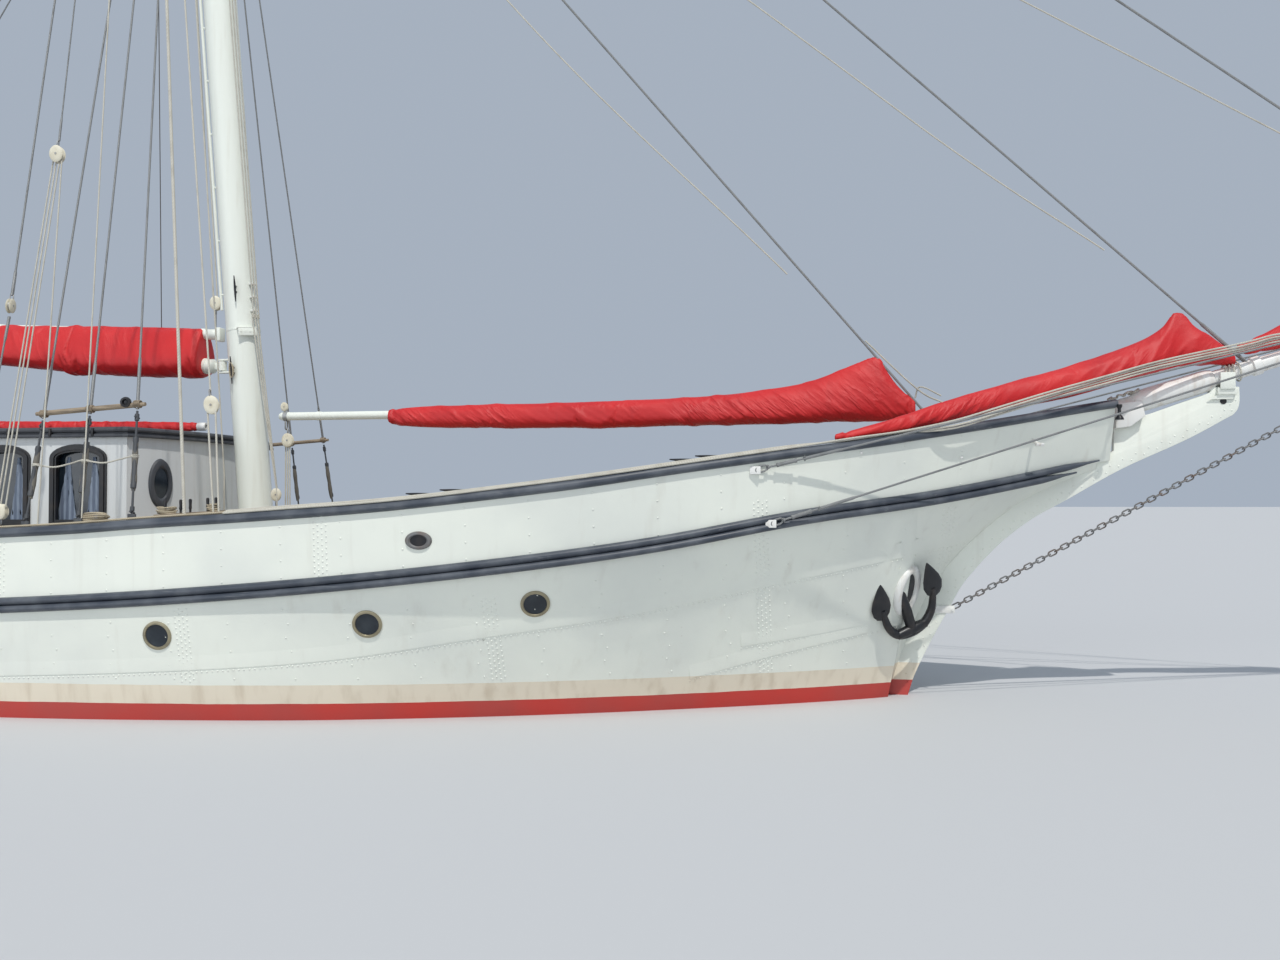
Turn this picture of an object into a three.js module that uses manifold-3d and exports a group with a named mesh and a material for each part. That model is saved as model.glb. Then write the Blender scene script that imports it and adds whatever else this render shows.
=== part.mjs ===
// A two-masted gaff schooner afloat: a riveted steel hull with a clipper bow, long keel and counter
// stern, two white pole masts, booms with furled sails under red covers, and two deckhouses.
// Millimetres. +X is forward, +Y is to port, +Z is up. The origin is on the waterline, on the
// centreline, at the middle of the waterline's length.
import * as THREE from "three";
import { mergeVertices } from "three/addons/utils/BufferGeometryUtils.js";
import Module from "manifold-3d";

const wasm = await Module();
wasm.setup();

// Driving dimensions of the hull
const SEAT = 0.35; // gap that is left between pieces that rest on each other
const RUN = 0.3; // running gap round a shaft or pin
const holeRadius = (r, sides) => (r + RUN) / Math.cos(Math.PI / sides); // a many-sided hole for a shaft
const HALF_STEM = 60; // half thickness of stem bar, deadwood and counter at the centreline
const KEEL_BOTTOM = -3000;
const DECK_THICK = 45;
const BULWARK_THICK = 60;
const RAIL_THICK = 100;
const STERN_SPLIT_X = -12600; // where the side bulwarks meet the stern bulwark
const RAIL_END_X = 14750;

// Masts: foot on deck, rake, radii, height of the top, height where the shrouds meet
const RAKE = THREE.MathUtils.degToRad(4.8);
const FORE = { x: 4250, top: 18900, hounds: 14600, foot: 215, head: 120, boomZ: 4060, gaffZ: 4480 };
const MAIN = { x: -4600, top: 20800, hounds: 16200, foot: 225, head: 125, boomZ: 4060, gaffZ: 4500 };
const WIRE = 12;

// Bowsprit axis: a point on it, its slope, its ends
const SPRIT = { x: 16000, z: 3695, slope: 0.306, heelX: 13900, endX: 19400, radius: 95, tip: 75 };

// Deckhouses
const SALOON = { aft: -2300, corner: 3450, front: 3740, half: 1650, roofZ: 3030, roof: 140, wall: 60 };
const CABIN = { aft: -8600, front: -6000, half: 1250, roofZ: 2330, roof: 90, wall: 50 };
const WINDOW = { width: 640, sill: 2020, spring: 2785, rise: 110, pitch: 1010, first: 2820, count: 5 };

// Colours, roughness and metalness
const paint = (color, roughness, metalness = 0) =>
  new THREE.MeshStandardMaterial({ color, roughness, metalness });
const FINISH = {
  hull: paint(0xe3e6e1, 0.45),
  antifoul: paint(0x8e2a20, 0.8),
  grey: paint(0x3d434b, 0.5),
  teak: paint(0x8b7355, 0.75),
  white: paint(0xeceeea, 0.35),
  red: paint(0xc01c1c, 0.75),
  steel: paint(0x6a6f73, 0.45, 0.8),
  black: paint(0x17171a, 0.55),
  bronze: paint(0xa0763a, 0.35, 0.9),
  glass: paint(0x1a2226, 0.08),
  varnish: paint(0x7a4a22, 0.35),
};

// Sheer: height of the deck edge above the waterline
const deckZ = (x) => {
  const m = (x + 2000) / 1000;
  return 1100 + (m > 0 ? 2.4 * m ** 2.316 : 4.5 * m ** 2);
};

// Sections of the hull. x: place. low: centreline profile. bw, bd, br: half-breadths at the
// waterline, deck edge and rail. p, q: fullness under water. k: flare above it. h: bulwark height.
const COLUMNS = ["x", "low", "bw", "bd", "br", "p", "q", "k", "h"];
const SECTIONS = [
  [-15300, 1640, 0, 500, 560, 1, 1, 0.4, 640],
  [-15180, 1450, 0, 950, 1010, 1, 1, 0.42, 640],
  [-14900, 1210, 0, 1400, 1450, 1, 1, 0.45, 640],
  [-14400, 900, 0, 1830, 1870, 1, 1, 0.47, 650],
  [-13600, 520, 0, 2210, 2240, 1, 1, 0.5, 658],
  [STERN_SPLIT_X, 110, 0, 2470, 2490, 1, 1, 0.52, 672],
  [-12000, -120, 900, 2600, 2610, 1.2, 0.8, 0.6, 678],
  [-11200, -430, 1480, 2730, 2740, 1.2, 0.9, 0.6, 688],
  [-10305, -720, 1900, 2840, 2850, 1.2, 1, 0.6, 688],
  [-10280, -2650, 1910, 2843, 2853, 0.75, 2.6, 0.6, 688],
  [-9000, -2640, 2300, 2960, 2970, 0.95, 1.9, 0.6, 688],
  [-7500, -2620, 2650, 3060, 3070, 1.15, 1.55, 0.6, 688],
  [-5500, -2600, 2920, 3160, 3160, 1.35, 1.3, 0.7, 688],
  [-3000, -2580, 3060, 3220, 3220, 1.5, 1.1, 0.7, 688],
  [0, -2550, 3110, 3250, 3250, 1.55, 1.05, 0.7, 688],
  [2500, -2520, 3090, 3245, 3245, 1.5, 1.05, 0.7, 688],
  [3900, -2500, 3010, 3220, 3225, 1.45, 1.08, 0.8, 686],
  [4700, -2490, 2920, 3190, 3205, 1.4, 1.1, 0.8, 694],
  [6000, -2470, 2720, 3110, 3150, 1.3, 1.15, 0.9, 676],
  [7500, -2440, 2330, 2960, 3030, 1.15, 1.2, 1, 652],
  [8950, -2350, 1830, 2680, 2790, 1.1, 1.15, 1.05, 652],
  [10200, -2070, 1300, 2330, 2450, 1, 1.25, 1.1, 668],
  [11120, -1630, 870, 1960, 2100, 1, 1.3, 1.15, 662],
  [11780, -1000, 520, 1630, 1780, 1, 1.3, 1.15, 645],
  [12100, -450, 330, 1460, 1620, 1, 1.2, 1.15, 640],
  [12250, -20, 230, 1370, 1540, 1, 1, 1.15, 638],
  [12540, 790, 0, 1200, 1390, 1, 1, 1.12, 636],
  [12940, 1490, 0, 960, 1180, 1, 1, 1.05, 630],
  [13350, 1920, 0, 730, 980, 1, 1, 1, 621],
  [13750, 2240, 0, 510, 780, 1, 1, 1, 613],
  [14150, 2460, 0, 310, 600, 1, 1, 1, 603],
  [14600, 2640, 0, 110, 410, 1, 1, 1, 583],
  [RAIL_END_X, 2690, 0, 75, 350, 1, 1, 1, 573],
].map((row) => Object.fromEntries(row.map((v, i) => [COLUMNS[i], v])));
const HULL_SECTIONS = SECTIONS.filter((s) => s.x < RAIL_END_X);

// A section's value at any x, straight between its neighbours as the plating is
function at(x, pick) {
  const i = Math.max(1, SECTIONS.findIndex((s) => s.x >= x));
  const [a, b] = [SECTIONS[i - 1], SECTIONS[i]];
  return THREE.MathUtils.lerp(pick(a), pick(b), (x - a.x) / (b.x - a.x));
}
const deckEdgeZ = (s) => deckZ(s.x);
const railZ = (s) => deckZ(s.x) + s.h;

// Half-breadth of a section at height z, and the heights at which it is drawn
function halfBreadth(s, z) {
  const top = deckEdgeZ(s);
  if (s.low >= 0) return HALF_STEM + (s.bd - HALF_STEM) * ((z - s.low) / (top - s.low)) ** s.k;
  if (z >= 0) return s.bw + (s.bd - s.bw) * (z / top) ** s.k;
  return HALF_STEM + (s.bw - HALF_STEM) * (1 - (z / s.low) ** s.p) ** s.q;
}
const UNDER_STEPS = [1, 0.92, 0.76, 0.56, 0.36, 0.17];
const OVER_STEPS = [0, 0.33, 0.66, 1];
function sectionHeights(s) {
  const top = deckEdgeZ(s);
  const n = UNDER_STEPS.length + OVER_STEPS.length;
  if (s.low >= 0) return Array.from({ length: n }, (_, i) => s.low + ((top - s.low) * i) / (n - 1));
  return [...UNDER_STEPS.map((u) => u * s.low), ...OVER_STEPS.map((o) => o * top)];
}

// Solids
function solid(geometry, matrix) {
  const g = geometry.index ? geometry.toNonIndexed() : geometry.clone();
  for (const name of Object.keys(g.attributes)) if (name !== "position") g.deleteAttribute(name);
  if (matrix) g.applyMatrix4(matrix);
  const merged = mergeVertices(g, 1e-3);
  const mesh = (triVerts) =>
    new wasm.Mesh({ numProp: 3, vertProperties: merged.attributes.position.array, triVerts });
  const made = new wasm.Manifold(mesh(new Uint32Array(merged.index.array)));
  if (made.volume() >= 0) return made;
  const turned = new Uint32Array(merged.index.array);
  for (let i = 0; i < turned.length; i += 3) [turned[i + 1], turned[i + 2]] = [turned[i + 2], turned[i + 1]];
  return new wasm.Manifold(mesh(turned));
}
const join = (...solids) => solids.flat(3).reduce((a, b) => a.add(b));

// Skins a row of closed rings that all have the same number of points, and closes both ends
function loft(rings) {
  const at3 = [];
  const n = rings[0].length;
  const face = (...points) => points.forEach((p) => at3.push(...p));
  for (let i = 0; i + 1 < rings.length; i++)
    for (let j = 0; j < n; j++) {
      const [a, b] = [rings[i], rings[i + 1]];
      const k = (j + 1) % n;
      face(a[j], b[j], b[k]);
      face(a[j], b[k], a[k]);
    }
  for (const [ring, turn] of [[rings[0], false], [rings.at(-1), true]]) {
    const mid = [0, 1, 2].map((c) => ring.reduce((sum, p) => sum + p[c] / n, 0));
    for (let j = 0; j < n; j++) {
      const k = (j + 1) % n;
      face(mid, ...(turn ? [ring[k], ring[j]] : [ring[j], ring[k]]));
    }
  }
  return solid(new THREE.BufferGeometry().setAttribute("position", new THREE.Float32BufferAttribute(at3, 3)));
}

// Takes b away from a with a seat's gap all round
function clear(a, ...others) {
  const g = SEAT;
  for (const b of others)
    for (const shift of [[g, 0, 0], [-g, 0, 0], [0, g, 0], [0, -g, 0], [0, 0, g], [0, 0, -g]])
      a = a.subtract(b.translate(shift));
  return a;
}
// The same for a piece that only rests on b sideways, b being to port of it, or from above
const clearPort = (a, ...others) =>
  others.reduce((left, b) => left.subtract(b.translate([0, -2 * SEAT, 0])), a);
const clearUnder = (a, ...others) =>
  others.reduce((left, b) => left.subtract(b.translate([0, 0, 2 * SEAT])), a);
const largest = (made) => made.decompose().reduce((a, b) => (b.volume() > a.volume() ? b : a));
const box = ([x0, y0, z0], [x1, y1, z1]) =>
  solid(
    new THREE.BoxGeometry(x1 - x0, y1 - y0, z1 - z0),
    new THREE.Matrix4().makeTranslation((x0 + x1) / 2, (y0 + y1) / 2, (z0 + z1) / 2),
  );

// A round bar from a to b
function bar(a, b, ra, rb = ra, sides = 8) {
  const [from, to] = [new THREE.Vector3(...a), new THREE.Vector3(...b)];
  const along = to.clone().sub(from);
  const turn = new THREE.Quaternion();
  turn.setFromUnitVectors(new THREE.Vector3(0, 1, 0), along.clone().normalize());
  const middle = from.add(to).multiplyScalar(0.5);
  const place = new THREE.Matrix4().compose(middle, turn, new THREE.Vector3(1, 1, 1));
  return solid(new THREE.CylinderGeometry(rb, ra, along.length(), sides), place);
}

// A round bar bent along a row of points
function bent(points, radius, sides = 6) {
  const v = points.map((p) => new THREE.Vector3(...p));
  const flat = v[1].clone().sub(v[0]).cross(v.at(-1).clone().sub(v[0]));
  if (flat.length() < 1) flat.set(0, 1, 0);
  flat.normalize();
  return loft(v.map((p, i) => {
    const along = v[Math.min(i + 1, v.length - 1)].clone().sub(v[Math.max(i - 1, 0)]).normalize();
    const across = along.clone().cross(flat);
    return Array.from({ length: sides }, (_, k) => {
      const a = (2 * Math.PI * k) / sides;
      const out = p.clone().addScaledVector(across, radius * Math.cos(a));
      return out.addScaledVector(flat, radius * Math.sin(a)).toArray();
    });
  }));
}

// A flat plate: an outline in a plane, given as [u, v] points, with its thickness centred on the plane
function plate(points, thick, matrix) {
  const shape = new THREE.Shape(points.map(([u, v]) => new THREE.Vector2(u, v)));
  const g = new THREE.ExtrudeGeometry(shape, { depth: thick, bevelEnabled: false, curveSegments: 10 });
  g.translate(0, 0, -thick / 2);
  return solid(g, matrix);
}
const UPRIGHT = new THREE.Matrix4().makeRotationX(Math.PI / 2); // [u, v] becomes x, z
const FACING = new THREE.Matrix4().makeBasis(
  new THREE.Vector3(0, 1, 0), new THREE.Vector3(0, 0, 1), new THREE.Vector3(1, 0, 0),
); // [u, v] becomes y, z
const moved = (matrix, x, y, z) => new THREE.Matrix4().makeTranslation(x, y, z).multiply(matrix);
const mirrorY = (s) => s.mirror([0, 1, 0]);

// The scene
const ship = new THREE.Group();
function add(name, made, material, origin = [0, 0, 0]) {
  const { vertProperties, triVerts, numProp } = made.getMesh();
  const position = new Float32Array((vertProperties.length / numProp) * 3);
  for (let i = 0; i * 3 < position.length; i++)
    for (let c = 0; c < 3; c++) position[i * 3 + c] = vertProperties[i * numProp + c] - origin[c];
  const geometry = new THREE.BufferGeometry()
    .setAttribute("position", new THREE.BufferAttribute(position, 3))
    .setIndex(new THREE.BufferAttribute(new Uint32Array(triVerts), 1));
  geometry.computeVertexNormals();
  const mesh = new THREE.Mesh(geometry, material);
  mesh.name = name;
  mesh.position.set(...origin);
  ship.add(mesh);
  return made;
}

// Hull, with the rudder trunk, the stern tube and two hawse pipes
const RUDDER_X = -11060;
const SHAFT_Z = -1720;
const SHAFT_RADIUS = 48;
const HAWSE = { x: 12400, z: 1230 };
// Hawse lips, built flat and set on the bow's side
const bowSide = (() => {
  const skin = (x, z) => at(x, (s) => halfBreadth(s, Math.max(z, s.low + 1)));
  const { x, z } = HAWSE;
  const d = 120;
  const p = new THREE.Vector3(x, -skin(x, z), z);
  const along = new THREE.Vector3(x + d, -skin(x + d, z), z).sub(p);
  const rise = new THREE.Vector3(x, -skin(x, z + d), z + d).sub(p);
  const out = rise.clone().cross(along).normalize();
  if (out.y > 0) out.negate();
  const up = new THREE.Vector3(0, 0, 1).addScaledVector(out, -out.z).normalize();
  const fore = up.clone().cross(out).normalize();
  return { place: new THREE.Matrix4().makeBasis(fore, up, out).setPosition(p), out, up, p };
})();
function ringOval(halfWide, halfTall, tube) {
  const half = (from) => Array.from({ length: 9 }, (_, i) => {
    const a = from + (Math.PI * i) / 8;
    const spot = new THREE.Vector3(halfWide * Math.cos(a), halfTall * Math.sin(a), 0);
    return spot.applyMatrix4(bowSide.place).toArray();
  });
  const ring = [...half(0), ...half(Math.PI).slice(1)];
  const pieces = [ring.slice(0, 10), ring.slice(7), [ring[15], ring[0], ring[1]]];
  return join(...pieces.map((path) => bent(path, tube)));
}
function hullBody() {
  const half = loft(HULL_SECTIONS.map((s) => {
    const side = sectionHeights(s).map((z) => [s.x, -halfBreadth(s, z), z]);
    return [[s.x, 0, deckEdgeZ(s)], ...side.reverse(), [s.x, 0, s.low]];
  }));
  const boss = bar([-10200, 0, SHAFT_Z], [-10330, 0, SHAFT_Z], 130, 110, 16);
  const r = holeRadius(SHAFT_RADIUS, 24);
  const bore = bar([-10100, 0, SHAFT_Z], [-10400, 0, SHAFT_Z], r, r, 24);
  const trunk = bar([RUDDER_X, 0, -1500], [RUDDER_X, 0, 300], 85, 85, 16);
  const lip = ringOval(165, 320, 58);
  return join(half, mirrorY(half), boss, lip, mirrorY(lip)).subtract(bore).subtract(trunk);
}
const hull = add("hull", hullBody(), FINISH.hull);

// Flat-topped cutters that follow the sheer: everything below deck or below the rail's top
function below(heightOf, half) {
  const deep = -6000;
  return loft(SECTIONS.map((s) => {
    const z = heightOf(s);
    return [[s.x, -half, deep], [s.x, half, deep], [s.x, half, z], [s.x, -half, z]];
  }));
}
const belowDeck = below((s) => deckEdgeZ(s) + DECK_THICK + 2 * SEAT, 3600);
const onDeck = (made) => made.subtract(belowDeck);
const deckTop = (x) => at(x, deckEdgeZ) + DECK_THICK + 2 * SEAT;

// A prism between the deck edge and the rail, moved inwards by inset
function bulwarkPrism(inset, bottom, top) {
  const inside = (v) => Math.max(8, v - inset);
  const end = inset ? 400 : 0; // the inner prism runs out at the open bow
  const sections = SECTIONS.map((s, i) => {
    const last = i === SECTIONS.length - 1;
    const x = i === 0 ? s.x + inset : s.x + (last ? end : 0);
    return { ...s, x, from: deckEdgeZ(s) + bottom, to: railZ(s) + top };
  });
  return loft(sections.map((s) => [
    [s.x, -inside(s.bd), s.from], [s.x, -inside(s.br), s.to],
    [s.x, inside(s.br), s.to], [s.x, inside(s.bd), s.from],
  ]));
}
function bulwarks() {
  const ring = bulwarkPrism(0, SEAT, 0).subtract(bulwarkPrism(BULWARK_THICK, -80, 80));
  const far = 30000;
  const sideGap = 2;
  const slit = bar([14000, 0, 2000], [far, 0, 2000], 1, 1, 4);
  const side = ring.subtract(slit).intersect(box([STERN_SPLIT_X + SEAT, -4000, 0], [far, -sideGap, 5000]));
  add("bulwark_starboard", side, FINISH.hull);
  add("bulwark_port", mirrorY(side), FINISH.hull);
  const stern = ring.intersect(box([-far, -4000, 0], [STERN_SPLIT_X - SEAT, 4000, 5000]));
  add("bulwark_stern", stern, FINISH.hull);
  return [side, mirrorY(side), stern];
}
const [bulwarkStarboard, bulwarkPort] = bulwarks();

// Teak deck, inside the bulwarks
function deckPlanks() {
  const gap = BULWARK_THICK + 3;
  const inside = (v) => Math.max(6, v - gap);
  const rows = SECTIONS.filter((s) => s.bd > 250).map((s, i) => ({ ...s, x: i === 0 ? s.x + gap : s.x }));
  return loft(rows.map((s) => {
    const z = deckEdgeZ(s);
    const half = inside(Math.min(s.bd, s.br));
    return [
      [s.x, -half, z + SEAT], [s.x, half, z + SEAT],
      [s.x, half, z + DECK_THICK + SEAT], [s.x, -half, z + DECK_THICK + SEAT],
    ];
  }));
}
add("deck", deckPlanks(), FINISH.teak);

// Sweeps a profile of [out, up] points along one side's edge; out is square to the path, in plan
function sweep(path, profile) {
  const v = path.map((p) => new THREE.Vector3(...p));
  return loft(v.map((p, i) => {
    const ahead = v[Math.min(i + 1, v.length - 1)].clone().sub(v[Math.max(i - 1, 0)]);
    const out = new THREE.Vector3(ahead.y, -ahead.x, 0).normalize();
    return profile.map(([o, u]) => [p.x + out.x * o, p.y + out.y * o, p.z + u]);
  }));
}
const CAP_PROFILE = [
  [-85, SEAT], [-85, 72], [-60, RAIL_THICK - 4], [12, RAIL_THICK], [54, 64], [44, 18], [15, SEAT],
];
const railTop = (x) => at(x, railZ) + RAIL_THICK;
function capRails() {
  const side = SECTIONS.filter((s) => s.x >= STERN_SPLIT_X).map((s) => [s.x, -s.br, railZ(s)]);
  const stern = SECTIONS.filter((s) => s.x <= STERN_SPLIT_X).map((s) => [s.x, -s.br, railZ(s)]);
  const around = [...stern.map(([x, y, z]) => [x, -y, z]).reverse(), ...stern];
  const split = (from, to) => box([from, -4000, 0], [to, 4000, 6000]);
  const far = 30000;
  side.unshift([side[0][0] - 60, side[0][1] + 12, side[0][2]]);
  const rail = sweep(side, CAP_PROFILE).intersect(split(STERN_SPLIT_X + SEAT, far));
  add("cap_rail_starboard", rail, FINISH.grey);
  add("cap_rail_port", mirrorY(rail), FINISH.grey);
  add("cap_rail_stern", sweep(around, CAP_PROFILE).intersect(split(-far, STERN_SPLIT_X - SEAT)), FINISH.grey);
  return [rail, mirrorY(rail)];
}
const [capRailStarboard, capRailPort] = capRails();

// Double half-round rubbing strake a little above deck level, highest at the shoulder of the bow
const strakeLift = (x) => 70 + 55 * Math.exp(-(((x - 11300) / 1100) ** 2));
const STRAKE_PROFILE = [
  [-45, -45], [28, -4], [60, -44], [24, -84], [60, -124], [28, -164], [-60, -166],
];
function rubStrake() {
  const path = SECTIONS.filter((s) => s.x > -15250 && s.bd > 100).map((s) => {
    const lift = strakeLift(s.x);
    return [s.x, -THREE.MathUtils.lerp(s.bd, s.br, lift / s.h), deckEdgeZ(s) + lift];
  });
  const body = join(hull, bulwarkPrism(0, -1, 0));
  const inner = join(body, mirrorY(body));
  const shifted = [-2 * SEAT, 2 * SEAT].map((dx) => inner.translate([dx, -SEAT, SEAT]));
  const rounds = clearPort(sweep(path, STRAKE_PROFILE), inner);
  return largest(clearUnder(rounds.subtract(join(shifted)), inner));
}
const strake = rubStrake();
add("rub_strake_starboard", strake, FINISH.grey);
add("rub_strake_port", mirrorY(strake), FINISH.grey);

// Cutwater: the plate that makes the clipper stem, its beak, and the saddle that holds the bowsprit
const STEM_OUTER = [
  [8950, -2620], [10300, -2330], [11300, -1840], [12000, -1120], [12330, -520], [12502, 28], [12587, 272],
  [12774, 661], [12963, 1011], [13148, 1336], [13521, 1759], [13899, 2067], [14286, 2289], [14880, 2637],
  [15566, 2962], [15973, 3189], [16090, 3262], [16140, 3370], [16142, 3560],
];
const STEM_INNER = [
  [15860, 3560], [15830, 3500], [15200, 3270], [14800, 3160], [14800, 2850], [14500, 2700],
  [13500, 2300], [12700, 1700], [12300, 900], [12000, 0], [11600, -700], [10900, -1400], [9900, -1900],
  [8950, -2200],
];
const spritZ = (x) => SPRIT.z + SPRIT.slope * (x - SPRIT.x);
const spritAt = (x, up = 0) => [x, 0, spritZ(x) + up];
const spritBar = (grow = 0) =>
  bar(spritAt(SPRIT.heelX), spritAt(SPRIT.endX), SPRIT.radius + grow, SPRIT.tip + grow, 16);
function cutwater() {
  const blade = plate([...STEM_OUTER, ...STEM_INNER], 2 * (HALF_STEM - 6), UPRIGHT);
  const saddle = box([15880, -150, 3380], [16120, 150, 3760]);
  const made = join(blade, saddle).subtract(spritBar(SEAT + 0.5));
  return clear(made, hull, bulwarkStarboard, bulwarkPort);
}
const stem = add("cutwater", cutwater(), FINISH.hull);

// Keel bar, with the shoe that runs aft under the propeller and holds the rudder's heel
const SHOE_TOP = -2870;
const HEEL_PIN = 38;
function keelBar() {
  const outline = [
    [-11250, KEEL_BOTTOM], [8300, KEEL_BOTTOM], [8949, -2900], [8949, -2100],
    [-10270, -2100], [-10270, SHOE_TOP], [-11250, SHOE_TOP],
  ];
  const r = holeRadius(HEEL_PIN, 20);
  const socket = bar([RUDDER_X, 0, SHOE_TOP - 50], [RUDDER_X, 0, SHOE_TOP + 50], r, r, 20);
  return clear(plate(outline, 190, UPRIGHT).subtract(socket), hull, stem);
}
add("keel", keelBar(), FINISH.antifoul);

// Rudder: blade with a fair nose, its stock up into the trunk, and its heel pin in the shoe
function rudderBody() {
  const nose = 75;
  const rows = [
    { z: -2810, aft: -12250 }, { z: -1500, aft: -12420 }, { z: -620, aft: -12260 },
  ];
  const blade = loft(rows.map(({ z, aft }) => [
    [RUDDER_X + nose, 0, z], [RUDDER_X + 40, 60, z], [RUDDER_X - 40, 74, z], [RUDDER_X - 400, 60, z],
    [aft, 16, z], [aft, -16, z], [RUDDER_X - 400, -60, z], [RUDDER_X - 40, -74, z], [RUDDER_X + 40, -60, z],
  ]));
  const stock = bar([RUDDER_X, 0, -700], [RUDDER_X, 0, 180], 70, 70, 16);
  const pin = bar([RUDDER_X, 0, -2700], [RUDDER_X, 0, SHOE_TOP - 35], HEEL_PIN, HEEL_PIN, 20);
  return join(blade, stock, pin);
}
add("rudder", rudderBody(), FINISH.antifoul, [RUDDER_X, 0, -1700]);

// Propeller: four bronze blades on a hub, with the shaft's end in the stern tube
function propellerBody() {
  const hubFrom = -10345;
  const hubTo = -10700;
  const radius = 640;
  const hub = [
    bar([hubFrom, 0, 0], [hubTo, 0, 0], 105, 90, 16), bar([hubTo, 0, 0], [hubTo - 90, 0, 0], 90, 35, 16),
    bar([-10180, 0, 0], [hubFrom, 0, 0], SHAFT_RADIUS, SHAFT_RADIUS, 24),
  ];
  const rows = [
    { r: 60, chord: 190, turn: 62, thick: 34 }, { r: 250, chord: 330, turn: 40, thick: 26 },
    { r: 450, chord: 360, turn: 28, thick: 18 }, { r: radius - 40, chord: 240, turn: 22, thick: 10 },
    { r: radius, chord: 80, turn: 21, thick: 6 },
  ];
  const mid = (hubFrom + hubTo) / 2;
  const blade = loft(rows.map(({ r, chord, turn, thick }) => {
    const a = THREE.MathUtils.degToRad(turn);
    const [ax, ay] = [Math.sin(a), Math.cos(a)];
    return [[-0.5, 0], [-0.2, 0.5], [0.25, 0.42], [0.5, 0], [0.25, -0.42], [-0.2, -0.5]].map(([c, t]) => [
      mid + (c * chord * ax) + (t * thick * ay), (c * chord * ay) - (t * thick * ax), r,
    ]);
  }));
  const blades = [0, 90, 180, 270].map((angle) => blade.rotate([angle, 0, 0]));
  return join(hub, blades).translate([0, 0, SHAFT_Z]);
}
add("propeller", propellerBody(), FINISH.bronze, [-10520, 0, SHAFT_Z]);

// Masts, built upright at the origin and then raked; the cut at the foot follows the deck
const mastPlace = (m) => moved(new THREE.Matrix4().makeRotationY(-RAKE), m.x, 0, deckTop(m.x));
const onMast = (m, z) => [m.x - Math.tan(RAKE) * (z - deckTop(m.x)), 0, z]; // axis point at height z
function mastBody(m) {
  const length = (m.top - deckTop(m.x)) / Math.cos(RAKE);
  const up = (z) => (z - deckTop(m.x)) / Math.cos(RAKE);
  const profile = [
    [0, -100], [m.foot, -100], [m.foot, length * 0.55], [m.head, length - 120], [m.head + 25, length - 110],
    [m.head + 25, length - 20], [0, length],
  ].map(([r, y]) => new THREE.Vector2(r, y));
  const place = mastPlace(m);
  const upright = new THREE.Matrix4().makeRotationX(Math.PI / 2);
  const pole = solid(new THREE.LatheGeometry(profile, 16), place.clone().multiply(upright));
  const local = (x, y, z) => new THREE.Vector3(x, y, z).applyMatrix4(place).toArray();
  const band = (z, r, tall) => bar(local(0, 0, up(z)), local(0, 0, up(z) + tall), r, r, 16);
  const hounds = band(m.hounds, m.foot + 45, 140);
  const treeZ = up(m.hounds) + 300;
  const tree = [-1, 1].map((s) => bar(local(-60, 0, treeZ), local(-90, s * 1150, treeZ + 30), 45, 30, 8));
  const track = [
    bar(local(-m.foot - 70, 0, up(m.gaffZ) + 350), local(-m.foot - 70, 0, up(m.hounds) - 700), 22, 22, 6),
    ...Array.from({ length: 4 }, (_, i) => {
      const z = up(m.gaffZ) + 600 + i * 2400;
      return bar(local(-m.foot + 20, 0, z), local(-m.foot - 70, 0, z), 18, 18, 4);
    }),
  ];
  const collar = band(deckTop(m.x), m.foot + 60, 90);
  return onDeck(join(pole, hounds, tree, track, collar));
}

// Gear that hangs on a mast: boom with its gooseneck, and the gaff that lies on it, both aft of the mast
// rise is the slope at which the boom and its gaff are topped up towards their aft ends.
const FORE_GEAR = {
  boomEnd: -3900, boomR: 95, gaffEnd: -2900, gaffR: 70, coverFrom: 3440, coverTo: -3650, rise: 0.055,
};
const MAIN_GEAR = {
  boomEnd: -15900, boomR: 110, gaffEnd: -13200, gaffR: 75, coverFrom: -5350, coverTo: -14900, rise: 0,
};
const NECK = 330; // from the mast's axis to the gooseneck's pin
const PIN = 18; // radius of the goosenecks' pins
const PIN_HOLE = holeRadius(PIN, 12);
function boomSpar(m, { boomEnd, boomR, rise }, grow = 0) {
  const [ax, , az] = onMast(m, m.boomZ);
  const start = ax - NECK - 90;
  const end = [boomEnd, 0, az + rise * (start - boomEnd)];
  return bar([start, 0, az], end, boomR + grow, boomR * 0.85 + grow, 12);
}
function boomBody(m, gear) {
  const [ax, , az] = onMast(m, m.boomZ);
  const pinX = ax - NECK;
  const spar = boomSpar(m, gear);
  const eye = bar([pinX, 0, az - 60], [pinX, 0, az + 60], 52, 52, 14);
  const strap = box([pinX - 140, -30, az - 45], [pinX, 30, az + 45]);
  const hole = bar([pinX, 0, az - 200], [pinX, 0, az + 200], PIN_HOLE, PIN_HOLE, 12);
  return join(spar, eye, strap).subtract(hole);
}
function gooseneck(m) {
  const [ax, , az] = onMast(m, m.boomZ);
  const pinX = ax - NECK;
  const arm = (z) => box([pinX - 45, -40, z - 12], [ax - m.foot + 60, 40, z + 12]);
  const pin = bar([pinX, 0, az - 92], [pinX, 0, az + 92], PIN, PIN, 12);
  return join(arm(az - 82), arm(az + 82), pin);
}
const jawX = (m) => onMast(m, m.gaffZ)[0] - NECK + 20;
function gaffSpar(m, { gaffEnd, gaffR, rise }, grow = 0) {
  const endZ = m.gaffZ - 40 + rise * (jawX(m) - gaffEnd);
  return bar([jawX(m), 0, m.gaffZ], [gaffEnd - grow, 0, endZ], gaffR + grow, gaffR * 0.8 + grow, 10);
}
function gaffBody(m, gear) {
  const x = jawX(m);
  const spar = gaffSpar(m, gear);
  const saddle = box([x - 60, -70, m.gaffZ - 90], [x + 10, 70, m.gaffZ + 90]);
  return join(spar, saddle);
}

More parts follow.
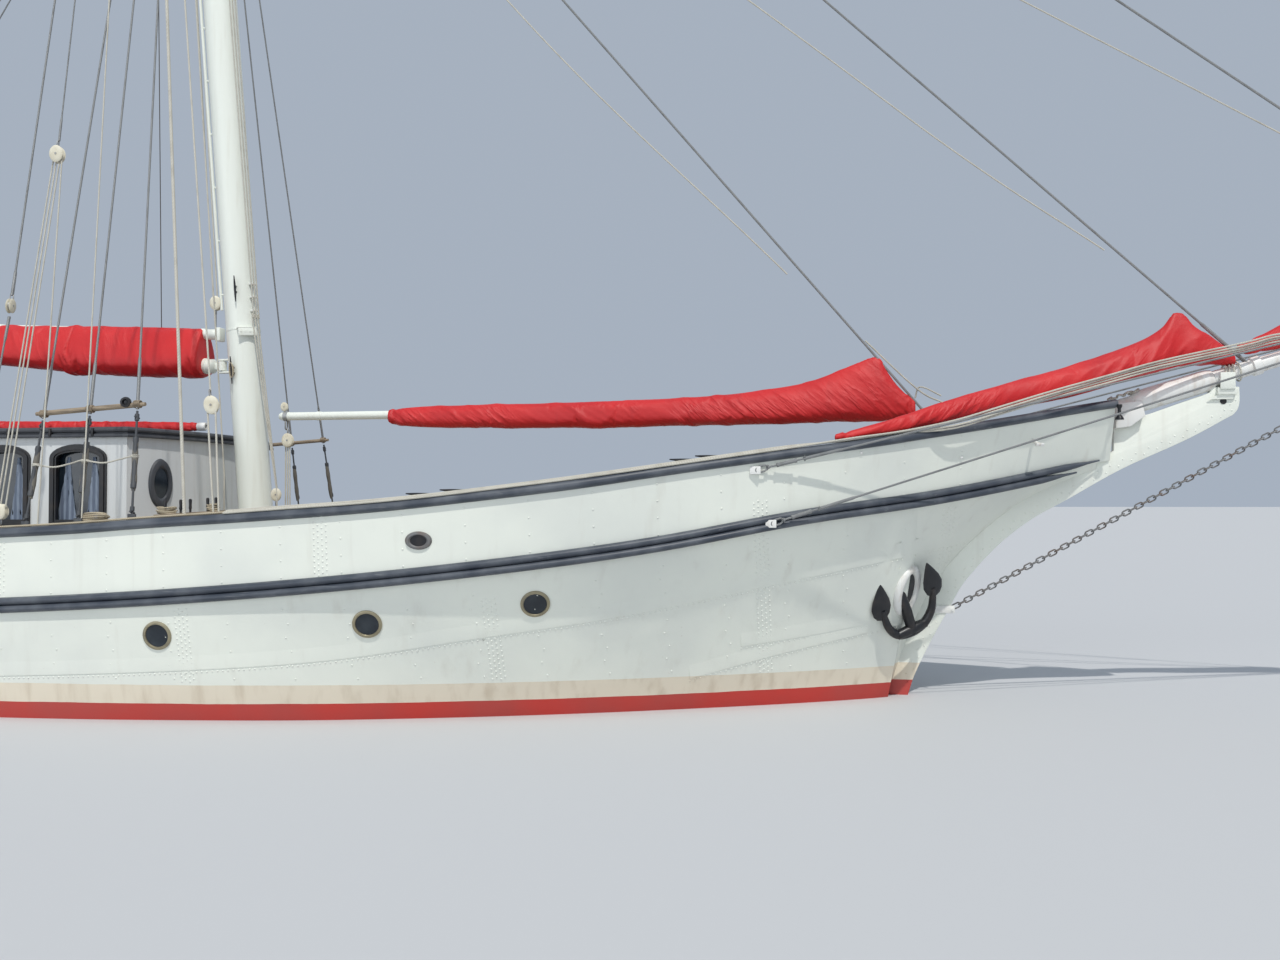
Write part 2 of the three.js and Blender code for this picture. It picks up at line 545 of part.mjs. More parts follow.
// Sail bundle under its cover, as rings along x: z of the middle, half height and half width
function bundle(rows, sides = 12) {
  return loft(rows.map(({ x, y = 0, z, tall, wide }) =>
    Array.from({ length: sides }, (_, i) => {
      const a = (2 * Math.PI * i) / sides;
      return [x, y + wide * Math.cos(a), z + tall * Math.sin(a)];
    })));
}
function sailCover(m, gear) {
  const n = 8;
  const middle = (m.boomZ + m.gaffZ) / 2;
  const rows = Array.from({ length: n + 1 }, (_, i) => {
    const t = i / n;
    const shrink = 1 - 0.38 * t;
    const x = THREE.MathUtils.lerp(gear.coverFrom, gear.coverTo, t);
    return {
      x,
      z: middle + 30 * Math.sin(3 * t) - 60 * t + gear.rise * (gear.coverFrom - x),
      tall: 335 * shrink + (i === 0 ? -20 : 0),
      wide: 235 * shrink,
    };
  });
  return bundle(rows);
}
for (const [name, m, gear] of [["fore", FORE, FORE_GEAR], ["main", MAIN, MAIN_GEAR]]) {
  const pinX = onMast(m, m.boomZ)[0] - NECK;
  add(`${name}mast`, join(mastBody(m), gooseneck(m)), FINISH.white, [m.x, 0, deckTop(m.x)]);
  add(`${name}_boom`, boomBody(m, gear), FINISH.white, [pinX, 0, m.boomZ]);
  add(`${name}_gaff`, gaffBody(m, gear), FINISH.white, [pinX, 0, m.gaffZ]);
  const bores = join(boomSpar(m, gear, 2 * SEAT), gaffSpar(m, gear, 2 * SEAT));
  add(`${name}_sail_cover`, sailCover(m, gear).subtract(bores), FINISH.red, [pinX, 0, m.gaffZ]);
}

// Staysail boom on its post behind the forestay, with the furled staysail
const CLUB = { pivotX: 12520, endX: 4500, z: 3385, radius: 58, coverFrom: 6020, coverTo: 12450 };
const clubSpar = (grow = 0) =>
  bar([CLUB.endX, 0, CLUB.z], [CLUB.pivotX - 60, 0, CLUB.z],
    CLUB.radius * 0.9 + grow, CLUB.radius + grow, 12);
const clubStrap = (grow = 0) =>
  box([CLUB.pivotX - 130, -24 - grow, CLUB.z - 36 - grow], [CLUB.pivotX, 24 + grow, CLUB.z + 36 + grow]);
function staysailBoom() {
  const spar = clubSpar();
  const eye = bar([CLUB.pivotX, 0, CLUB.z - 45], [CLUB.pivotX, 0, CLUB.z + 45], 48, 48, 14);
  const strap = clubStrap();
  const hole = bar([CLUB.pivotX, 0, CLUB.z - 90], [CLUB.pivotX, 0, CLUB.z + 90], PIN_HOLE, PIN_HOLE, 12);
  return join(spar, eye, strap).subtract(hole);
}
add("staysail_boom", staysailBoom(), FINISH.white, [CLUB.pivotX, 0, CLUB.z]);
const STAYSAIL_ROWS = [
  { x: CLUB.coverFrom, z: 3385, tall: 85, wide: 80 },
  { x: 6600, z: 3385, tall: 120, wide: 105 },
  { x: 8400, z: 3380, tall: 150, wide: 130 },
  { x: 10000, z: 3395, tall: 180, wide: 150 },
  { x: 11200, z: 3455, tall: 250, wide: 165 },
  { x: 11850, z: 3550, tall: 350, wide: 150 },
  { x: 12090, z: 3560, tall: 350, wide: 120 },
  { x: 12180, z: 3540, tall: 295, wide: 95 },
  { x: 12300, z: 3490, tall: 205, wide: 75 },
  { x: 12400, z: 3430, tall: 150, wide: 62 },
  { x: CLUB.coverTo, z: 3400, tall: 95, wide: 50 },
];
const clubBore = join(clubSpar(2 * SEAT), clubStrap(2 * SEAT));
add("staysail_cover", bundle(STAYSAIL_ROWS).subtract(clubBore), FINISH.red, [CLUB.pivotX, 0, CLUB.z]);
function clubPost() {
  const post = bar([CLUB.pivotX, 0, 2000], [CLUB.pivotX, 0, CLUB.z - 52], 62, 50, 12);
  const pin = bar([CLUB.pivotX, 0, CLUB.z - 100], [CLUB.pivotX, 0, CLUB.z + 75], PIN, PIN, 12);
  const cap = bar([CLUB.pivotX, 0, CLUB.z + 51], [CLUB.pivotX, 0, CLUB.z + 75], 34, 34, 12);
  const foot = bar([CLUB.pivotX, 0, 2000], [CLUB.pivotX, 0, deckTop(CLUB.pivotX) + 60], 130, 110, 12);
  return onDeck(join(post, pin, cap, foot));
}
add("staysail_boom_post", clubPost(), FINISH.white);

// Bowsprit with its heel post on the foredeck and the bands that take the stays
const OUTER_STAY_X = 19090;
const JIB_STAY_X = 16210;
function bowspritBody() {
  const heel = box([SPRIT.heelX, -110, 2300], [SPRIT.heelX + 230, 110, spritZ(SPRIT.heelX) + 60]);
  const bandAt = (x, r) => bar(spritAt(x - 45), spritAt(x + 45), r, r, 16);
  return onDeck(join(spritBar(), heel, bandAt(OUTER_STAY_X, 96), bandAt(JIB_STAY_X + 120, 108)));
}
const bowsprit = add("bowsprit", clear(bowspritBody(), stem), FINISH.white);

// Standing rigging
function stay(m, z, foot, ...seats) {
  const [x] = onMast(m, z);
  return clear(bar([x, 0, z], foot, WIRE, WIRE, 6), ...seats);
}
const masts = Object.fromEntries(
  ["foremast", "mainmast"].map((n) => [n, solid(ship.getObjectByName(n).geometry,
    new THREE.Matrix4().setPosition(ship.getObjectByName(n).position))]),
);
const FORESTAY_FOOT_X = 13400;
function forestayPad() {
  const x = FORESTAY_FOOT_X;
  return box([x - 90, -35, 2200], [x + 90, 35, deckTop(x) + 70]);
}
const foreStay = onDeck(join(
  stay(FORE, 14790, [FORESTAY_FOOT_X, 0, deckTop(FORESTAY_FOOT_X) + 40], masts.foremast), forestayPad(),
));
add("fore_stay", foreStay, FINISH.steel);
const jibStay = stay(FORE, 16580, spritAt(JIB_STAY_X), masts.foremast, bowsprit);
add("jib_stay", jibStay, FINISH.steel);
const outerJibStay = stay(FORE, 17600, spritAt(OUTER_STAY_X), masts.foremast, bowsprit);
add("outer_jib_stay", outerJibStay, FINISH.steel);
// Furled jib: stopped to its stay over the stem, its tail laid aft on the starboard rail
const JIB_ROWS = [
  { x: 16130, y: 0, z: 3900, tall: 95, wide: 110 },
  { x: 15900, y: -25, z: 4025, tall: 200, wide: 150 },
  { x: 15500, y: -85, z: 4070, tall: 310, wide: 165 },
  { x: 15150, y: -180, z: 3905, tall: 250, wide: 180 },
  { x: 14700, y: -330, z: 3760, tall: 210, wide: 170 },
  { x: 14000, y: -580, z: 3550, tall: 180, wide: 160 },
  { x: 13200, y: -940, z: 3335, tall: 145, wide: 130 },
  { x: 12300, y: -1420, z: 3080, tall: 90, wide: 90 },
  { x: 11650, y: -1740, z: 2935, tall: 45, wide: 55 },
];
function capReach() {
  // the strip above the starboard rail, where the furled sail lies on it
  const side = SECTIONS.filter((s) => s.x > 9000).map((s) => [s.x, -s.br, railZ(s)]);
  return sweep(side, [[-90, -900], [-90, RAIL_THICK + SEAT], [60, RAIL_THICK + SEAT], [60, -900]]);
}
const jib = clear(bundle(JIB_ROWS), bowsprit, jibStay, stem).subtract(capReach());
add("jib_cover", jib, FINISH.red);
const OUTER_JIB_ROWS = [
  { x: 16420, z: 150, tall: 60, wide: 70 },
  { x: 16800, z: 190, tall: 100, wide: 110 },
  { x: 17500, z: 215, tall: 130, wide: 130 },
  { x: 18200, z: 260, tall: 180, wide: 130 },
  { x: 18620, z: 330, tall: 270, wide: 120 },
  { x: 18850, z: 280, tall: 200, wide: 100 },
  { x: 19000, z: 190, tall: 90, wide: 80 },
].map((r) => ({ ...r, z: r.z + spritZ(r.x) }));
add("outer_jib_cover", clear(bundle(OUTER_JIB_ROWS).subtract(spritBar(2 * SEAT)), outerJibStay), FINISH.red);

add(
  "triatic_stay",
  clear(bar(onMast(FORE, 18000), onMast(MAIN, 18500), WIRE, WIRE, 6), masts.foremast, masts.mainmast),
  FINISH.steel,
);

// Shrouds of one side: three wires from the hounds to screws on the rail, held apart by a bar
const SHROUD_SPREAD = [-600, 0, 600];
function shrouds(m, railX) {
  const y = (x) => -at(x, (s) => s.br) + 40;
  const top = onMast(m, m.hounds + 70);
  top[1] = -m.foot - 43;
  const footOf = (x) => [x, y(x), railTop(x) - 40];
  const poleZ = railTop(railX) + 1060;
  const wires = SHROUD_SPREAD.map((dx) => {
    const foot = footOf(railX + dx);
    const t = (poleZ - foot[2]) / (top[2] - foot[2]);
    const knee = foot.map((v, i) => v + (top[i] - v) * t);
    return { foot, knee, solids: [bar(foot, knee, 40, 30, 6), bar(knee, top, WIRE, WIRE, 5)] };
  });
  const [first, last] = [wires[0].knee, wires.at(-1).knee];
  const pole = bar([first[0] - 120, first[1], poleZ], [last[0] + 160, last[1], poleZ], 30, 30, 8);
  const axis = [m.hounds, m.hounds + 140].map((z) => onMast(m, z));
  const band = bar(...axis, m.foot + 49, m.foot + 49, 16);
  return clearUnder(join(wires.map((w) => w.solids), pole).subtract(band), capRailStarboard);
}
for (const [name, m, starboardX, portX] of [["fore", FORE, 3970, 3170], ["main", MAIN, -4900, -4900]]) {
  add(`${name}_shrouds_starboard`, shrouds(m, starboardX), FINISH.steel);
  add(`${name}_shrouds_port`, mirrorY(shrouds(m, portX)), FINISH.steel);
}

// Bobstay from the stem to the bowsprit's end, and the two guys on each side
function bobstay() {
  const lug = box([12800, -85, 950], [13050, 85, 1070]);
  return clear(join(bar([12960, 0, 1010], spritAt(OUTER_STAY_X, -60), 20, 20, 6), lug), stem, bowsprit, hull);
}
add("bobstay", bobstay(), FINISH.steel);
const GUY_FEET = [
  { x: 10850, up: 600, out: 0 }, // under the rail
  { x: 10980, up: 62, out: 34 }, // on the rubbing strake
];
function guys() {
  const end = spritAt(OUTER_STAY_X);
  const tang = box([end[0] - 40, -130, end[2] - 50], [end[0] + 40, -96 - SEAT, end[2] + 40]);
  const wires = GUY_FEET.map(({ x, up, out }) => {
    const z = at(x, deckEdgeZ) + up;
    const y = -at(x, (s) => THREE.MathUtils.lerp(s.bd, s.br, up / s.h)) - out;
    return bar([x, y - 30, z], [end[0], -113, end[2] - 10], WIRE, WIRE, 6).add(
      box([x - 50, y - 60, z - 25], [x + 50, y + 22, z + 25]),
    );
  });
  return largest(clearPort(join(tang, wires), hull, bulwarkStarboard, strake));
}
const guysStarboard = guys();
add("bowsprit_guys_starboard", guysStarboard, FINISH.steel);
add("bowsprit_guys_port", mirrorY(guysStarboard), FINISH.steel);

// Stockless anchors, hauled up into the hawse lips with the forward arm turned out from the bow's side
const ANCHOR = {
  turn: THREE.MathUtils.degToRad(-23),
  roll: THREE.MathUtils.degToRad(30),
  size: 1.25,
  lift: 100,
};
const ANCHOR_SHIFT = new THREE.Vector3(-112, 0, 68);
function anchorBody() {
  const off = 120; // stands off the plating by its arms
  const place = bowSide.place.clone()
    .premultiply(new THREE.Matrix4().makeTranslation(ANCHOR_SHIFT))
    .multiply(new THREE.Matrix4().makeTranslation(0, 0, ANCHOR.lift))
    .multiply(new THREE.Matrix4().makeRotationY(ANCHOR.turn))
    .multiply(new THREE.Matrix4().makeRotationZ(ANCHOR.roll))
    .multiply(new THREE.Matrix4().makeScale(ANCHOR.size, ANCHOR.size, 1));
  const local = (x, y, z) => new THREE.Vector3(x, y, z).applyMatrix4(place).toArray();
  const arm = [[-285, -120], [-240, -330], [-110, -440], [0, -462], [110, -440], [240, -330], [285, -120]];
  const arms = bent(arm.map(([x, y]) => local(x, y, off)), 42);
  const crown = [
    bar(local(-150, -430, off), local(150, -430, off), 62, 62, 8),
    bar(local(0, -420, off), local(0, -60, 70), 42, 36, 8),
    bar(local(0, -75, 80), local(0, 90, -120), 36, 30, 8),
  ];
  const spade = [
    [0, 190], [62, 70], [92, -40], [70, -120], [30, -165], [-30, -165], [-70, -120], [-92, -40], [-62, 70],
  ];
  const palms = [-290, 290].map((x) =>
    plate(spade, 42, place.clone().multiply(new THREE.Matrix4().makeTranslation(x, 20, off))));
  return clearPort(join(arms, crown, palms), hull);
}
const anchor = anchorBody();
add("anchor_starboard", anchor, FINISH.black);
add("anchor_port", mirrorY(anchor), FINISH.black);

// Saloon deckhouse between the masts: walls with arched windows and a rounded front, roof and aft door
function saloonPlan(grow = 0) {
  const { aft, corner, front, half } = SALOON;
  const sagitta = front - corner;
  const radius = (half ** 2 + sagitta ** 2) / (2 * sagitta);
  const steps = 8;
  const reach = Math.asin(half / radius);
  const arc = Array.from({ length: steps + 1 }, (_, i) => {
    const a = THREE.MathUtils.lerp(-reach, reach, i / steps);
    return [front - radius + (radius + grow) * Math.cos(a), (radius + grow) * Math.sin(a)];
  });
  arc[0][1] = -half - grow;
  arc[steps][1] = half + grow;
  return [[aft - grow, -half - grow], ...arc, [aft - grow, half + grow]];
}
const slab = (points, from, to) =>
  plate(points, to - from, moved(new THREE.Matrix4(), 0, 0, (from + to) / 2));
const SALOON_DOOR = { half: 360, sill: 1260, head: 2900, thick: 45 };
function archedHole(x, wide, deep) {
  const { sill, spring, rise } = WINDOW;
  const steps = 6;
  const arch = Array.from({ length: steps + 1 }, (_, i) => {
    const a = (Math.PI * i) / steps;
    return [x + (wide / 2) * Math.cos(a), spring + rise * Math.sin(a)];
  });
  return plate([[x - wide / 2, sill], [x + wide / 2, sill], ...arch], deep, UPRIGHT);
}
const windowXs = Array.from({ length: WINDOW.count }, (_, i) => WINDOW.first - i * WINDOW.pitch);
const PORTHOLES = [-1, 1].map((s) => ({ y: s * 1220, z: 2500, radius: 170 }));
function saloonWalls() {
  const { wall, half, roofZ, aft } = SALOON;
  const shell = slab(saloonPlan(), 900, roofZ).subtract(slab(saloonPlan(-wall), 800, roofZ + 50));
  const windows = windowXs.map((x) => archedHole(x, WINDOW.width, 2 * half + 400));
  const ports = PORTHOLES.map(({ y, z, radius }) => bar([3000, y, z], [4200, y, z], radius, radius, 14));
  const { half: doorHalf, sill, head } = SALOON_DOOR;
  const door = box([aft - 100, -doorHalf, sill], [aft + 200, doorHalf, head]);
  const holes = join(windows, ports, door);
  return onDeck(shell.subtract(holes));
}
add("saloon_walls", saloonWalls(), FINISH.white);
function saloonRoof() {
  const { roofZ, roof } = SALOON;
  return join(
    slab(saloonPlan(60), roofZ + SEAT, roofZ + roof * 0.45),
    slab(saloonPlan(30), roofZ + roof * 0.4, roofZ + roof),
  );
}
const saloonTop = SALOON.roofZ + SALOON.roof;
add("saloon_roof", saloonRoof(), FINISH.grey);
// A door that stands on the aft side of an opening: its leaf, and its hinge to port of it
function doorLeaf(aft, { half, sill, head, thick }) {
  const face = aft - 5;
  const pin = face - 14;
  return join(
    box([face, 8 - half, sill + 12], [face + thick, half - 8, head - 8]),
    bar([pin, half + 4, sill + 60], [pin, half + 4, head - 60], 11, 11, 8),
    box([pin - 8, half - 60, sill + 120], [aft - SEAT, half + 6, head - 120]),
  );
}
add("saloon_door", doorLeaf(SALOON.aft, SALOON_DOOR), FINISH.varnish, [SALOON.aft, SALOON_DOOR.half, 0]);
function glazing() {
  const { half, wall } = SALOON;
  const y = -half + wall + SEAT;
  return box([windowXs.at(-1) - 440, y, 1960], [windowXs[0] + 430, y + 12, 2990]);
}
const glass = glazing();
add("saloon_glass_starboard", glass, FINISH.glass);
add("saloon_glass_port", mirrorY(glass), FINISH.glass);
function awningRoll() {
  const [z, y] = [saloonTop + 78, -300];
  const cloth = bar([-2150, y, z], [3530, y, z], 68, 68, 12);
  const roll = join(cloth, bar([3510, y, z], [3660, y, z], 52, 52, 12));
  const foot = (x) => box([x - 40, y - 50, saloonTop + SEAT], [x + 40, y + 50, z - 20]);
  const feet = [-1800, 0, 1600, 3200].map(foot);
  return join(roll, feet);
}
add("awning_roll", awningRoll(), FINISH.red);

// Aft cabin trunk with its own door
const CABIN_DOOR = { half: 330, sill: 1420, head: 2240, thick: 40 };
const cabinPlan = (grow = 0) => {
  const { aft, front, half } = CABIN;
  const [low, high, side] = [aft - grow, front + grow, half + grow];
  return [[low, -side], [high, -side], [high, side], [low, side]];
};
function cabinWalls() {
  const { wall, roofZ, aft } = CABIN;
  const shell = slab(cabinPlan(), 900, roofZ).subtract(slab(cabinPlan(-wall), 800, roofZ + 50));
  const { half: doorHalf, sill, head } = CABIN_DOOR;
  const door = box([aft - 100, -doorHalf, sill], [aft + 200, doorHalf, head]);
  const ports = [-8050, -7300, -6550].map((x) => bar([x, -2000, 1960], [x, 2000, 1960], 110, 110, 14));
  return onDeck(shell.subtract(join(door, ports)));
}
add("cabin_walls", cabinWalls(), FINISH.white);
function cabinRoof() {
  const { roofZ, roof } = CABIN;
  const skylight = box([-7900, -420, roofZ + roof - 5], [-6900, 420, roofZ + roof + 180]);
  const ridge = plate([[-420, 0], [420, 0], [0, 150]], 1000, moved(FACING, -7400, 0, roofZ + roof + 175));
  return join(slab(cabinPlan(45), roofZ + SEAT, roofZ + roof), skylight, ridge);
}
add("cabin_roof", cabinRoof(), FINISH.grey);
add("cabin_door", doorLeaf(CABIN.aft, CABIN_DOOR), FINISH.varnish, [CABIN.aft, CABIN_DOOR.half, 0]);

// Steering: gear box over the rudder head, with the wheel on its forward face
const WHEEL = { x: -10560, z: 2290, rim: 560, spokes: 8, axle: 24 };
function gearBox() {
  const low = box([-11450, -430, 1300], [-10800, 430, 2180]);
  const lid = plate([[-11480, 2175], [-10770, 2175], [-10900, 2420], [-11350, 2420]], 900, UPRIGHT);
  const bearing = bar([-10900, 0, WHEEL.z], [-10690, 0, WHEEL.z], 70, 60, 12);
  const r = holeRadius(WHEEL.axle, 16);
  const bore = bar([-10900, 0, WHEEL.z], [-10600, 0, WHEEL.z], r, r, 16);
  return onDeck(join(low, lid, bearing).subtract(bore));
}
add("gear_box", gearBox(), FINISH.varnish);
function steeringWheel() {
  const rim = new THREE.TorusGeometry(WHEEL.rim, 30, 5, 16);
  const place = moved(new THREE.Matrix4().makeRotationY(Math.PI / 2), WHEEL.x, 0, WHEEL.z);
  const spokes = Array.from({ length: WHEEL.spokes }, (_, i) => {
    const a = (2 * Math.PI * i) / WHEEL.spokes;
    const end = WHEEL.rim + 170;
    return bar([WHEEL.x, 0, WHEEL.z], [WHEEL.x, end * Math.cos(a), WHEEL.z + end * Math.sin(a)], 19, 15, 4);
  });
  const hub = bar([WHEEL.x - 60, 0, WHEEL.z], [WHEEL.x + 60, 0, WHEEL.z], 105, 95, 12);
  const axle = bar([WHEEL.x - 280, 0, WHEEL.z], [WHEEL.x, 0, WHEEL.z], WHEEL.axle, WHEEL.axle, 16);
  return join(solid(rim, place), spokes, hub, axle);
}
add("steering_wheel", steeringWheel(), FINISH.varnish, [WHEEL.x, 0, WHEEL.z]);

// Foredeck: hatch with its lid, and the windlass
const HATCH = { x: 8700, half: 475, top: 2080, lid: 60 };
function hatchCoaming() {
  const { x, half, top } = HATCH;
  const outer = box([x - half, -half, 1300], [x + half, half, top]);
  return onDeck(outer.subtract(box([x - half + 55, -half + 55, 1200], [x + half - 55, half - 55, top + 50])));
}
add("hatch_coaming", hatchCoaming(), FINISH.varnish);
function hatchLid() {
  const { x, half, top, lid } = HATCH;
  const leaf = box([x - half - 30, -half - 30, top + SEAT], [x + half - 10, half + 30, top + lid]);
  const knuckle = bar([x + half + 12, -300, top + 24], [x + half + 12, 300, top + 24], 12, 12, 8);
  return join(leaf, knuckle, box([x + half - 20, -280, top + 16], [x + half + 12, 280, top + 32]));
}
add("hatch_lid", hatchLid(), FINISH.varnish, [HATCH.x + HATCH.half + 12, 0, HATCH.top + 24]);
const WINDLASS = { x: 11150, z: 2660, cheek: 430, axle: 30 };
function windlassFrame() {
  const { x, z, cheek, axle } = WINDLASS;
  const r = holeRadius(axle, 16);
  const bore = bar([x, -900, z], [x, 900, z], r, r, 16);
  const cheeks = [-cheek, cheek].map((y) => box([x - 110, y - 60, 1700], [x + 110, y + 60, z + 130]));
  const brace = box([x + 190, -cheek - 90, 1700], [x + 290, cheek + 90, z - 120]);
  const knees = [-cheek, cheek].map((y) => box([x + 60, y - 50, 1700], [x + 210, y + 50, z - 250]));
  const base = box([x - 260, -cheek - 110, 1700], [x + 320, cheek + 110, deckTop(x) + 130]);
  return onDeck(join(cheeks, brace, knees, base).subtract(bore));
}
add("windlass_frame", windlassFrame(), FINISH.grey);
function windlassDrum() {
  const { x, z, cheek, axle } = WINDLASS;
  const half = [
    [0, 0], [118, 0], [118, 60], [92, 100], [118, 150], [118, 190],
    [170, 200], [170, 235], [118, 245], [118, 300],
    [axle, 305], [axle, cheek + 75], [135, cheek + 85], [100, cheek + 170],
    [100, cheek + 240], [150, cheek + 330], [0, cheek + 335],
  ].map(([r, y]) => new THREE.Vector2(r, y));
  const one = solid(new THREE.LatheGeometry(half, 16), moved(new THREE.Matrix4(), x, 0, z));
  return join(one, mirrorY(one));
}
add("windlass_drum", windlassDrum(), FINISH.black, [WINDLASS.x, 0, WINDLASS.z]);

export default ship;
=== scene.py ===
# %% [markdown]
# # A gaff schooner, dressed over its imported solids
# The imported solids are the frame. They give every piece its place, and this file gives the looks.
# The ship lies afloat: the water's surface is z = 0, x runs forward, y to port, all in metres.

# %% Load the frame
import math

import bmesh
import bpy
import numpy as np
from mathutils import Matrix, Vector


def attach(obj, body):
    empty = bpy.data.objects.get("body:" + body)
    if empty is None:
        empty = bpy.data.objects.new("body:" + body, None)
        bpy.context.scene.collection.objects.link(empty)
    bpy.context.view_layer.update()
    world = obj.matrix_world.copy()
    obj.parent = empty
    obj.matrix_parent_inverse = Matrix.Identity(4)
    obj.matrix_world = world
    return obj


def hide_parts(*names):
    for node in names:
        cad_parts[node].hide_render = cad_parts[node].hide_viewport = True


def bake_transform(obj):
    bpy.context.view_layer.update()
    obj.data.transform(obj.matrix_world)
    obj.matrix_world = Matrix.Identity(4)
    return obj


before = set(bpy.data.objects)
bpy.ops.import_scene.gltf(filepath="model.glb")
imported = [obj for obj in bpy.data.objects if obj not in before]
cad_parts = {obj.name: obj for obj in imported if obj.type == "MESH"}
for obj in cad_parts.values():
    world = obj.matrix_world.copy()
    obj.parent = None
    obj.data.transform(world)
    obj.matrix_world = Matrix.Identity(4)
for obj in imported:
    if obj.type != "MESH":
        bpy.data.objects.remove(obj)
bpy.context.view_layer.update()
scene = bpy.context.scene
print("solids in the frame:", len(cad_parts))

# %% [markdown]
# ## Camera, floor and light
# The photograph was taken from a pontoon off the starboard bow, at the height of a standing person.
# A floor at the water's surface stands for the water, so the hull is cut by it as the sea would.
# A high lamp behind the camera gives the shadows of a bright day. A low, broad one lights the flare
# of the bow, as the bright water does, and a pale world fills the rest.

# %% Camera, floor, lamps and world
CAMERA = {"place": (11.6, -13.35, 2.25), "tilt": 91.21, "turn": 9.81, "lens": 30.9}
eye = bpy.data.cameras.new("camera")
eye.lens = CAMERA["lens"]
eye.clip_end = 2000
camera = bpy.data.objects.new("camera", eye)
camera.location = CAMERA["place"]
camera.rotation_euler = (math.radians(CAMERA["tilt"]), 0, math.radians(CAMERA["turn"]))
scene.collection.objects.link(camera)
scene.camera = camera


def plain(name, color, roughness):
    """A material of one colour, for the stage only."""
    made = bpy.data.materials.new(name)
    made.use_nodes = True
    shader = made.node_tree.nodes["Principled BSDF"]
    shader.inputs["Base Color"].default_value = (*color, 1)
    shader.inputs["Roughness"].default_value = roughness
    return made


floor_mesh = bmesh.new()
bmesh.ops.create_grid(floor_mesh, x_segments=1, y_segments=1, size=700)
floor_data = bpy.data.meshes.new("floor")
floor_mesh.to_mesh(floor_data)
floor_mesh.free()
floor = bpy.data.objects.new("floor", floor_data)
floor_data.materials.append(plain("floor", (0.55, 0.56, 0.57), 0.7))
scene.collection.objects.link(floor)


def lamp(name, kind, energy, direction, spread, color):
    """A lamp whose light comes from a direction; spread softens its shadows."""
    data = bpy.data.lights.new(name, kind)
    data.energy = energy
    data.angle = math.radians(spread)
    data.color = color
    made = bpy.data.objects.new(name, data)
    made.rotation_euler = Vector(direction).to_track_quat("Z", "Y").to_euler()
    scene.collection.objects.link(made)


lamp("key", "SUN", 2.4, (0.22, -0.50, 0.84), 1, (1, 0.97, 0.92))
lamp("fill", "SUN", 0.8, (-0.4, -0.9, 0.15), 40, (0.93, 0.97, 1))
world = bpy.data.worlds.new("world")
scene.world = world
world.use_nodes = True
world.node_tree.nodes["Background"].inputs["Color"].default_value = (0.62, 0.71, 0.84, 1)
world.node_tree.nodes["Background"].inputs["Strength"].default_value = 0.62
scene.view_settings.view_transform = "Standard"
print("camera at", CAMERA["place"])

# %% [markdown]
# ## Writing a finish as sums
# A finish is a small machine of nodes. Dozens of Math nodes are hard to read, so one class wraps a
# socket: a sum written on it in Python adds the Math nodes, and `node` adds any other kind.

# %% The socket wrapper
class Value:
    """An output socket of a material's tree; sums written on it add Math nodes."""

    def __init__(self, tree, socket=None):
        self.tree = tree
        self.socket = socket

    def node(self, kind, settings=None, inputs=None, out=0):
        """Adds a node: settings first, then its inputs by name or number, and gives one output."""
        made = self.tree.nodes.new("ShaderNode" + kind)
        for key, value in (settings or {}).items():
            if key == "stops":
                ramp = made.color_ramp
                while len(ramp.elements) < len(value):
                    ramp.elements.new(0.5)
                for element, (place, color) in zip(ramp.elements, value):
                    element.position = place
                    element.color = (*color, 1)
            else:
                setattr(made, key, value)
        for key, value in (inputs or {}).items():
            if isinstance(value, Value):
                self.tree.links.new(value.socket, made.inputs[key])
            elif value is not None:
                wanted = made.inputs[key].default_value
                if hasattr(wanted, "__len__") and len(wanted) == 4 and len(value) == 3:
                    value = (*value, 1)
                made.inputs[key].default_value = value
        return Value(self.tree, made.outputs[out])

    def math(self, operation, *others):
        return self.node("Math", {"operation": operation}, dict(enumerate((self, *others))))

    def __add__(self, other):
        return self.math("ADD", other)

    def __sub__(self, other):
        return self.math("SUBTRACT", other)

    def __rsub__(self, other):
        return self * -1 + other

    def __mul__(self, other):
        return self.math("MULTIPLY", other)

    def __truediv__(self, other):
        return self.math("DIVIDE", other)

    def __gt__(self, other):
        return self.math("GREATER_THAN", other)

    def __lt__(self, other):
        return self.math("LESS_THAN", other)

    __radd__ = __add__
    __rmul__ = __mul__

    def part(self):
        """What is left of each number after the decimal point."""
        return self.math("FRACT")

    def from_to(self, low, high):
        """0 up to low, 1 from high, and smooth between."""
        settings = {"interpolation_type": "SMOOTHSTEP"}
        return self.node("MapRange", settings, {0: self, 1: low, 2: high})

    def mix(self, a, b):
        """Colour a where this is 0 and colour b where it is 1."""
        return self.node("Mix", {"data_type": "RGBA"}, {0: self, 6: a, 7: b}, out=2)

    def times(self, scale):
        """A place, stretched by three numbers."""
        return self.node("VectorMath", {"operation": "MULTIPLY"}, {0: self, 1: scale})

    def noise(self, scale, detail=3, rough=0.5):
        """Cloudy noise over a place."""
        settings = {"Vector": self, "Scale": scale, "Detail": detail, "Roughness": rough}
        return self.node("TexNoise", None, settings)


def start(name):
    """A bare material: its tree's first value, the object's own coordinates, and x, y, z."""
    made = bpy.data.materials.new(name)
    made.use_nodes = True
    made.node_tree.nodes.clear()
    place = Value(made.node_tree).node("TexCoord", None, None, out=3)
    x, y, z = (place.node("SeparateXYZ", None, {0: place}, out=i) for i in range(3))
    return made, place, x, y, z


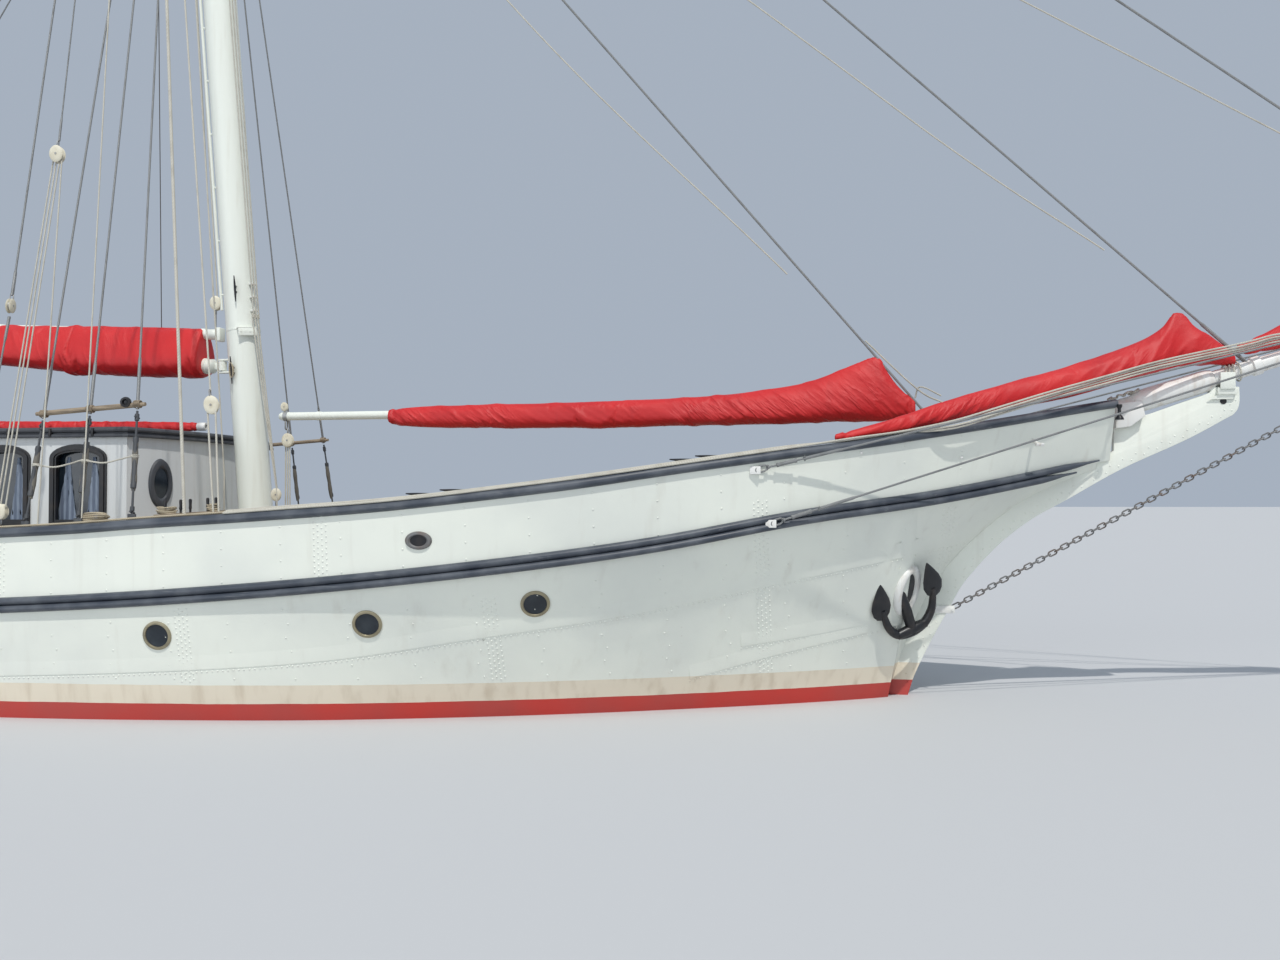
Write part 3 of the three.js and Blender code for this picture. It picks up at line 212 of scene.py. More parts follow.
def coat(made, color, roughness, height=None, **fixed):
    """Ends a material: its shader, with colour, roughness, height in metres, and fixed sockets by name."""
    tree = Value(made.node_tree)
    bump = None
    if height:
        bump = tree.node("Bump", None, {"Strength": 1.0, "Distance": 1.0, "Height": height})
    inputs = {"Base Color": color, "Roughness": roughness, "Normal": bump}
    inputs.update({key.replace("_", " "): value for key, value in fixed.items()})
    shader = tree.node("BsdfPrincipled", None, inputs)
    out = made.node_tree.nodes.new("ShaderNodeOutputMaterial")
    made.node_tree.links.new(shader.socket, out.inputs["Surface"])
    return made


print("sums add Math nodes:", sorted(n for n in dir(Value) if n.startswith("__r")))

# %% [markdown]
# ## Paint on steel
# The topsides are white enamel over old plating. It is never one white: broad clouds of chalking,
# faint runs under the rails, freckles of rust, and plates that are dished a little between frames.
# A red boot top and a cream line run round the waterline. Every height below is in metres.

# %% Paints
WHITE, CHALK = (0.79, 0.815, 0.735), (0.68, 0.705, 0.655)
CREAM, BOOT_RED, ANTIFOUL = (0.74, 0.67, 0.54), (0.55, 0.035, 0.025), (0.27, 0.04, 0.028)
RUST = (0.30, 0.13, 0.06)
BOOT_TOP, CREAM_TOP = 0.18, 0.38


def topside_paint():
    made, p, x, y, z = start("topside_paint")
    cloud, runs = p.noise(0.7, 5), p.times((7, 7, 0.4)).noise(1.0, 4)
    line = z + p.noise(3.0, 2) * 0.012 - 0.006
    low = 1 - z.from_to(0.3, 2.4)
    white = (cloud.from_to(0.38, 0.72) * 0.75).mix(WHITE, CHALK)
    white = (runs.from_to(0.55, 0.85) * 0.30).mix(white, (0.50, 0.47, 0.40))
    freckle = p.noise(23, 6, 0.7).from_to(0.66, 0.74) * (0.15 + low * 0.45) * cloud.from_to(0.4, 0.65)
    white = freckle.mix(white, RUST)
    cream = (runs.from_to(0.45, 0.8) * 0.5).mix(CREAM, (0.45, 0.36, 0.25))
    boot = cloud.from_to(0.3, 0.7).mix(BOOT_RED, (0.42, 0.06, 0.05))
    color = (line > CREAM_TOP).mix(cream, white)
    color = (line > BOOT_TOP).mix(boot, color)
    color = (line > 0.0).mix(ANTIFOUL, color)
    rough = 0.30 + cloud * 0.22 + runs * 0.1
    dish = p.times((1.7, 1, 1.3)).noise(1.0, 2) * 0.016 + p.noise(7, 2) * 0.0012 + p.noise(90, 2) * 0.00012
    return coat(made, color, rough, dish)


def gloss_paint(name, color, stain, share=0.5, rough=0.28):
    """Brushed gloss paint, with long runs of a stain down it."""
    made, p, x, y, z = start(name)
    runs, cloud = p.times((14, 14, 0.5)).noise(1.0, 4), p.noise(2.2, 4)
    mask = runs.from_to(0.48, 0.82) * share * cloud.from_to(0.25, 0.7)
    chips = p.noise(31, 5, 0.65).from_to(0.70, 0.76) * 0.5
    shade = chips.mix(mask.mix(color, stain), RUST)
    height = p.times((60, 60, 6)).noise(1.0, 2) * 0.0003 + p.noise(5, 2) * 0.0008
    return coat(made, shade, rough + cloud * 0.2 + chips * 0.3, height)


def enamel_grey():
    """The blue-grey enamel of rails and strakes, dusty in patches and scuffed by ropes."""
    made, p, *_ = start("enamel_grey")
    dust, scuff = p.noise(3.2, 5), p.times((2.5, 30, 30)).noise(1.0, 4)
    color = dust.from_to(0.35, 0.75).mix((0.040, 0.050, 0.068), (0.105, 0.118, 0.138))
    color = (scuff.from_to(0.62, 0.80) * 0.55).mix(color, (0.24, 0.25, 0.26))
    return coat(made, color, 0.34 + dust * 0.25, p.noise(9, 3) * 0.003 + p.noise(120, 2) * 0.0002)


def antifouling():
    made, p, *_ = start("antifouling")
    cloud = p.noise(1.6, 6)
    color = cloud.from_to(0.3, 0.75).mix(ANTIFOUL, (0.36, 0.10, 0.07))
    return coat(made, color, 0.75 + cloud * 0.15, p.noise(40, 4) * 0.0012)


TOPSIDE = (topside_paint(), "hull")
MAST_WHITE = (gloss_paint("mast_white", (0.80, 0.83, 0.76), (0.62, 0.60, 0.50)), "white")
FITTING_WHITE = (gloss_paint("fitting_white", (0.76, 0.76, 0.73), (0.42, 0.30, 0.19), 0.8, 0.35), "white")
HOUSE_WHITE = (gloss_paint("house_white", (0.66, 0.68, 0.68), (0.45, 0.43, 0.38), 0.5, 0.4), "white")
ENAMEL = (enamel_grey(), "grey")
ROOF = (gloss_paint("roof_grey", (0.055, 0.060, 0.070), (0.13, 0.13, 0.13), 0.6, 0.45), "grey")
BOTTOM = (antifouling(), "antifoul")
print("paints made:", len(bpy.data.materials))

# %% [markdown]
# ## Wood
# Three woods are met on deck. The deck is laid in narrow teak planks with black seams between them,
# the doors, wheel and hatch are varnished, and the bars in the rigging have gone grey in the sun.

# %% Woods
PLANK, SEAM = 0.075, 0.006


def deck_teak():
    made, p, x, y, z = start("deck_teak")
    row = y / PLANK
    own = row.math("FLOOR")
    chance = own.node("TexWhiteNoise", {"noise_dimensions": "1D"}, {"W": own})
    across, along = row.part(), ((x + chance * 5) / 4.2).part()
    seam = (across < SEAM / PLANK) + (along < 0.0015)
    grain = p.times((1.5, 55, 55)).noise(1.0, 5)
    wood = (chance * 0.8).mix((0.30, 0.235, 0.165), (0.40, 0.335, 0.25))
    wood = (grain.from_to(0.4, 0.8) * 0.6).mix(wood, (0.19, 0.15, 0.115))
    worn = p.noise(1.1, 5).from_to(0.45, 0.75)
    wood = (worn * 0.5).mix(wood, (0.44, 0.40, 0.34))
    color = seam.mix(wood, (0.018, 0.017, 0.016))
    return coat(made, color, 0.62 + grain * 0.25, grain * 0.0009 - seam * 0.002)


def long_grain(name, light, dark, stretch, rough, coat_weight):
    made, p, x, y, z = start(name)
    figure = p.times(stretch).noise(1.0, 5, 0.6)
    cloud = p.noise(3, 3)
    color = figure.from_to(0.35, 0.72).mix(light, dark)
    color = (cloud.from_to(0.5, 0.8) * 0.4).mix(color, dark)
    return coat(made, color, rough + figure * 0.15, figure * 0.0006, Coat_Weight=coat_weight, Coat_Roughness=0.12)


VARNISH_COLORS = (0.33, 0.145, 0.045), (0.17, 0.062, 0.020)
GREY_WOOD_COLORS = (0.34, 0.27, 0.19), (0.17, 0.135, 0.10)
TEAK = (deck_teak(), "teak")
VARNISH = (long_grain("varnished_wood", *VARNISH_COLORS, (30, 30, 3), 0.28, 0.6), "varnish")
GREY_WOOD = (long_grain("silvered_wood", *GREY_WOOD_COLORS, (4, 45, 45), 0.7, 0.0), "teak")
print("planks", PLANK, "m wide")

# %% [markdown]
# ## Cloth, rope and metal
# The covers are red acrylic canvas, faded in patches, with a fine weave. A rope's lay is drawn from
# its own map, which counts turns round it and metres along it, so the strands twist with the rope.

# %% Cloth, rope and metal
def red_canvas(name, slant, crease):
    """Canvas with fine slanting creases: slant is which way they lean, crease their depth in metres."""
    made, p, x, y, z = start(name)
    faded, soil = p.noise(1.3, 4), p.times((6, 6, 1.5)).noise(1.0, 5)
    across, along = x * 6.5 + z * (6.0 * slant), x * 0.9 - z * (1.1 * slant)
    place = x.node("CombineXYZ", None, {0: across, 1: along, 2: y * 4})
    fold = place.noise(0.8, 4, 0.5)
    sharp = (1 - (fold * 2 - 1).math("ABSOLUTE") * 2.6).math("MAXIMUM", 0).math("POWER", 2.0)
    patch = p.noise(1.1, 2).from_to(0.35, 0.62)
    color = faded.from_to(0.3, 0.72).mix((0.50, 0.007, 0.010), (0.60, 0.015, 0.016))
    color = (soil.from_to(0.55, 0.85) * 0.35).mix(color, (0.26, 0.010, 0.014))
    # The crease ridges are painted a lighter red: a painted highlight where the folds catch the light.
    color = (sharp * patch * 0.16).mix(color, (0.70, 0.05, 0.05))
    turn = 2 * math.pi / 0.004
    weave = (x * turn).math("SINE") * ((z + y) * turn).math("SINE")
    height = sharp * patch * crease + p.times((5, 9, 9)).noise(1.0, 4, 0.55) * 0.006
    height = height + p.noise(38, 3) * 0.0010 + weave * 0.00010
    return coat(made, color, 0.46 + faded * 0.18, height, Sheen_Weight=0.06, Sheen_Roughness=0.4)


def laid(name, light, dark, strands, pitch, metal, rough):
    """Rope or wire: strands is how many, pitch the length in which they turn once."""
    made, p, x, y, z = start(name)
    uv = p.node("TexCoord", None, None, out=2)
    around, along = (p.node("SeparateXYZ", None, {0: uv}, out=i) for i in range(2))
    phase = (around * strands + along * (strands / pitch)).part()
    crown = 1 - (phase * 2 - 1).math("ABSOLUTE")
    cloud = p.noise(6, 4)
    # Each strand is painted light on its crown and dark in the grooves between strands: painted light and shade.
    color = crown.from_to(0.05, 0.6).mix(dark, light)
    color = (cloud.from_to(0.45, 0.75) * 0.35).mix(color, dark)
    return coat(made, color, rough, crown * 0.0022, Metallic=metal)


def metal(name, color, tarnish, rough, metallic=1.0, share=0.6):
    made, p, x, y, z = start(name)
    cloud, spot = p.noise(8, 5), p.noise(37, 4)
    mask = cloud.from_to(0.42, 0.75) * share
    return coat(made, mask.mix(color, tarnish), rough + cloud * 0.25, spot * 0.0006, Metallic=metallic)


def glazing():
    made, p, *_ = start("glass_over_room_shade")
    smear = p.noise(5, 4)
    # The panes are opaque and nearly black: painted shade for the unlit rooms behind them, with lighter smears on the
    # glass.
    color = smear.from_to(0.4, 0.8).mix((0.010, 0.016, 0.024), (0.030, 0.040, 0.050))
    return coat(made, color, 0.04 + smear * 0.07, p.noise(1.5, 1) * 0.004, IOR=1.5)


def curtain_cloth():
    made, p, x, y, z = start("curtain")
    fold = (x * 90).math("SINE")
    # The folds are painted in dark and light stripes: painted shade and light on the folds.
    color = (fold * 0.5 + 0.5).mix((0.12, 0.15, 0.21), (0.24, 0.29, 0.37))
    return coat(made, color, 0.9, fold * 0.006)


CANVAS = (red_canvas("boom_canvas", 0.5, 0.008), "red")
STAYSAIL_CANVAS = (red_canvas("staysail_canvas", 1.2, 0.011), "red")
JIB_CANVAS = (red_canvas("jib_canvas", -0.9, 0.010), "red")
OLD_CANVAS = (gloss_paint("old_canvas", (0.15, 0.14, 0.12), (0.30, 0.27, 0.21), 0.8, 0.8), "grey")
SCREW_GREY = (gloss_paint("screw_grey", (0.055, 0.060, 0.068), (0.20, 0.19, 0.17), 0.7, 0.5), "steel")
WIRE_ROPE = (laid("wire_rope", (0.34, 0.35, 0.35), (0.085, 0.085, 0.085), 6, 0.075, 0.3, 0.5), "steel")
HEMP = (laid("hemp_rope", (0.56, 0.49, 0.36), (0.21, 0.165, 0.105), 3, 0.075, 0.0, 0.9), "teak")
PALE_ROPE = (laid("pale_rope", (0.66, 0.64, 0.56), (0.28, 0.26, 0.21), 3, 0.05, 0.0, 0.85), "teak")
TARRED = (laid("tarred_rope", (0.10, 0.09, 0.085), (0.022, 0.02, 0.02), 3, 0.05, 0.0, 0.85), "black")
GALVANISED = (metal("galvanised", (0.42, 0.43, 0.43), (0.24, 0.20, 0.16), 0.42, 0.75), "steel")
CHAIN_IRON = (metal("chain_iron", (0.20, 0.20, 0.20), (0.17, 0.09, 0.05), 0.5, 0.5), "steel")
BLACK_IRON = (metal("black_iron", (0.012, 0.013, 0.016), (0.045, 0.035, 0.030), 0.28, 0.1), "black")
BRONZE = (metal("bronze", (0.52, 0.31, 0.12), (0.16, 0.19, 0.13), 0.3, 1.0, 0.4), "bronze")
BRASS = (metal("brass", (0.36, 0.32, 0.22), (0.20, 0.19, 0.16), 0.4, 0.8, 0.5), "bronze")
BLOCK_SHELL = (metal("block_shell", (0.72, 0.68, 0.55), (0.48, 0.42, 0.30), 0.45, 0.0), "white")
GLASS = (glazing(), "glass")
CURTAIN = (curtain_cloth(), "white")
print("finishes made:", len(bpy.data.materials))

# %% [markdown]
# ## Tools for shapes
# Most of a ship is a row of sections with a skin over them: a hull, a rail, a spar, a rope, a sail
# in its cover. So one helper lays a grid over a row of rings, and the rest of the tools are small.

# %% Skins, bars, turned and sawn shapes
def skin(bm, rings, closed=True, caps=True):
    """Lays a grid over rows of points in bm, and gives its vertices. Its map is in metres."""
    rings = np.asarray(rings, float)
    if closed:
        rings = np.concatenate([rings, rings[:, :1]], axis=1)
    rows, columns = rings.shape[:2]
    made = bmesh.ops.create_grid(bm, x_segments=columns - 1, y_segments=rows - 1, size=1)["verts"]
    uv = bm.loops.layers.uv.verify()
    steps = np.linalg.norm(np.diff(rings, axis=0), axis=2).mean(axis=1)
    along = np.concatenate([[0], np.cumsum(steps)])
    spot = {}
    for v in made:
        column = round((v.co.x + 1) / 2 * (columns - 1))
        row = round((v.co.y + 1) / 2 * (rows - 1))
        spot[v] = (row, column)
        v.co = rings[row, column]
    faces = {f for v in made for f in v.link_faces}
    for f in faces:
        for loop in f.loops:
            row, column = spot[loop.vert]
            loop[uv].uv = (column / (columns - 1), along[row])
    bmesh.ops.remove_doubles(bm, verts=made, dist=1e-5)
    made = [v for v in made if v.is_valid]
    if caps:
        edges = {e for v in made for e in v.link_edges if e.is_boundary}
        bmesh.ops.holes_fill(bm, edges=list(edges), sides=0)
    faces = {f for v in made for f in v.link_faces}
    bmesh.ops.recalc_face_normals(bm, faces=list(faces))
    return made


def unit(v):
    v = np.asarray(v, float)
    return v / max(np.linalg.norm(v), 1e-12)


def around(points, radius, sides=8):
    """Rings round a path; radius is one number, or one for each point."""
    p = np.asarray(points, float)
    along = np.gradient(p, axis=0)
    radii = np.broadcast_to(radius, len(p))
    turns = 2 * math.pi * np.arange(sides) / sides
    across = unit(np.cross(along[0], (0, 0, 1) if abs(unit(along[0])[2]) < 0.95 else (1, 0, 0)))
    rings = []
    for spot, tangent, r in zip(p, along, radii):
        tangent = unit(tangent)
        across = unit(across - tangent * np.dot(across, tangent))
        rise = np.cross(tangent, across)
        rings.append(spot + r * (np.outer(np.cos(turns), across) + np.outer(np.sin(turns), rise)))
    return np.array(rings)


def bar(bm, a, b, radius, end_radius=None, sides=8, steps=1):
    """A round bar from a to b."""
    share = np.linspace(0, 1, steps + 1)[:, None]
    points = np.asarray(a, float) * (1 - share) + np.asarray(b, float) * share
    radii = np.linspace(radius, radius if end_radius is None else end_radius, steps + 1)
    return skin(bm, around(points, radii, sides))


def smooth_path(points, steps=8):
    """A smooth line through a few points."""
    p = np.asarray(points, float)
    if len(p) < 3:
        return np.linspace(p[0], p[-1], steps + 1)
    padded = np.vstack([2 * p[0] - p[1], p, 2 * p[-1] - p[-2]])
    out = []
    for i in range(len(p) - 1):
        a, b, c, d = padded[i:i + 4]
        for t in np.arange(steps) / steps:
            out.append(0.5 * (2 * b + (c - a) * t + (2 * a - 5 * b + 4 * c - d) * t**2
                              + (3 * b - a - 3 * c + d) * t**3))
    return np.vstack([out, p[-1]])


def hang(a, b, sag, steps=12):
    """A rope's line from a to b, sagging in the middle."""
    t = np.linspace(0, 1, steps + 1)[:, None]
    line = np.asarray(a, float) * (1 - t) + np.asarray(b, float) * t
    line[:, 2] -= sag * 4 * (t * (1 - t))[:, 0]
    return line


def turned(bm, profile, place=None, steps=24):
    """A turned shape: (radius, height) pairs spun round z, then placed."""
    verts = [bm.verts.new((r, 0, h)) for r, h in profile]
    edges = [bm.edges.new(pair) for pair in zip(verts, verts[1:])]
    spin = {"cent": (0, 0, 0), "axis": (0, 0, 1), "angle": 2 * math.pi, "steps": steps}
    before = set(bm.verts) - set(verts)
    bmesh.ops.spin(bm, geom=verts + edges, use_merge=True, **spin)
    made = [v for v in bm.verts if v not in before]
    bmesh.ops.remove_doubles(bm, verts=made, dist=1e-5)
    made = [v for v in made if v.is_valid]
    bmesh.ops.recalc_face_normals(bm, faces=list({f for v in made for f in v.link_faces}))
    if place is not None:
        bmesh.ops.transform(bm, matrix=place, verts=made)
    return made


def bevel(bm, verts, width, segments=2):
    faces = {f for v in verts if v.is_valid for f in v.link_faces}
    edges = {e for f in faces for e in f.edges if not e.is_boundary and e.calc_face_angle(0) > 0.5}
    corners = {"affect": "EDGES", "profile": 0.5, "material": -1, "clamp_overlap": True}
    bmesh.ops.bevel(bm, geom=list(edges), offset=width, segments=segments, **corners)


def block(bm, low, high, edge=0.006, place=None):
    """A sawn block with its edges eased."""
    low, high = Vector(low), Vector(high)
    made = bmesh.ops.create_cube(bm, size=1)["verts"]
    bmesh.ops.scale(bm, vec=high - low, verts=made)
    bmesh.ops.translate(bm, vec=(low + high) / 2, verts=made)
    if place is not None:
        bmesh.ops.transform(bm, matrix=place, verts=made)
    if edge:
        bevel(bm, made, edge)


def slab(bm, outline, thick, place, edge=0.0):
    """A plate cut to an outline in a plane, with its thickness centred on the plane."""
    verts = [bm.verts.new((u, v, -thick / 2)) for u, v in outline]
    face = bm.faces.new(verts)
    grown = bmesh.ops.extrude_face_region(bm, geom=[face])["geom"]
    top = [g for g in grown if isinstance(g, bmesh.types.BMVert)]
    bmesh.ops.translate(bm, vec=(0, 0, thick), verts=top)
    made = verts + top
    bmesh.ops.recalc_face_normals(bm, faces=list({f for v in made for f in v.link_faces}))
    bmesh.ops.transform(bm, matrix=place, verts=made)
    if edge:
        bevel(bm, made, edge)


def frame_at(spot, x_axis, y_axis, z_axis):
    """A place whose own axes point along three directions."""
    made = Matrix.Identity(4)
    for column, axis in enumerate((x_axis, y_axis, z_axis, spot)):
        for row in range(3):
            made[row][column] = axis[row]
    return made


def facing(spot, normal, up=(0, 0, 1)):
    """A place on a surface: z out along its normal, y as near up as it can be."""
    out = unit(normal)
    right = unit(np.cross(up, out))
    return frame_at(spot, right, np.cross(out, right), out)


XZ = Matrix(((1, 0, 0, 0), (0, 0, -1, 0), (0, 1, 0, 0), (0, 0, 0, 1)))  # a plan [u, v] becomes x, z


def XZ_AT(y):
    return Matrix.Translation((0, y, 0)) @ XZ


ROOT = "hull"


def piece(bm, name, finish, body=ROOT, sharp=38, replaces=()):
    """Makes a bmesh a finished piece that rides on a body; with no body it rides on none."""
    mesh = bpy.data.meshes.new(name)
    bm.to_mesh(mesh)
    bm.free()
    mesh.polygons.foreach_set("use_smooth", [True] * len(mesh.polygons))
    mesh.set_sharp_from_angle(angle=math.radians(sharp))
    mesh.materials.append(finish[0])
    made = bpy.data.objects.new(name, mesh)
    scene.collection.objects.link(made)
    if body:
        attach(made, body)
    if replaces:
        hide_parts(*replaces)
    return made


def on_one_side(build, name, finish, side, sign, body=ROOT, sharp=38, replaces=()):
    """A piece that is built to starboard, and mirrored to port where sign is -1."""
    bm = bmesh.new()
    build(bm)
    bmesh.ops.scale(bm, vec=(1, sign, 1), verts=bm.verts)
    if sign < 0:
        bmesh.ops.reverse_faces(bm, faces=bm.faces)
    piece(bm, f"{name}_{side}", finish, body, sharp, [f"{r}_{side}" for r in replaces])


def both_sides(build, name, finish, body=ROOT, sharp=38, replaces=()):
    """The same piece to starboard and mirrored to port. replaces are names that end in the side."""
    for side, sign in (("starboard", 1), ("port", -1)):
        on_one_side(build, name, finish, side, sign, body, sharp, replaces)


def single(build, name, finish, body=ROOT, sharp=38, replaces=()):
    """One piece, built by one function."""
    bm = bmesh.new()
    build(bm)
    return piece(bm, name, finish, body, sharp, replaces)


def many(bm, shape, places):
    """Copies a small shape to many places."""
    mesh = bpy.data.meshes.new("one")
    one = bmesh.new()
    shape(one)
    one.to_mesh(mesh)
    one.free()
    for place in places:
        copy = mesh.copy()
        copy.transform(place)
        bm.from_mesh(copy)
        bpy.data.meshes.remove(copy)
    bpy.data.meshes.remove(mesh)


print("tools ready")

# %% [markdown]
# ## The lines of the hull
# A ship's drawing gives sections at stations along her length. The solids are skinned straight from
# one section to the next. Here the same sections are joined by smooth curves that never overshoot,
# as a batten bent through the stations does, so the painted side has no facets.

# %% Sections and the smooth lines through them
HALF_STEM, DECK_THICK, BULWARK_THICK, RAIL_THICK = 0.06, 0.045, 0.06, 0.1
COLUMNS = ("x", "low", "bw", "bd", "br", "p", "q", "k", "h")
SECTIONS = [
    (-15325, 1720, 0, 170, 220, 1, 1, 0.4, 640), (-15318, 1680, 0, 370, 425, 1, 1, 0.4, 640),
    (-15300, 1640, 0, 500, 560, 1, 1, 0.4, 640), (-15180, 1450, 0, 950, 1010, 1, 1, 0.42, 640),
    (-14900, 1210, 0, 1400, 1450, 1, 1, 0.45, 640), (-14400, 900, 0, 1830, 1870, 1, 1, 0.47, 650),
    (-13600, 520, 0, 2210, 2240, 1, 1, 0.5, 658), (-12600, 110, 0, 2470, 2490, 1, 1, 0.52, 672),
    (-12000, -120, 900, 2600, 2610, 1.2, 0.8, 0.6, 678),
    (-11200, -430, 1480, 2730, 2740, 1.2, 0.9, 0.6, 688),
    (-10305, -720, 1900, 2840, 2850, 1.2, 1, 0.6, 688),
    (-10280, -2650, 1910, 2843, 2853, 0.75, 2.6, 0.6, 688),
    (-9000, -2640, 2300, 2960, 2970, 0.95, 1.9, 0.6, 688),
    (-7500, -2620, 2650, 3060, 3070, 1.15, 1.55, 0.6, 688),
    (-5500, -2600, 2920, 3160, 3160, 1.35, 1.3, 0.7, 688),
    (-3000, -2580, 3060, 3220, 3220, 1.5, 1.1, 0.7, 688),
    (0, -2550, 3110, 3250, 3250, 1.55, 1.05, 0.7, 688),
    (2500, -2520, 3090, 3245, 3245, 1.5, 1.05, 0.7, 688),
    (3900, -2500, 3010, 3220, 3225, 1.45, 1.08, 0.8, 686),
    (4700, -2490, 2920, 3190, 3205, 1.4, 1.1, 0.8, 694),
    (6000, -2470, 2720, 3110, 3150, 1.3, 1.15, 0.9, 676),
    (7500, -2440, 2330, 2960, 3030, 1.15, 1.2, 1, 652),
    (8950, -2350, 1830, 2680, 2790, 1.1, 1.15, 1.05, 652),
    (10200, -2070, 1300, 2330, 2450, 1, 1.25, 1.1, 668),
    (11120, -1630, 870, 1960, 2100, 1, 1.3, 1.15, 662),
    (11780, -1000, 520, 1630, 1780, 1, 1.3, 1.15, 645),
    (12100, -450, 330, 1460, 1620, 1, 1.2, 1.15, 640),
    (12250, -20, 230, 1370, 1540, 1, 1, 1.15, 638),
    (12540, 790, 0, 1200, 1390, 1, 1, 1.12, 636), (12940, 1490, 0, 960, 1180, 1, 1, 1.05, 630),
    (13350, 1920, 0, 730, 980, 1, 1, 1, 621), (13750, 2240, 0, 510, 780, 1, 1, 1, 613),
    (14150, 2460, 0, 310, 600, 1, 1, 1, 603), (14600, 2640, 0, 110, 410, 1, 1, 1, 583),
    (14750, 2690, 0, 75, 350, 1, 1, 1, 573),
]
TABLE = np.array(SECTIONS, float)
TABLE[:, [0, 1, 2, 3, 4, 8]] /= 1000
STATIONS = TABLE[:, 0]
UNDER_STEPS = (1, 0.92, 0.76, 0.56, 0.36, 0.17)
OVER_STEPS = (0, 0.33, 0.66, 1)
ROWS_UP = 46  # points from keel to deck edge in a section


def deck_edge(x):
    m = np.asarray(x, float) + 2
    return 1.1 + np.where(m > 0, 0.0024 * np.abs(m) ** 2.316, 0.0045 * m * m)


def section_points(row):
    """Half-breadths and heights from the keel up to the deck edge."""
    x, low, bw, bd, br, p, q, k, h = row
    top = float(deck_edge(x))
    n = len(UNDER_STEPS) + len(OVER_STEPS)
    knots = np.linspace(low, top, n)
    if low < 0:
        knots = np.array([u * low for u in UNDER_STEPS] + [o * top for o in OVER_STEPS])
    z = np.interp(np.linspace(0, n - 1, ROWS_UP), np.arange(n), knots)
    if low >= 0:
        y = HALF_STEM + (bd - HALF_STEM) * ((z - low) / (top - low)) ** k
    else:
        over = bw + (bd - bw) * (np.maximum(z, 0) / top) ** k
        under = HALF_STEM + (bw - HALF_STEM) * (1 - (np.minimum(z, 0) / low) ** p) ** q
        y = np.where(z >= 0, over, under)
    return np.stack([y, z], axis=-1)


def through(xs, rows, x):
    """Smooth values at x through rows that stand at xs, with no overshoot."""
    rows, x = np.asarray(rows, float), np.atleast_1d(np.asarray(x, float))
    gap = np.diff(xs)
    shape = (-1,) + (1,) * (rows.ndim - 1)
    slope = np.diff(rows, axis=0) / gap.reshape(shape)
    one, two = slope[:-1], slope[1:]
    a = (2 * gap[1:] + gap[:-1]).reshape(shape)
    b = (gap[1:] + 2 * gap[:-1]).reshape(shape)
    same = one * two > 0
    safe = np.where(same, a / np.where(same, one, 1) + b / np.where(same, two, 1), 1)
    lean = np.concatenate([slope[:1], np.where(same, (a + b) / safe, 0), slope[-1:]])
    i = np.clip(np.searchsorted(xs, x) - 1, 0, len(gap) - 1)
    g = gap[i].reshape(shape)
    t = ((x - xs[i]) / gap[i]).reshape(shape)
    return (rows[i] * (1 + 2 * t) * (1 - t) ** 2 + lean[i] * g * t * (1 - t) ** 2
            + rows[i + 1] * t * t * (3 - 2 * t) - lean[i + 1] * g * t * t * (1 - t))


POINTS = np.array([section_points(row) for row in TABLE])


def line(x, column):
    """One of the table's columns at any x."""
    return through(STATIONS, TABLE[:, COLUMNS.index(column)], x)


def rail_z(x):
    return deck_edge(x) + line(x, "h")


def side_y(x, z):
    """Half-breadth of the outer plating at a place, up to the rail."""
    deck = float(deck_edge(x))
    bd = line(x, "bd")[0]
    if z > deck:
        return float(bd + (line(x, "br")[0] - bd) * (z - deck) / line(x, "h")[0])
    points = through(STATIONS, POINTS, x)[0]
    return float(np.interp(z, points[:, 1], points[:, 0]))


def on_side(x, z, off=0.0):
    """A place on the starboard plating and its outward normal; off lifts it clear."""
    d = 0.02
    spot = np.array([x, -side_y(x, z), z])
    fore = np.array([x + d, -side_y(x + d, z), z]) - spot
    rise = np.array([x, -side_y(x, z + d), z + d]) - spot
    normal = unit(np.cross(fore, rise))
    if normal[1] > 0:
        normal = -normal
    return spot + normal * off, normal


print("breadth at the middle", round(2 * side_y(0, 1.0), 2), "m")

# %% [markdown]
# ## Hull plating, bulwarks, rails and strakes
# The underwater body, the topsides and the counter are one painted skin. Above the deck edge the
# bulwark carries on upwards, with a broad grey cap rail on it, and a double half-round strake
# covers the joint. Each is a section carried along the same smooth lines.

# %% The hull
STERN_SPLIT, BOW_END, RAIL_END = -12.6, 14.6, 14.75


def stations_between(first, last, step):
    inside = STATIONS[(STATIONS > first) & (STATIONS < last)]
    return np.unique(np.concatenate([np.arange(first, last, step), inside, [last]]).round(4))


def hull_plating(bm):
    xs = stations_between(STATIONS[0], BOW_END, 0.14)
    points = through(STATIONS, POINTS, xs)
    x = np.broadcast_to(xs[:, None], points.shape[:2])
    starboard = np.stack([x, -points[..., 0], points[..., 1]], axis=-1)
    starboard[:, 0, 1] = 0
    port = starboard[:, 1:][:, ::-1] * (1, -1, 1)
    middle = starboard[:, -1:] * (1, 0, 1)
    skin(bm, np.concatenate([starboard, middle, port], axis=1))


plating = bmesh.new()
hull_plating(plating)
piece(plating, "hull_plating", TOPSIDE, sharp=32, replaces=["hull"])


def plan_path(column, lift, first, last, step=0.2):
    """The starboard edge in plan as (x, y, z) points; lift is a function that gives z."""
    xs = stations_between(first, last, step)
    return np.stack([xs, -line(xs, column), lift(xs)], axis=-1)


def evenly(path, step):
    """The same path with its points a step apart."""
    along = np.concatenate([[0], np.cumsum(np.linalg.norm(np.diff(path, axis=0), axis=1))])
    at = np.linspace(0, along[-1], max(2, round(along[-1] / step)))
    return np.stack([np.interp(at, along, path[:, i]) for i in range(3)], axis=-1)


def sweep(path, profile):
    """Rings of a profile of (out, up) pairs along a path; out is square to the path in plan."""
    ahead = np.gradient(path, axis=0)
    out = np.stack([ahead[:, 1], -ahead[:, 0], np.zeros(len(path))], axis=-1)
    out /= np.linalg.norm(out, axis=1, keepdims=True)
    return path[:, None] + np.array([[(o * n[0], o * n[1], u) for o, u in profile] for n in out])


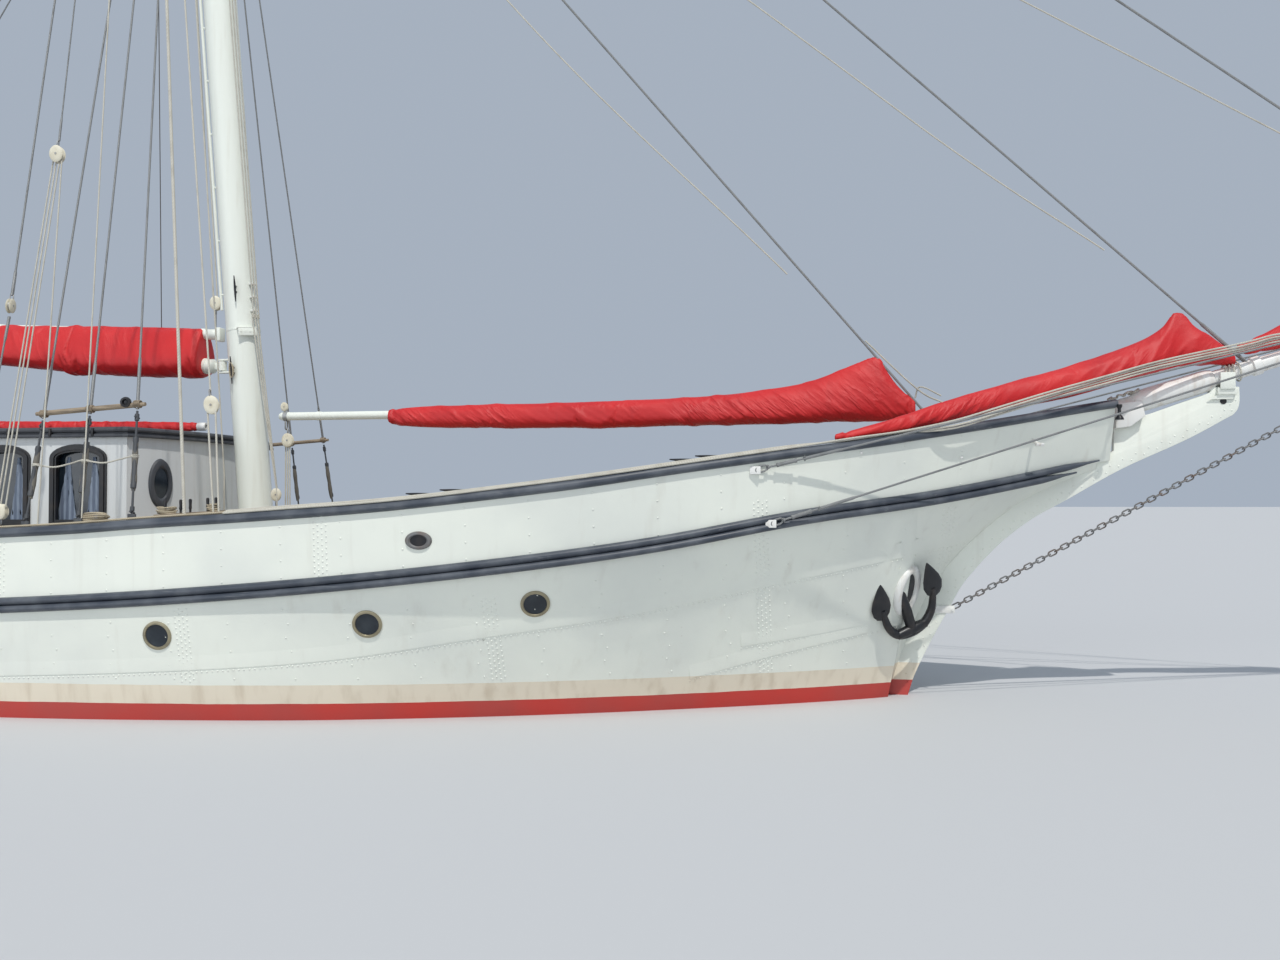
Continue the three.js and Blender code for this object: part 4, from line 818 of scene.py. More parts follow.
def eased(profile, cut=0.22):
    """Rounds a closed profile's corners once."""
    p = np.asarray(profile, float)
    after = np.roll(p, -1, axis=0)
    return np.stack([p + (after - p) * cut, p + (after - p) * (1 - cut)], axis=1).reshape(-1, 2)


def bulwark_rings(xs):
    deck, rail = deck_edge(xs) + 0.0004, rail_z(xs)
    bd, br = line(xs, "bd"), line(xs, "br")
    rings = []
    for t, inset in ((0, 0), (0.33, 0), (0.66, 0), (1, 0), (1, 1), (0.66, 1), (0.33, 1), (0, 1)):
        y = bd + (br - bd) * t
        y = np.maximum(0.008, y - BULWARK_THICK) if inset else y
        rings.append(np.stack([xs, -y, deck + (rail - deck) * t], axis=-1))
    return np.stack(rings, axis=1)


both_sides(lambda bm: skin(bm, bulwark_rings(stations_between(STERN_SPLIT, RAIL_END, 0.14))),
           "bulwark_plating", TOPSIDE, replaces=["bulwark"])
stern = plan_path("bd", lambda x: x * 0, STATIONS[0], STERN_SPLIT, 0.02)
stern_top = plan_path("br", lambda x: x * 0, STATIONS[0], STERN_SPLIT, 0.02)
stern_bulwark = bmesh.new()
rows = []
for t, inset in ((0, 0), (0.5, 0), (1, 0), (1, BULWARK_THICK), (0, BULWARK_THICK)):
    edge = stern * (1 - t) + stern_top * t
    whole = evenly(np.concatenate([edge[::-1], edge * (1, -1, 1)]), 0.12)
    ahead = np.gradient(whole, axis=0)
    inward = np.stack([-ahead[:, 1], ahead[:, 0]], axis=-1)
    inward /= np.linalg.norm(inward, axis=1, keepdims=True)
    whole[:, :2] -= inward * inset
    x = np.clip(whole[:, 0], STATIONS[0], STERN_SPLIT)
    whole[:, 2] = deck_edge(x) + 0.0004 + line(x, "h") * t
    rows.append(whole)
count = min(len(r) for r in rows)
rows = [np.stack([np.interp(np.linspace(0, len(r) - 1, count), np.arange(len(r)), r[:, i])
                  for i in range(3)], axis=-1) for r in rows]
skin(stern_bulwark, np.stack(rows, axis=1))
piece(stern_bulwark, "bulwark_plating_stern", TOPSIDE, replaces=["bulwark_stern"])

CAP_PROFILE = eased(eased([(-0.085, 0.0004), (-0.085, 0.075), (-0.055, 0.097), (0.015, 0.1), (0.05, 0.072),
                           (0.058, 0.03), (0.02, 0.0004)]))
STRAKE_ROUND = [(0.055 * math.cos(a), 0.041 * math.sin(a)) for a in np.linspace(-1.75, 1.75, 13)]
both_sides(lambda bm: skin(bm, sweep(evenly(plan_path("br", rail_z, STERN_SPLIT, RAIL_END), 0.15), CAP_PROFILE)),
           "cap_rail", ENAMEL, replaces=["cap_rail"])
stern_rail = bmesh.new()
edge = plan_path("br", rail_z, STATIONS[0], STERN_SPLIT, 0.02)
skin(stern_rail, sweep(evenly(np.concatenate([edge[::-1] * (1, -1, 1), edge]), 0.1), CAP_PROFILE))
piece(stern_rail, "cap_rail_aft", ENAMEL, replaces=["cap_rail_stern"])


def strake_lift(x):
    """How far the strake runs above the deck edge: most at the shoulder of the bow."""
    return 0.070 + 0.055 * np.exp(-((x - 11.3) / 1.1) ** 2)


def strakes(bm):
    """Two half-round bars, one over the other; the upper one runs further forward."""
    for drop, last in ((-0.044, 14.62), (-0.124, 14.35)):
        path = plan_path("bd", deck_edge, -15.25, last)
        x, lift = path[:, 0], strake_lift(path[:, 0])
        path[:, 1] -= (line(x, "br") - line(x, "bd")) * lift / line(x, "h")
        path[:, 2] += lift
        path = evenly(path, 0.15)
        taper = np.clip((last - path[:, 0]) / 0.35, 0.25, 1)
        rings = sweep(path, STRAKE_ROUND)
        heart = path[:, None]
        rings = heart + (rings - heart) * taper[:, None, None]
        rings[..., 2] += drop
        skin(bm, rings)


both_sides(strakes, "rub_strake_bars", ENAMEL, sharp=50, replaces=["rub_strake"])

deck = bmesh.new()
xs = stations_between(-15.25, 14.2, 0.3)
inner = np.maximum(0.02, np.minimum(line(xs, "bd"), line(xs, "br")) - BULWARK_THICK - 0.003)
low, high = deck_edge(xs), deck_edge(xs) + DECK_THICK
ring = [(-1, low), (1, low), (1, high), (-1, high)]
skin(deck, np.stack([np.stack([xs, inner * side, z + 0.0004], axis=-1) for side, z in ring], axis=1))
piece(deck, "deck_planking", TEAK, replaces=["deck"])

# %% [markdown]
# ## Stem, beak and the plate that carries the bowsprit
# A clipper bow ends in a plate on edge. Its lower line is one long curve from the keel to the beak,
# so a smooth line is drawn through a few points, and the plate is cut to it like real steel.

# %% The cutwater
STEM_OUTER = [
    (8.95, -2.62), (10.3, -2.33), (11.3, -1.84), (12, -1.12), (12.33, -0.52), (12.502, 0.028),
    (12.587, 0.272), (12.774, 0.661), (12.963, 1.011), (13.148, 1.336), (13.521, 1.759),
    (13.899, 2.067), (14.286, 2.289), (14.88, 2.637), (15.566, 2.962), (15.973, 3.189),
    (16.09, 3.262), (16.14, 3.37), (16.142, 3.56),
]
STEM_INNER = [
    (15.86, 3.56), (15.83, 3.5), (15.2, 3.27), (14.8, 3.16), (14.8, 2.85), (14.5, 2.7), (13.5, 2.3),
    (12.7, 1.7), (12.3, 0.9), (12, 0), (11.6, -0.7), (10.9, -1.4), (9.9, -1.9), (8.95, -2.2),
]
STEM_HALF = 0.054
SPRIT = {"x": 16.0, "z": 3.695, "slope": 0.306, "heel": 13.9, "end": 19.4, "radius": 0.095, "tip": 0.075}


def sprit_z(x):
    return SPRIT["z"] + SPRIT["slope"] * (x - SPRIT["x"])


outer = smooth_path([(x, 0, z) for x, z in STEM_OUTER], 5)[:, [0, 2]]
cutwater = bmesh.new()
slab(cutwater, [*map(tuple, outer), *STEM_INNER], 2 * STEM_HALF, XZ, 0.008)
for side in (-1, 1):
    near, far = sorted((side * 0.104, side * 0.128))
    block(cutwater, (15.92, near, 3.53), (16.08, far, 3.72), 0.01)
    gusset = [(15.80, 3.42), (16.07, 3.42), (16.07, 3.55)]
    slab(cutwater, gusset, 0.012, XZ_AT(side * 0.075), 0.003)
block(cutwater, (15.90, -0.105, 3.47), (16.10, 0.105, 3.55), 0.01)
piece(cutwater, "stem_plate", TOPSIDE, sharp=30, replaces=["cutwater"])
print("stem plate reaches x", STEM_OUTER[-1][0])

# %% [markdown]
# ## Rivets, laps and butts
# The plating is held by thousands of rivets. They read at a glance as rows: a double row down each
# butt, a row along each lap, pairs up each frame, and a double row along the edge of the beak. Each
# head is a low dome of a few faces, copied along rows that are laid out on the plating.

# %% Rivets and plate edges
LAPS = [  # heights of the lapped edges at places along the side
    [(8.1, 0.88), (9.5, 1.09), (11.0, 1.39), (12.3, 1.645), (13.2, 1.82)],
    [(10.1, 0.36), (11.0, 0.59), (12.05, 0.815), (12.5, 0.90)],
    [(10.65, 0.71), (11.35, 0.80), (12.0, 0.905)],
    [(-12.0, 0.50), (-8.0, 0.40), (-3.0, 0.36), (2.0, 0.42), (6.0, 0.60), (8.1, 0.88)],
]
BUTTS = [  # place, foot and top of each butt; on the hull and on the bulwark
    (8.2, 0.42, 1.30), (10.9, 0.40, 1.93), (12.9, 1.50, 2.2), (5.1, 0.42, 1.2), (1.7, 0.45, 1.05),
    (-1.9, 0.4, 1.0), (-5.4, 0.4, 1.05), (-8.7, 0.45, 1.2), (6.59, 1.50, 2.15), (10.9, 2.02, 2.30),
    (3.1, 1.25, 1.85), (-0.6, 1.2, 1.75), (-4.1, 1.2, 1.75), (-7.6, 1.3, 1.85), (-11.0, 1.5, 2.05),
]
FRAMES_AT = np.arange(-11.8, 13.4, 0.62)
RIVET = 0.0115


def rivet(bm):
    """One head, standing on z = 0."""
    cone = {"segments": 7, "radius1": RIVET, "radius2": RIVET * 0.5, "depth": RIVET * 0.55}
    made = bmesh.ops.create_cone(bm, cap_ends=True, **cone)["verts"]
    bmesh.ops.translate(bm, vec=(0, 0, RIVET * 0.27), verts=made)


def along_lap(lap, step, drop=0.0):
    """Places (x, z) a step apart along a lap."""
    path = np.array([(x, 0, z - drop) for x, z in lap])
    return evenly(smooth_path(path), step)[:, [0, 2]]


def rivet_places():
    spots = []
    for lap in LAPS:
        spots += [*along_lap(lap, 0.055, 0.028)]
    for x, foot, top in BUTTS:
        for row in range(4):
            heights = np.arange(foot + (row % 2) * 0.028, top, 0.056)
            spots += [(x + (row - 1.5) * 0.042, z) for z in heights]
    for x in FRAMES_AT:
        low, deck = max(0.45, float(through(STATIONS, POINTS, x)[0][0, 1]) + 0.15), float(deck_edge(x))
        spots += [(x + 0.02 * (-1) ** i, z) for i, z in enumerate(np.arange(low, deck - 0.22, 0.145))]
        spots += [(x, z) for z in np.arange(deck + 0.09, deck + 0.62, 0.17)]
    return spots


def rivets(bm):
    places = []
    for x, z in rivet_places():
        spot, normal = on_side(x, z)
        if spot[1] < -0.09:
            places.append(facing(spot, normal))
    edge = evenly(np.array([(x, 0, z) for x, z in outer if z > 0.1]), 0.075)
    ahead = np.gradient(edge, axis=0)
    for i, (spot, along) in enumerate(zip(edge, ahead)):
        inward = unit((-along[2], 0, along[0]))
        inset = 0.045 + 0.05 * (i % 2)
        places.append(facing(spot + inward * inset - (0, STEM_HALF, 0), (0, -1, 0)))
    many(bm, rivet, places)


def laps(bm):
    """The lower edge of each outside plate, standing 5 mm proud and dying into the plating."""
    for lap in LAPS:
        rings = []
        for x, z in along_lap(lap, 0.12):
            rise = ((0, -0.001), (-0.001, 0.006), (0.05, 0.006), (0.16, -0.001))
            rings.append([on_side(x, z + up, off)[0] for up, off in rise])
        skin(bm, rings)


both_sides(rivets, "rivets", TOPSIDE, sharp=60)
both_sides(laps, "plate_laps", TOPSIDE)
print("rivets to a side:", len(rivet_places()))

# %% [markdown]
# ## Masts
# Each mast is a raked steel pole. It is straight for the lower half and then tapers to a truck. A
# band with eyes carries the crosstrees and the shrouds. On its aft side a track for the sail stands
# off on small posts, and at the foot a collar closes the hole in the deck.

# %% The two masts
RAKE = math.radians(4.8)
NECK = 0.33  # from a mast's axis to the pin its boom swings on
FORE = {"name": "fore", "x": 4.25, "top": 18.9, "hounds": 14.6, "foot": 0.215, "head": 0.12, "boom": 4.06,
        "gaff": 4.48, "end": -3.9, "r": 0.095, "gaff_end": -2.9, "gaff_r": 0.07, "cover": (3.44, -3.65), "rise": 0.055}
MAIN = {"name": "main", "x": -4.6, "top": 20.8, "hounds": 16.2, "foot": 0.225, "head": 0.125, "boom": 4.06,
        "gaff": 4.5, "end": -15.9, "r": 0.11, "gaff_end": -13.2, "gaff_r": 0.075, "cover": (-5.35, -14.9), "rise": 0}


def deck_top(x):
    return float(deck_edge(x)) + DECK_THICK


def on_mast(m, z):
    return np.array([m["x"] - math.tan(RAKE) * (z - deck_top(m["x"])), 0, z])


def mast_place(m):
    """The mast's own place: z up its axis from the deck."""
    return Matrix.Translation((m["x"], 0, deck_top(m["x"]))) @ Matrix.Rotation(-RAKE, 4, "Y")


def up_mast(m, z):
    return (z - deck_top(m["x"])) / math.cos(RAKE)


def mast(bm, m):
    place, up, foot = mast_place(m), (lambda z: up_mast(m, z)), m["foot"]
    length, band = up(m["top"]), up(m["hounds"])
    profile = [(0, 0.005), (foot + 0.055, 0.005), (foot + 0.055, 0.05), (foot + 0.03, 0.09), (foot, 0.1)]
    for t in np.linspace(0.02, 1, 30):
        taper = max(0, (t - 0.52) / 0.48) ** 1.15
        profile.append((foot + (m["head"] - foot) * taper, 0.1 + (length - 0.23) * t))
    profile += [(m["head"] + 0.025, length - 0.115), (m["head"] + 0.025, length - 0.03), (0.06, length), (0, length)]
    turned(bm, profile, place, 48)
    rim = [(foot - 0.02, band), (foot + 0.04, band + 0.004), (foot + 0.045, band + 0.07),
           (foot + 0.04, band + 0.136), (foot - 0.02, band + 0.14)]
    turned(bm, rim, place, 40)
    for side in (-1, 1):
        arm = [(-0.06, 0, band + 0.3), (-0.09, side * 1.15, band + 0.33)]
        bar(bm, *[place @ Vector(v) for v in arm], 0.045, 0.03, 12, 4)
        ends = [(x, side * 1.12, band + 0.325) for x in (-0.42, 0.26)]
        bar(bm, *[place @ Vector(v) for v in ends], 0.018, None, 10, 2)
        eye = place @ Vector((0, side * (foot + 0.05), band + 0.07))
        block(bm, eye - Vector((0.10, 0.02, 0.05)), eye + Vector((0.10, 0.02, 0.05)), 0.01)
    back = -foot - 0.07
    bar(bm, place @ Vector((back, 0, up(m["gaff"]) + 0.35)), place @ Vector((back, 0, band - 0.7)), 0.02, None, 8, 12)
    for i in range(13):
        z = up(m["gaff"]) + 0.55 + i * 0.72
        bar(bm, place @ Vector((back + 0.09, 0, z)), place @ Vector((back, 0, z)), 0.014, None, 6)
    pin = on_mast(m, m["boom"]) - (NECK, 0, 0)
    for rise in (-0.082, 0.082):
        low = (pin[0] - 0.045, -0.04, pin[2] + rise - 0.012)
        block(bm, low, (on_mast(m, m["boom"])[0] - foot + 0.05, 0.04, pin[2] + rise + 0.012), 0.004)
    bar(bm, pin - (0, 0, 0.092), pin + (0, 0, 0.092), 0.018, None, 16)


for m in (FORE, MAIN):
    single(lambda bm: mast(bm, m), f"{m['name']}mast_pole", MAST_WHITE, sharp=35, replaces=[f"{m['name']}mast"])
print("foremast head at", on_mast(FORE, FORE["top"]).round(2))

# %% [markdown]
# ## Booms, gaffs and the bowsprit
# A boom hangs on a gooseneck: a pin between two arms on the mast. Its gaff lies on top of it when
# the sail is down. The bowsprit is a steel tube through the saddle on the beak, with bands for the
# stays and a cap at its end.

# %% Spars
def spar(bm, a, b, r, r_end, bands=(), sides=32):
    """A round spar with rounded ends and raised bands at shares of its length."""
    a, b = np.asarray(a, float), np.asarray(b, float)
    length = np.linalg.norm(b - a)
    shares = np.linspace(0, 1, 14)[1:-1]
    ends = [(0.0, 0.25), (0.01 / length, 0.7), (0.04 / length, 1.0)]
    knots = ends + [(t, 1.0) for t in shares] + [(1 - t, k) for t, k in reversed(ends)]
    for t in bands:
        w = 0.03 / length
        knots += [(t - w, 1.0), (t - w * 0.9, 1.10), (t + w * 0.9, 1.10), (t + w, 1.0)]
    knots.sort()
    t = np.array([k[0] for k in knots])[:, None]
    radii = [(r + (r_end - r) * k[0]) * k[1] for k in knots]
    skin(bm, around(a + (b - a) * t, radii, sides))


for m in (FORE, MAIN):
    pin = on_mast(m, m["boom"]) - (NECK, 0, 0)
    end = np.array([m["end"], 0, m["boom"] + m["rise"] * (pin[0] - 0.09 - m["end"])])
    bm = bmesh.new()
    spar(bm, pin - (0.09, 0, 0), end, m["r"], m["r"] * 0.85, (0.02, 0.3, 0.62, 0.94, 0.985))
    turned(bm, [(0.019, -0.06), (0.052, -0.06), (0.052, 0.06), (0.019, 0.06), (0.019, -0.06)],
           Matrix.Translation(pin), 24)
    block(bm, pin + (-0.14, -0.03, -0.045), pin + (-0.045, 0.03, 0.045), 0.006)
    piece(bm, f"{m['name']}_boom_spar", MAST_WHITE, f"{m['name']}_sail_gear",
          replaces=[f"{m['name']}_boom"])
    jaw = on_mast(m, m["gaff"])[0] - NECK + 0.02
    bm = bmesh.new()
    peak = (m["gaff_end"], 0, m["gaff"] - 0.04 + m["rise"] * (jaw - m["gaff_end"]))
    spar(bm, (jaw, 0, m["gaff"]), peak, m["gaff_r"], m["gaff_r"] * 0.8, (0.04, 0.5, 0.97))
    block(bm, (jaw - 0.06, -0.07, m["gaff"] - 0.09), (jaw + 0.01, 0.07, m["gaff"] + 0.09), 0.012)
    piece(bm, f"{m['name']}_gaff_spar", MAST_WHITE, f"{m['name']}_sail_gear", replaces=[f"{m['name']}_gaff"])

CLUB = {"pin": 12.52, "end": 4.5, "z": 3.385, "r": 0.058}
bm = bmesh.new()
spar(bm, (CLUB["pin"] - 0.06, 0, CLUB["z"]), (CLUB["end"], 0, CLUB["z"]), CLUB["r"], CLUB["r"] * 0.9, (0.985, 0.93))
turned(bm, [(0.019, -0.045), (0.048, -0.045), (0.048, 0.045), (0.019, 0.045), (0.019, -0.045)],
       Matrix.Translation((CLUB["pin"], 0, CLUB["z"])), 24)
block(bm, (CLUB["pin"] - 0.13, -0.024, CLUB["z"] - 0.036), (CLUB["pin"] - 0.04, 0.024, CLUB["z"] + 0.036), 0.005)
piece(bm, "staysail_boom_spar", MAST_WHITE, "staysail_gear", replaces=["staysail_boom"])
bm = bmesh.new()
floor_z = deck_top(CLUB["pin"])
turned(bm, [(0, floor_z), (0.13, floor_z), (0.125, floor_z + 0.04), (0.07, floor_z + 0.07), (0.06, floor_z + 0.2),
            (0.05, CLUB["z"] - 0.06), (0.05, CLUB["z"] - 0.052), (0.018, CLUB["z"] - 0.052),
            (0.018, CLUB["z"] + 0.051), (0.034, CLUB["z"] + 0.052), (0.03, CLUB["z"] + 0.075), (0, CLUB["z"] + 0.075)],
       Matrix.Translation((CLUB["pin"], 0, 0)), 28)
piece(bm, "staysail_post", FITTING_WHITE, replaces=["staysail_boom_post"])


def sprit_at(x, up=0.0, y=0.0):
    return np.array([x, y, sprit_z(x) + up])


OUTER_STAY, JIB_STAY = 19.09, 16.21
bm = bmesh.new()
spar(bm, sprit_at(SPRIT["heel"]), sprit_at(SPRIT["end"]), SPRIT["radius"], SPRIT["tip"], (0.3, 0.62), 40)
for x, r in ((OUTER_STAY, 0.096), (JIB_STAY + 0.12, 0.108)):
    ring = [sprit_at(x + d) for d in (-0.045, -0.04, 0.04, 0.045)]
    skin(bm, around(ring, [r * 0.93, r, r, r * 0.93], 40))
muff = [sprit_at(x) for x in (15.02, 15.03, 15.07, 15.14, 15.74, 15.82, 15.87, 15.88)]
skin(bm, around(muff, [0.09, 0.105, 0.121, 0.127, 0.127, 0.121, 0.105, 0.09], 40))
block(bm, (SPRIT["heel"], -0.11, deck_top(13.9)), (SPRIT["heel"] + 0.23, 0.11, sprit_z(SPRIT["heel"]) + 0.06), 0.012)
piece(bm, "bowsprit_tube", FITTING_WHITE, replaces=["bowsprit"])
print("bowsprit end", sprit_at(SPRIT["end"]).round(2))

# %% [markdown]
# ## Wires and their screws
# A stay is laid wire. Where it turns back round an eye it is served with tarred twine, which makes it
# thicker. Its lower end has a screw: two threaded rods in one body, pinned to a plate on the ship.

# %% Wires, screws, shackles
def wire(bm, a, b, r=0.013, served=(0.5, 0.5), steps=6):
    """A wire, thicker where it is served at each end."""
    a, b = np.asarray(a, float), np.asarray(b, float)
    length = np.linalg.norm(b - a)
    first, last = served[0] / length, 1 - served[1] / length
    knots = [(0, 1.55), (first, 1.5), (first + 0.04 / length, 1)]
    knots += [(t, 1) for t in np.linspace(first + 0.1 / length, last - 0.1 / length, steps)]
    knots += [(last - 0.04 / length, 1), (last, 1.5), (1, 1.55)]
    t = np.array([k[0] for k in knots])[:, None]
    return skin(bm, around(a + (b - a) * t, [r * k[1] for k in knots], 8))


def screw(bm, a, b, r=0.026, plate=True):
    """A rigging screw from its plate at a to its fork at b."""
    a, b = np.asarray(a, float), np.asarray(b, float)
    run = [(0.02, 0.5), (0.06, 0.5), (0.06, 0.95), (0.10, 0.95), (0.10, 0.5), (0.27, 0.5), (0.27, 1.15), (0.30, 1.25),
           (0.33, 1.0), (0.68, 1.0), (0.71, 1.25), (0.74, 1.15), (0.74, 0.5), (0.90, 0.5), (0.90, 0.95),
           (0.96, 0.95), (0.96, 0.5), (0.99, 0.5)]
    t = np.array([k[0] for k in run])[:, None]
    skin(bm, around(a + (b - a) * t, [r * k[1] for k in run], 12))
    across = unit(np.cross(b - a, (1, 0, 0)))
    for end in (a + (b - a) * 0.05, a + (b - a) * 0.93):
        bar(bm, end - across * r * 1.6, end + across * r * 1.6, r * 0.45, None, 8)
    if plate:
        low = a - (0.045, 0.010, 0.09)
        block(bm, low, a + (0.045, 0.010, 0.04), 0.004)


def link(bm, spot, along, across, length, width, thick, sides=10, sag=0):
    """A chain link, or a shackle's bow: an oval of round bar."""
    along, across = unit(along), unit(across)
    flat = (length - width) / 2
    path = []
    for a in np.linspace(0, 2 * math.pi, 15)[:-1]:
        shift = flat if math.sin(a) > 0 else -flat
        path.append(np.asarray(spot) + across * width / 2 * math.cos(a) + along * (shift + width / 2 * math.sin(a)))
    path = np.array(path)
    ahead = np.roll(path, -1, axis=0) - np.roll(path, 1, axis=0)
    flatwise = unit(np.cross(along, across))
    rings = []
    for p, t in zip(path, ahead):
        out = unit(np.cross(t, flatwise))
        turns = 2 * math.pi * np.arange(sides) / sides
        rings.append(p + thick * (np.outer(np.cos(turns), out) + np.outer(np.sin(turns), flatwise)))
    rings.append(rings[0])
    return skin(bm, rings, caps=False)


def rail_top(x):
    return float(np.ravel(rail_z(x))[0]) + RAIL_THICK


def rail_spot(x, inward=0.04, up=0.0):
    """A place on top of the starboard rail."""
    return np.array([x, -float(line(x, "br")[0]) + inward, rail_top(x) + up])


def shroud_lines(m, rail_x):
    """Foot, knee at the bar, and top of each of three shrouds."""
    top = on_mast(m, m["hounds"] + 0.07)
    top[1] = -m["foot"] - 0.043
    lines = []
    for dx in (-0.6, 0, 0.6):
        level = rail_top(rail_x) + 1.21 + dx * 0.075
        foot = rail_spot(rail_x + dx, up=-0.04)
        lines.append((foot, foot + (top - foot) * (level - foot[2]) / (top[2] - foot[2]), top))
    return lines


def shroud_wires(bm, rows):
    for foot, knee, top in rows:
        wire(bm, knee - (knee - foot) * 0.04, top, 0.0115, (0.55, 0.4), 10)


def shroud_screws(bm, rows):
    """Screws from the rail up to the bar, each with its middle wrapped in canvas."""
    for foot, knee, top in rows:
        screw(bm, foot + (0, 0, 0.06), knee - (knee - foot) * 0.05, 0.024)
        block(bm, foot + (-0.055, -0.02, 0.035), foot + (0.055, 0.02, 0.052), 0.004)


def screw_wraps(bm, rows):
    for foot, knee, top in rows:
        low, high = foot + (knee - foot) * 0.27, foot + (knee - foot) * 0.70
        steps = np.linspace(0, 1, 12)[:, None]
        tied_in = np.abs(steps[:, 0] - 0.5) > 0.48
        lumps = 0.029 + 0.003 * np.sin(np.linspace(0, 15, 12) + foot[0]) - 0.008 * tied_in
        skin(bm, around(low + (high - low) * steps, lumps, 14))


def sheer_pole(bm, rows):
    first, last = rows[0][1], rows[2][1]
    a, b = first - (0.09, 0, 0), last + (0.09, 0, 0)
    shares = np.linspace(0, 1, 12)[:, None]
    skin(bm, around(a + (b - a) * shares, [0.02, *[0.028] * 10, 0.02], 14))
    for foot, knee, top in rows:
        for turn in np.linspace(-0.03, 0.03, 5):
            skin(bm, around([knee + (turn, 0.036 * math.cos(t), 0.036 * math.sin(t)) for t in np.linspace(0, 6.3, 13)],
                            0.007, 6))


for m, places in ((FORE, (("starboard", 1, 3.97), ("port", -1, 3.17))),
                  (MAIN, (("starboard", 1, -4.9), ("port", -1, -4.9)))):
    for side, sign, rail_x in places:
        rows = shroud_lines(m, rail_x)
        name = m["name"]
        on_one_side(lambda bm: shroud_wires(bm, rows), f"{name}_shroud_wires", WIRE_ROPE, side, sign,
                    replaces=[f"{name}_shrouds"])
        on_one_side(lambda bm: shroud_screws(bm, rows), f"{name}_shroud_screws", SCREW_GREY, side, sign)
        on_one_side(lambda bm: screw_wraps(bm, rows), f"{name}_screw_wraps", OLD_CANVAS, side, sign)
        on_one_side(lambda bm: sheer_pole(bm, rows), f"{name}_sheer_pole", GREY_WOOD, side, sign)

bm = bmesh.new()
foot = np.array([13.4, 0, deck_top(13.4)])
head = on_mast(FORE, 14.79)
along = unit(head - foot)
wire(bm, foot + along * 0.62, head, 0.014, (0.5, 0.5), 16)
piece(bm, "fore_stay_wire", WIRE_ROPE, replaces=["fore_stay"])
single(lambda bm: screw(bm, foot + along * 0.09, foot + along * 0.64, 0.026), "fore_stay_screw", GALVANISED)
for name, z, x in (("jib_stay", 16.58, JIB_STAY), ("outer_jib_stay", 17.6, OUTER_STAY)):
    bm = bmesh.new()
    foot = sprit_at(x, 0.10)
    wire(bm, foot, on_mast(FORE, z), 0.014, (0.6, 0.5), 16)
    link(bm, foot, unit(on_mast(FORE, z) - foot), (0, 1, 0), 0.13, 0.07, 0.012)
    piece(bm, f"{name}_wire", WIRE_ROPE, replaces=[name])
single(lambda bm: wire(bm, on_mast(FORE, 18.0), on_mast(MAIN, 18.5), 0.012, (0.4, 0.4), 10),
       "triatic_stay_wire", WIRE_ROPE, replaces=["triatic_stay"])


def guys(bm):
    end = np.array([OUTER_STAY, -0.113, sprit_z(OUTER_STAY) - 0.01])
    for x, up in ((10.85, 0.60), (10.98, 0.045)):
        spot, normal = on_side(x, float(deck_edge(x)) + up)
        spot = spot + normal * (0.075 if up < 0.1 else 0.03)
        along = unit(end - spot)
        screw(bm, spot + along * 0.10, spot + along * 0.55, 0.019, plate=False)
        link(bm, spot + along * 0.06, along, (0, 0, 1), 0.12, 0.06, 0.009)
        wire(bm, spot + along * 0.53, end, 0.011, (0.35, 0.35), 10)


def guy_plates(bm):
    for x, up in ((10.85, 0.60), (10.98, 0.045)):
        spot, normal = on_side(x, float(deck_edge(x)) + up)
        spot = spot + normal * (0.075 if up < 0.1 else 0.03)
        block(bm, spot - (0.06, 0.006, 0.04), spot + (0.05, 0.02, 0.04), 0.004)


both_sides(guys, "bowsprit_guy_wires", WIRE_ROPE, replaces=["bowsprit_guys"])
both_sides(guy_plates, "bowsprit_guy_plates", FITTING_WHITE)

bm = bmesh.new()
a, b = np.array([13.02, 0, 1.03]), sprit_at(OUTER_STAY, -0.10)
count = int(np.linalg.norm(b - a) / 0.078)
along = unit(b - a)
for i in range(count):
    across = (0, 1, 0) if i % 2 else np.cross(along, (0, 1, 0))
    link(bm, a + along * (0.078 * (i + 0.5)), along, across, 0.100, 0.054, 0.0085, 6)
piece(bm, "bobstay_chain", CHAIN_IRON, replaces=["bobstay"])
bm = bmesh.new()
block(bm, (12.80, -0.070, 0.965), (13.03, -0.045, 1.055), 0.01)
block(bm, (12.80, 0.045, 0.965), (13.03, 0.070, 1.055), 0.01)
bar(bm, (13.005, -0.085, 1.01), (13.005, 0.085, 1.01), 0.016, None, 10)
piece(bm, "bobstay_lugs", FITTING_WHITE)
print("chain links:", count)

# %% [markdown]
# ## Saloon
# The deckhouse between the masts has painted walls with arched windows in thick dark frames, curtains
# behind the glass, and a rounded front with two portholes. Its roof has a dark moulding with a gutter.

# %% Saloon walls, windows and roof
SALOON = {"aft": -2.3, "corner": 3.45, "front": 3.74, "half": 1.65, "roof": 3.03, "thick": 0.14, "wall": 0.06}
WINDOW = {"width": 0.64, "sill": 2.02, "spring": 2.785, "rise": 0.11}
WINDOWS = [2.82 - 1.01 * i for i in range(5)]


def saloon_plan(grow=0.0, steps=24):
    """The house's outline in plan, walked from the aft starboard corner forwards and back."""
    sagitta = SALOON["front"] - SALOON["corner"]
    radius = (SALOON["half"] ** 2 + sagitta**2) / (2 * sagitta)
    reach = math.asin(SALOON["half"] / radius)
    arc = [(SALOON["front"] - radius + (radius + grow) * math.cos(a), (radius + grow) * math.sin(a))
           for a in np.linspace(-reach, reach, steps)]
    arc[0] = (arc[0][0], -SALOON["half"] - grow)
    arc[-1] = (arc[-1][0], SALOON["half"] + grow)
    return [(SALOON["aft"] - grow, -SALOON["half"] - grow), *arc, (SALOON["aft"] - grow, SALOON["half"] + grow)]


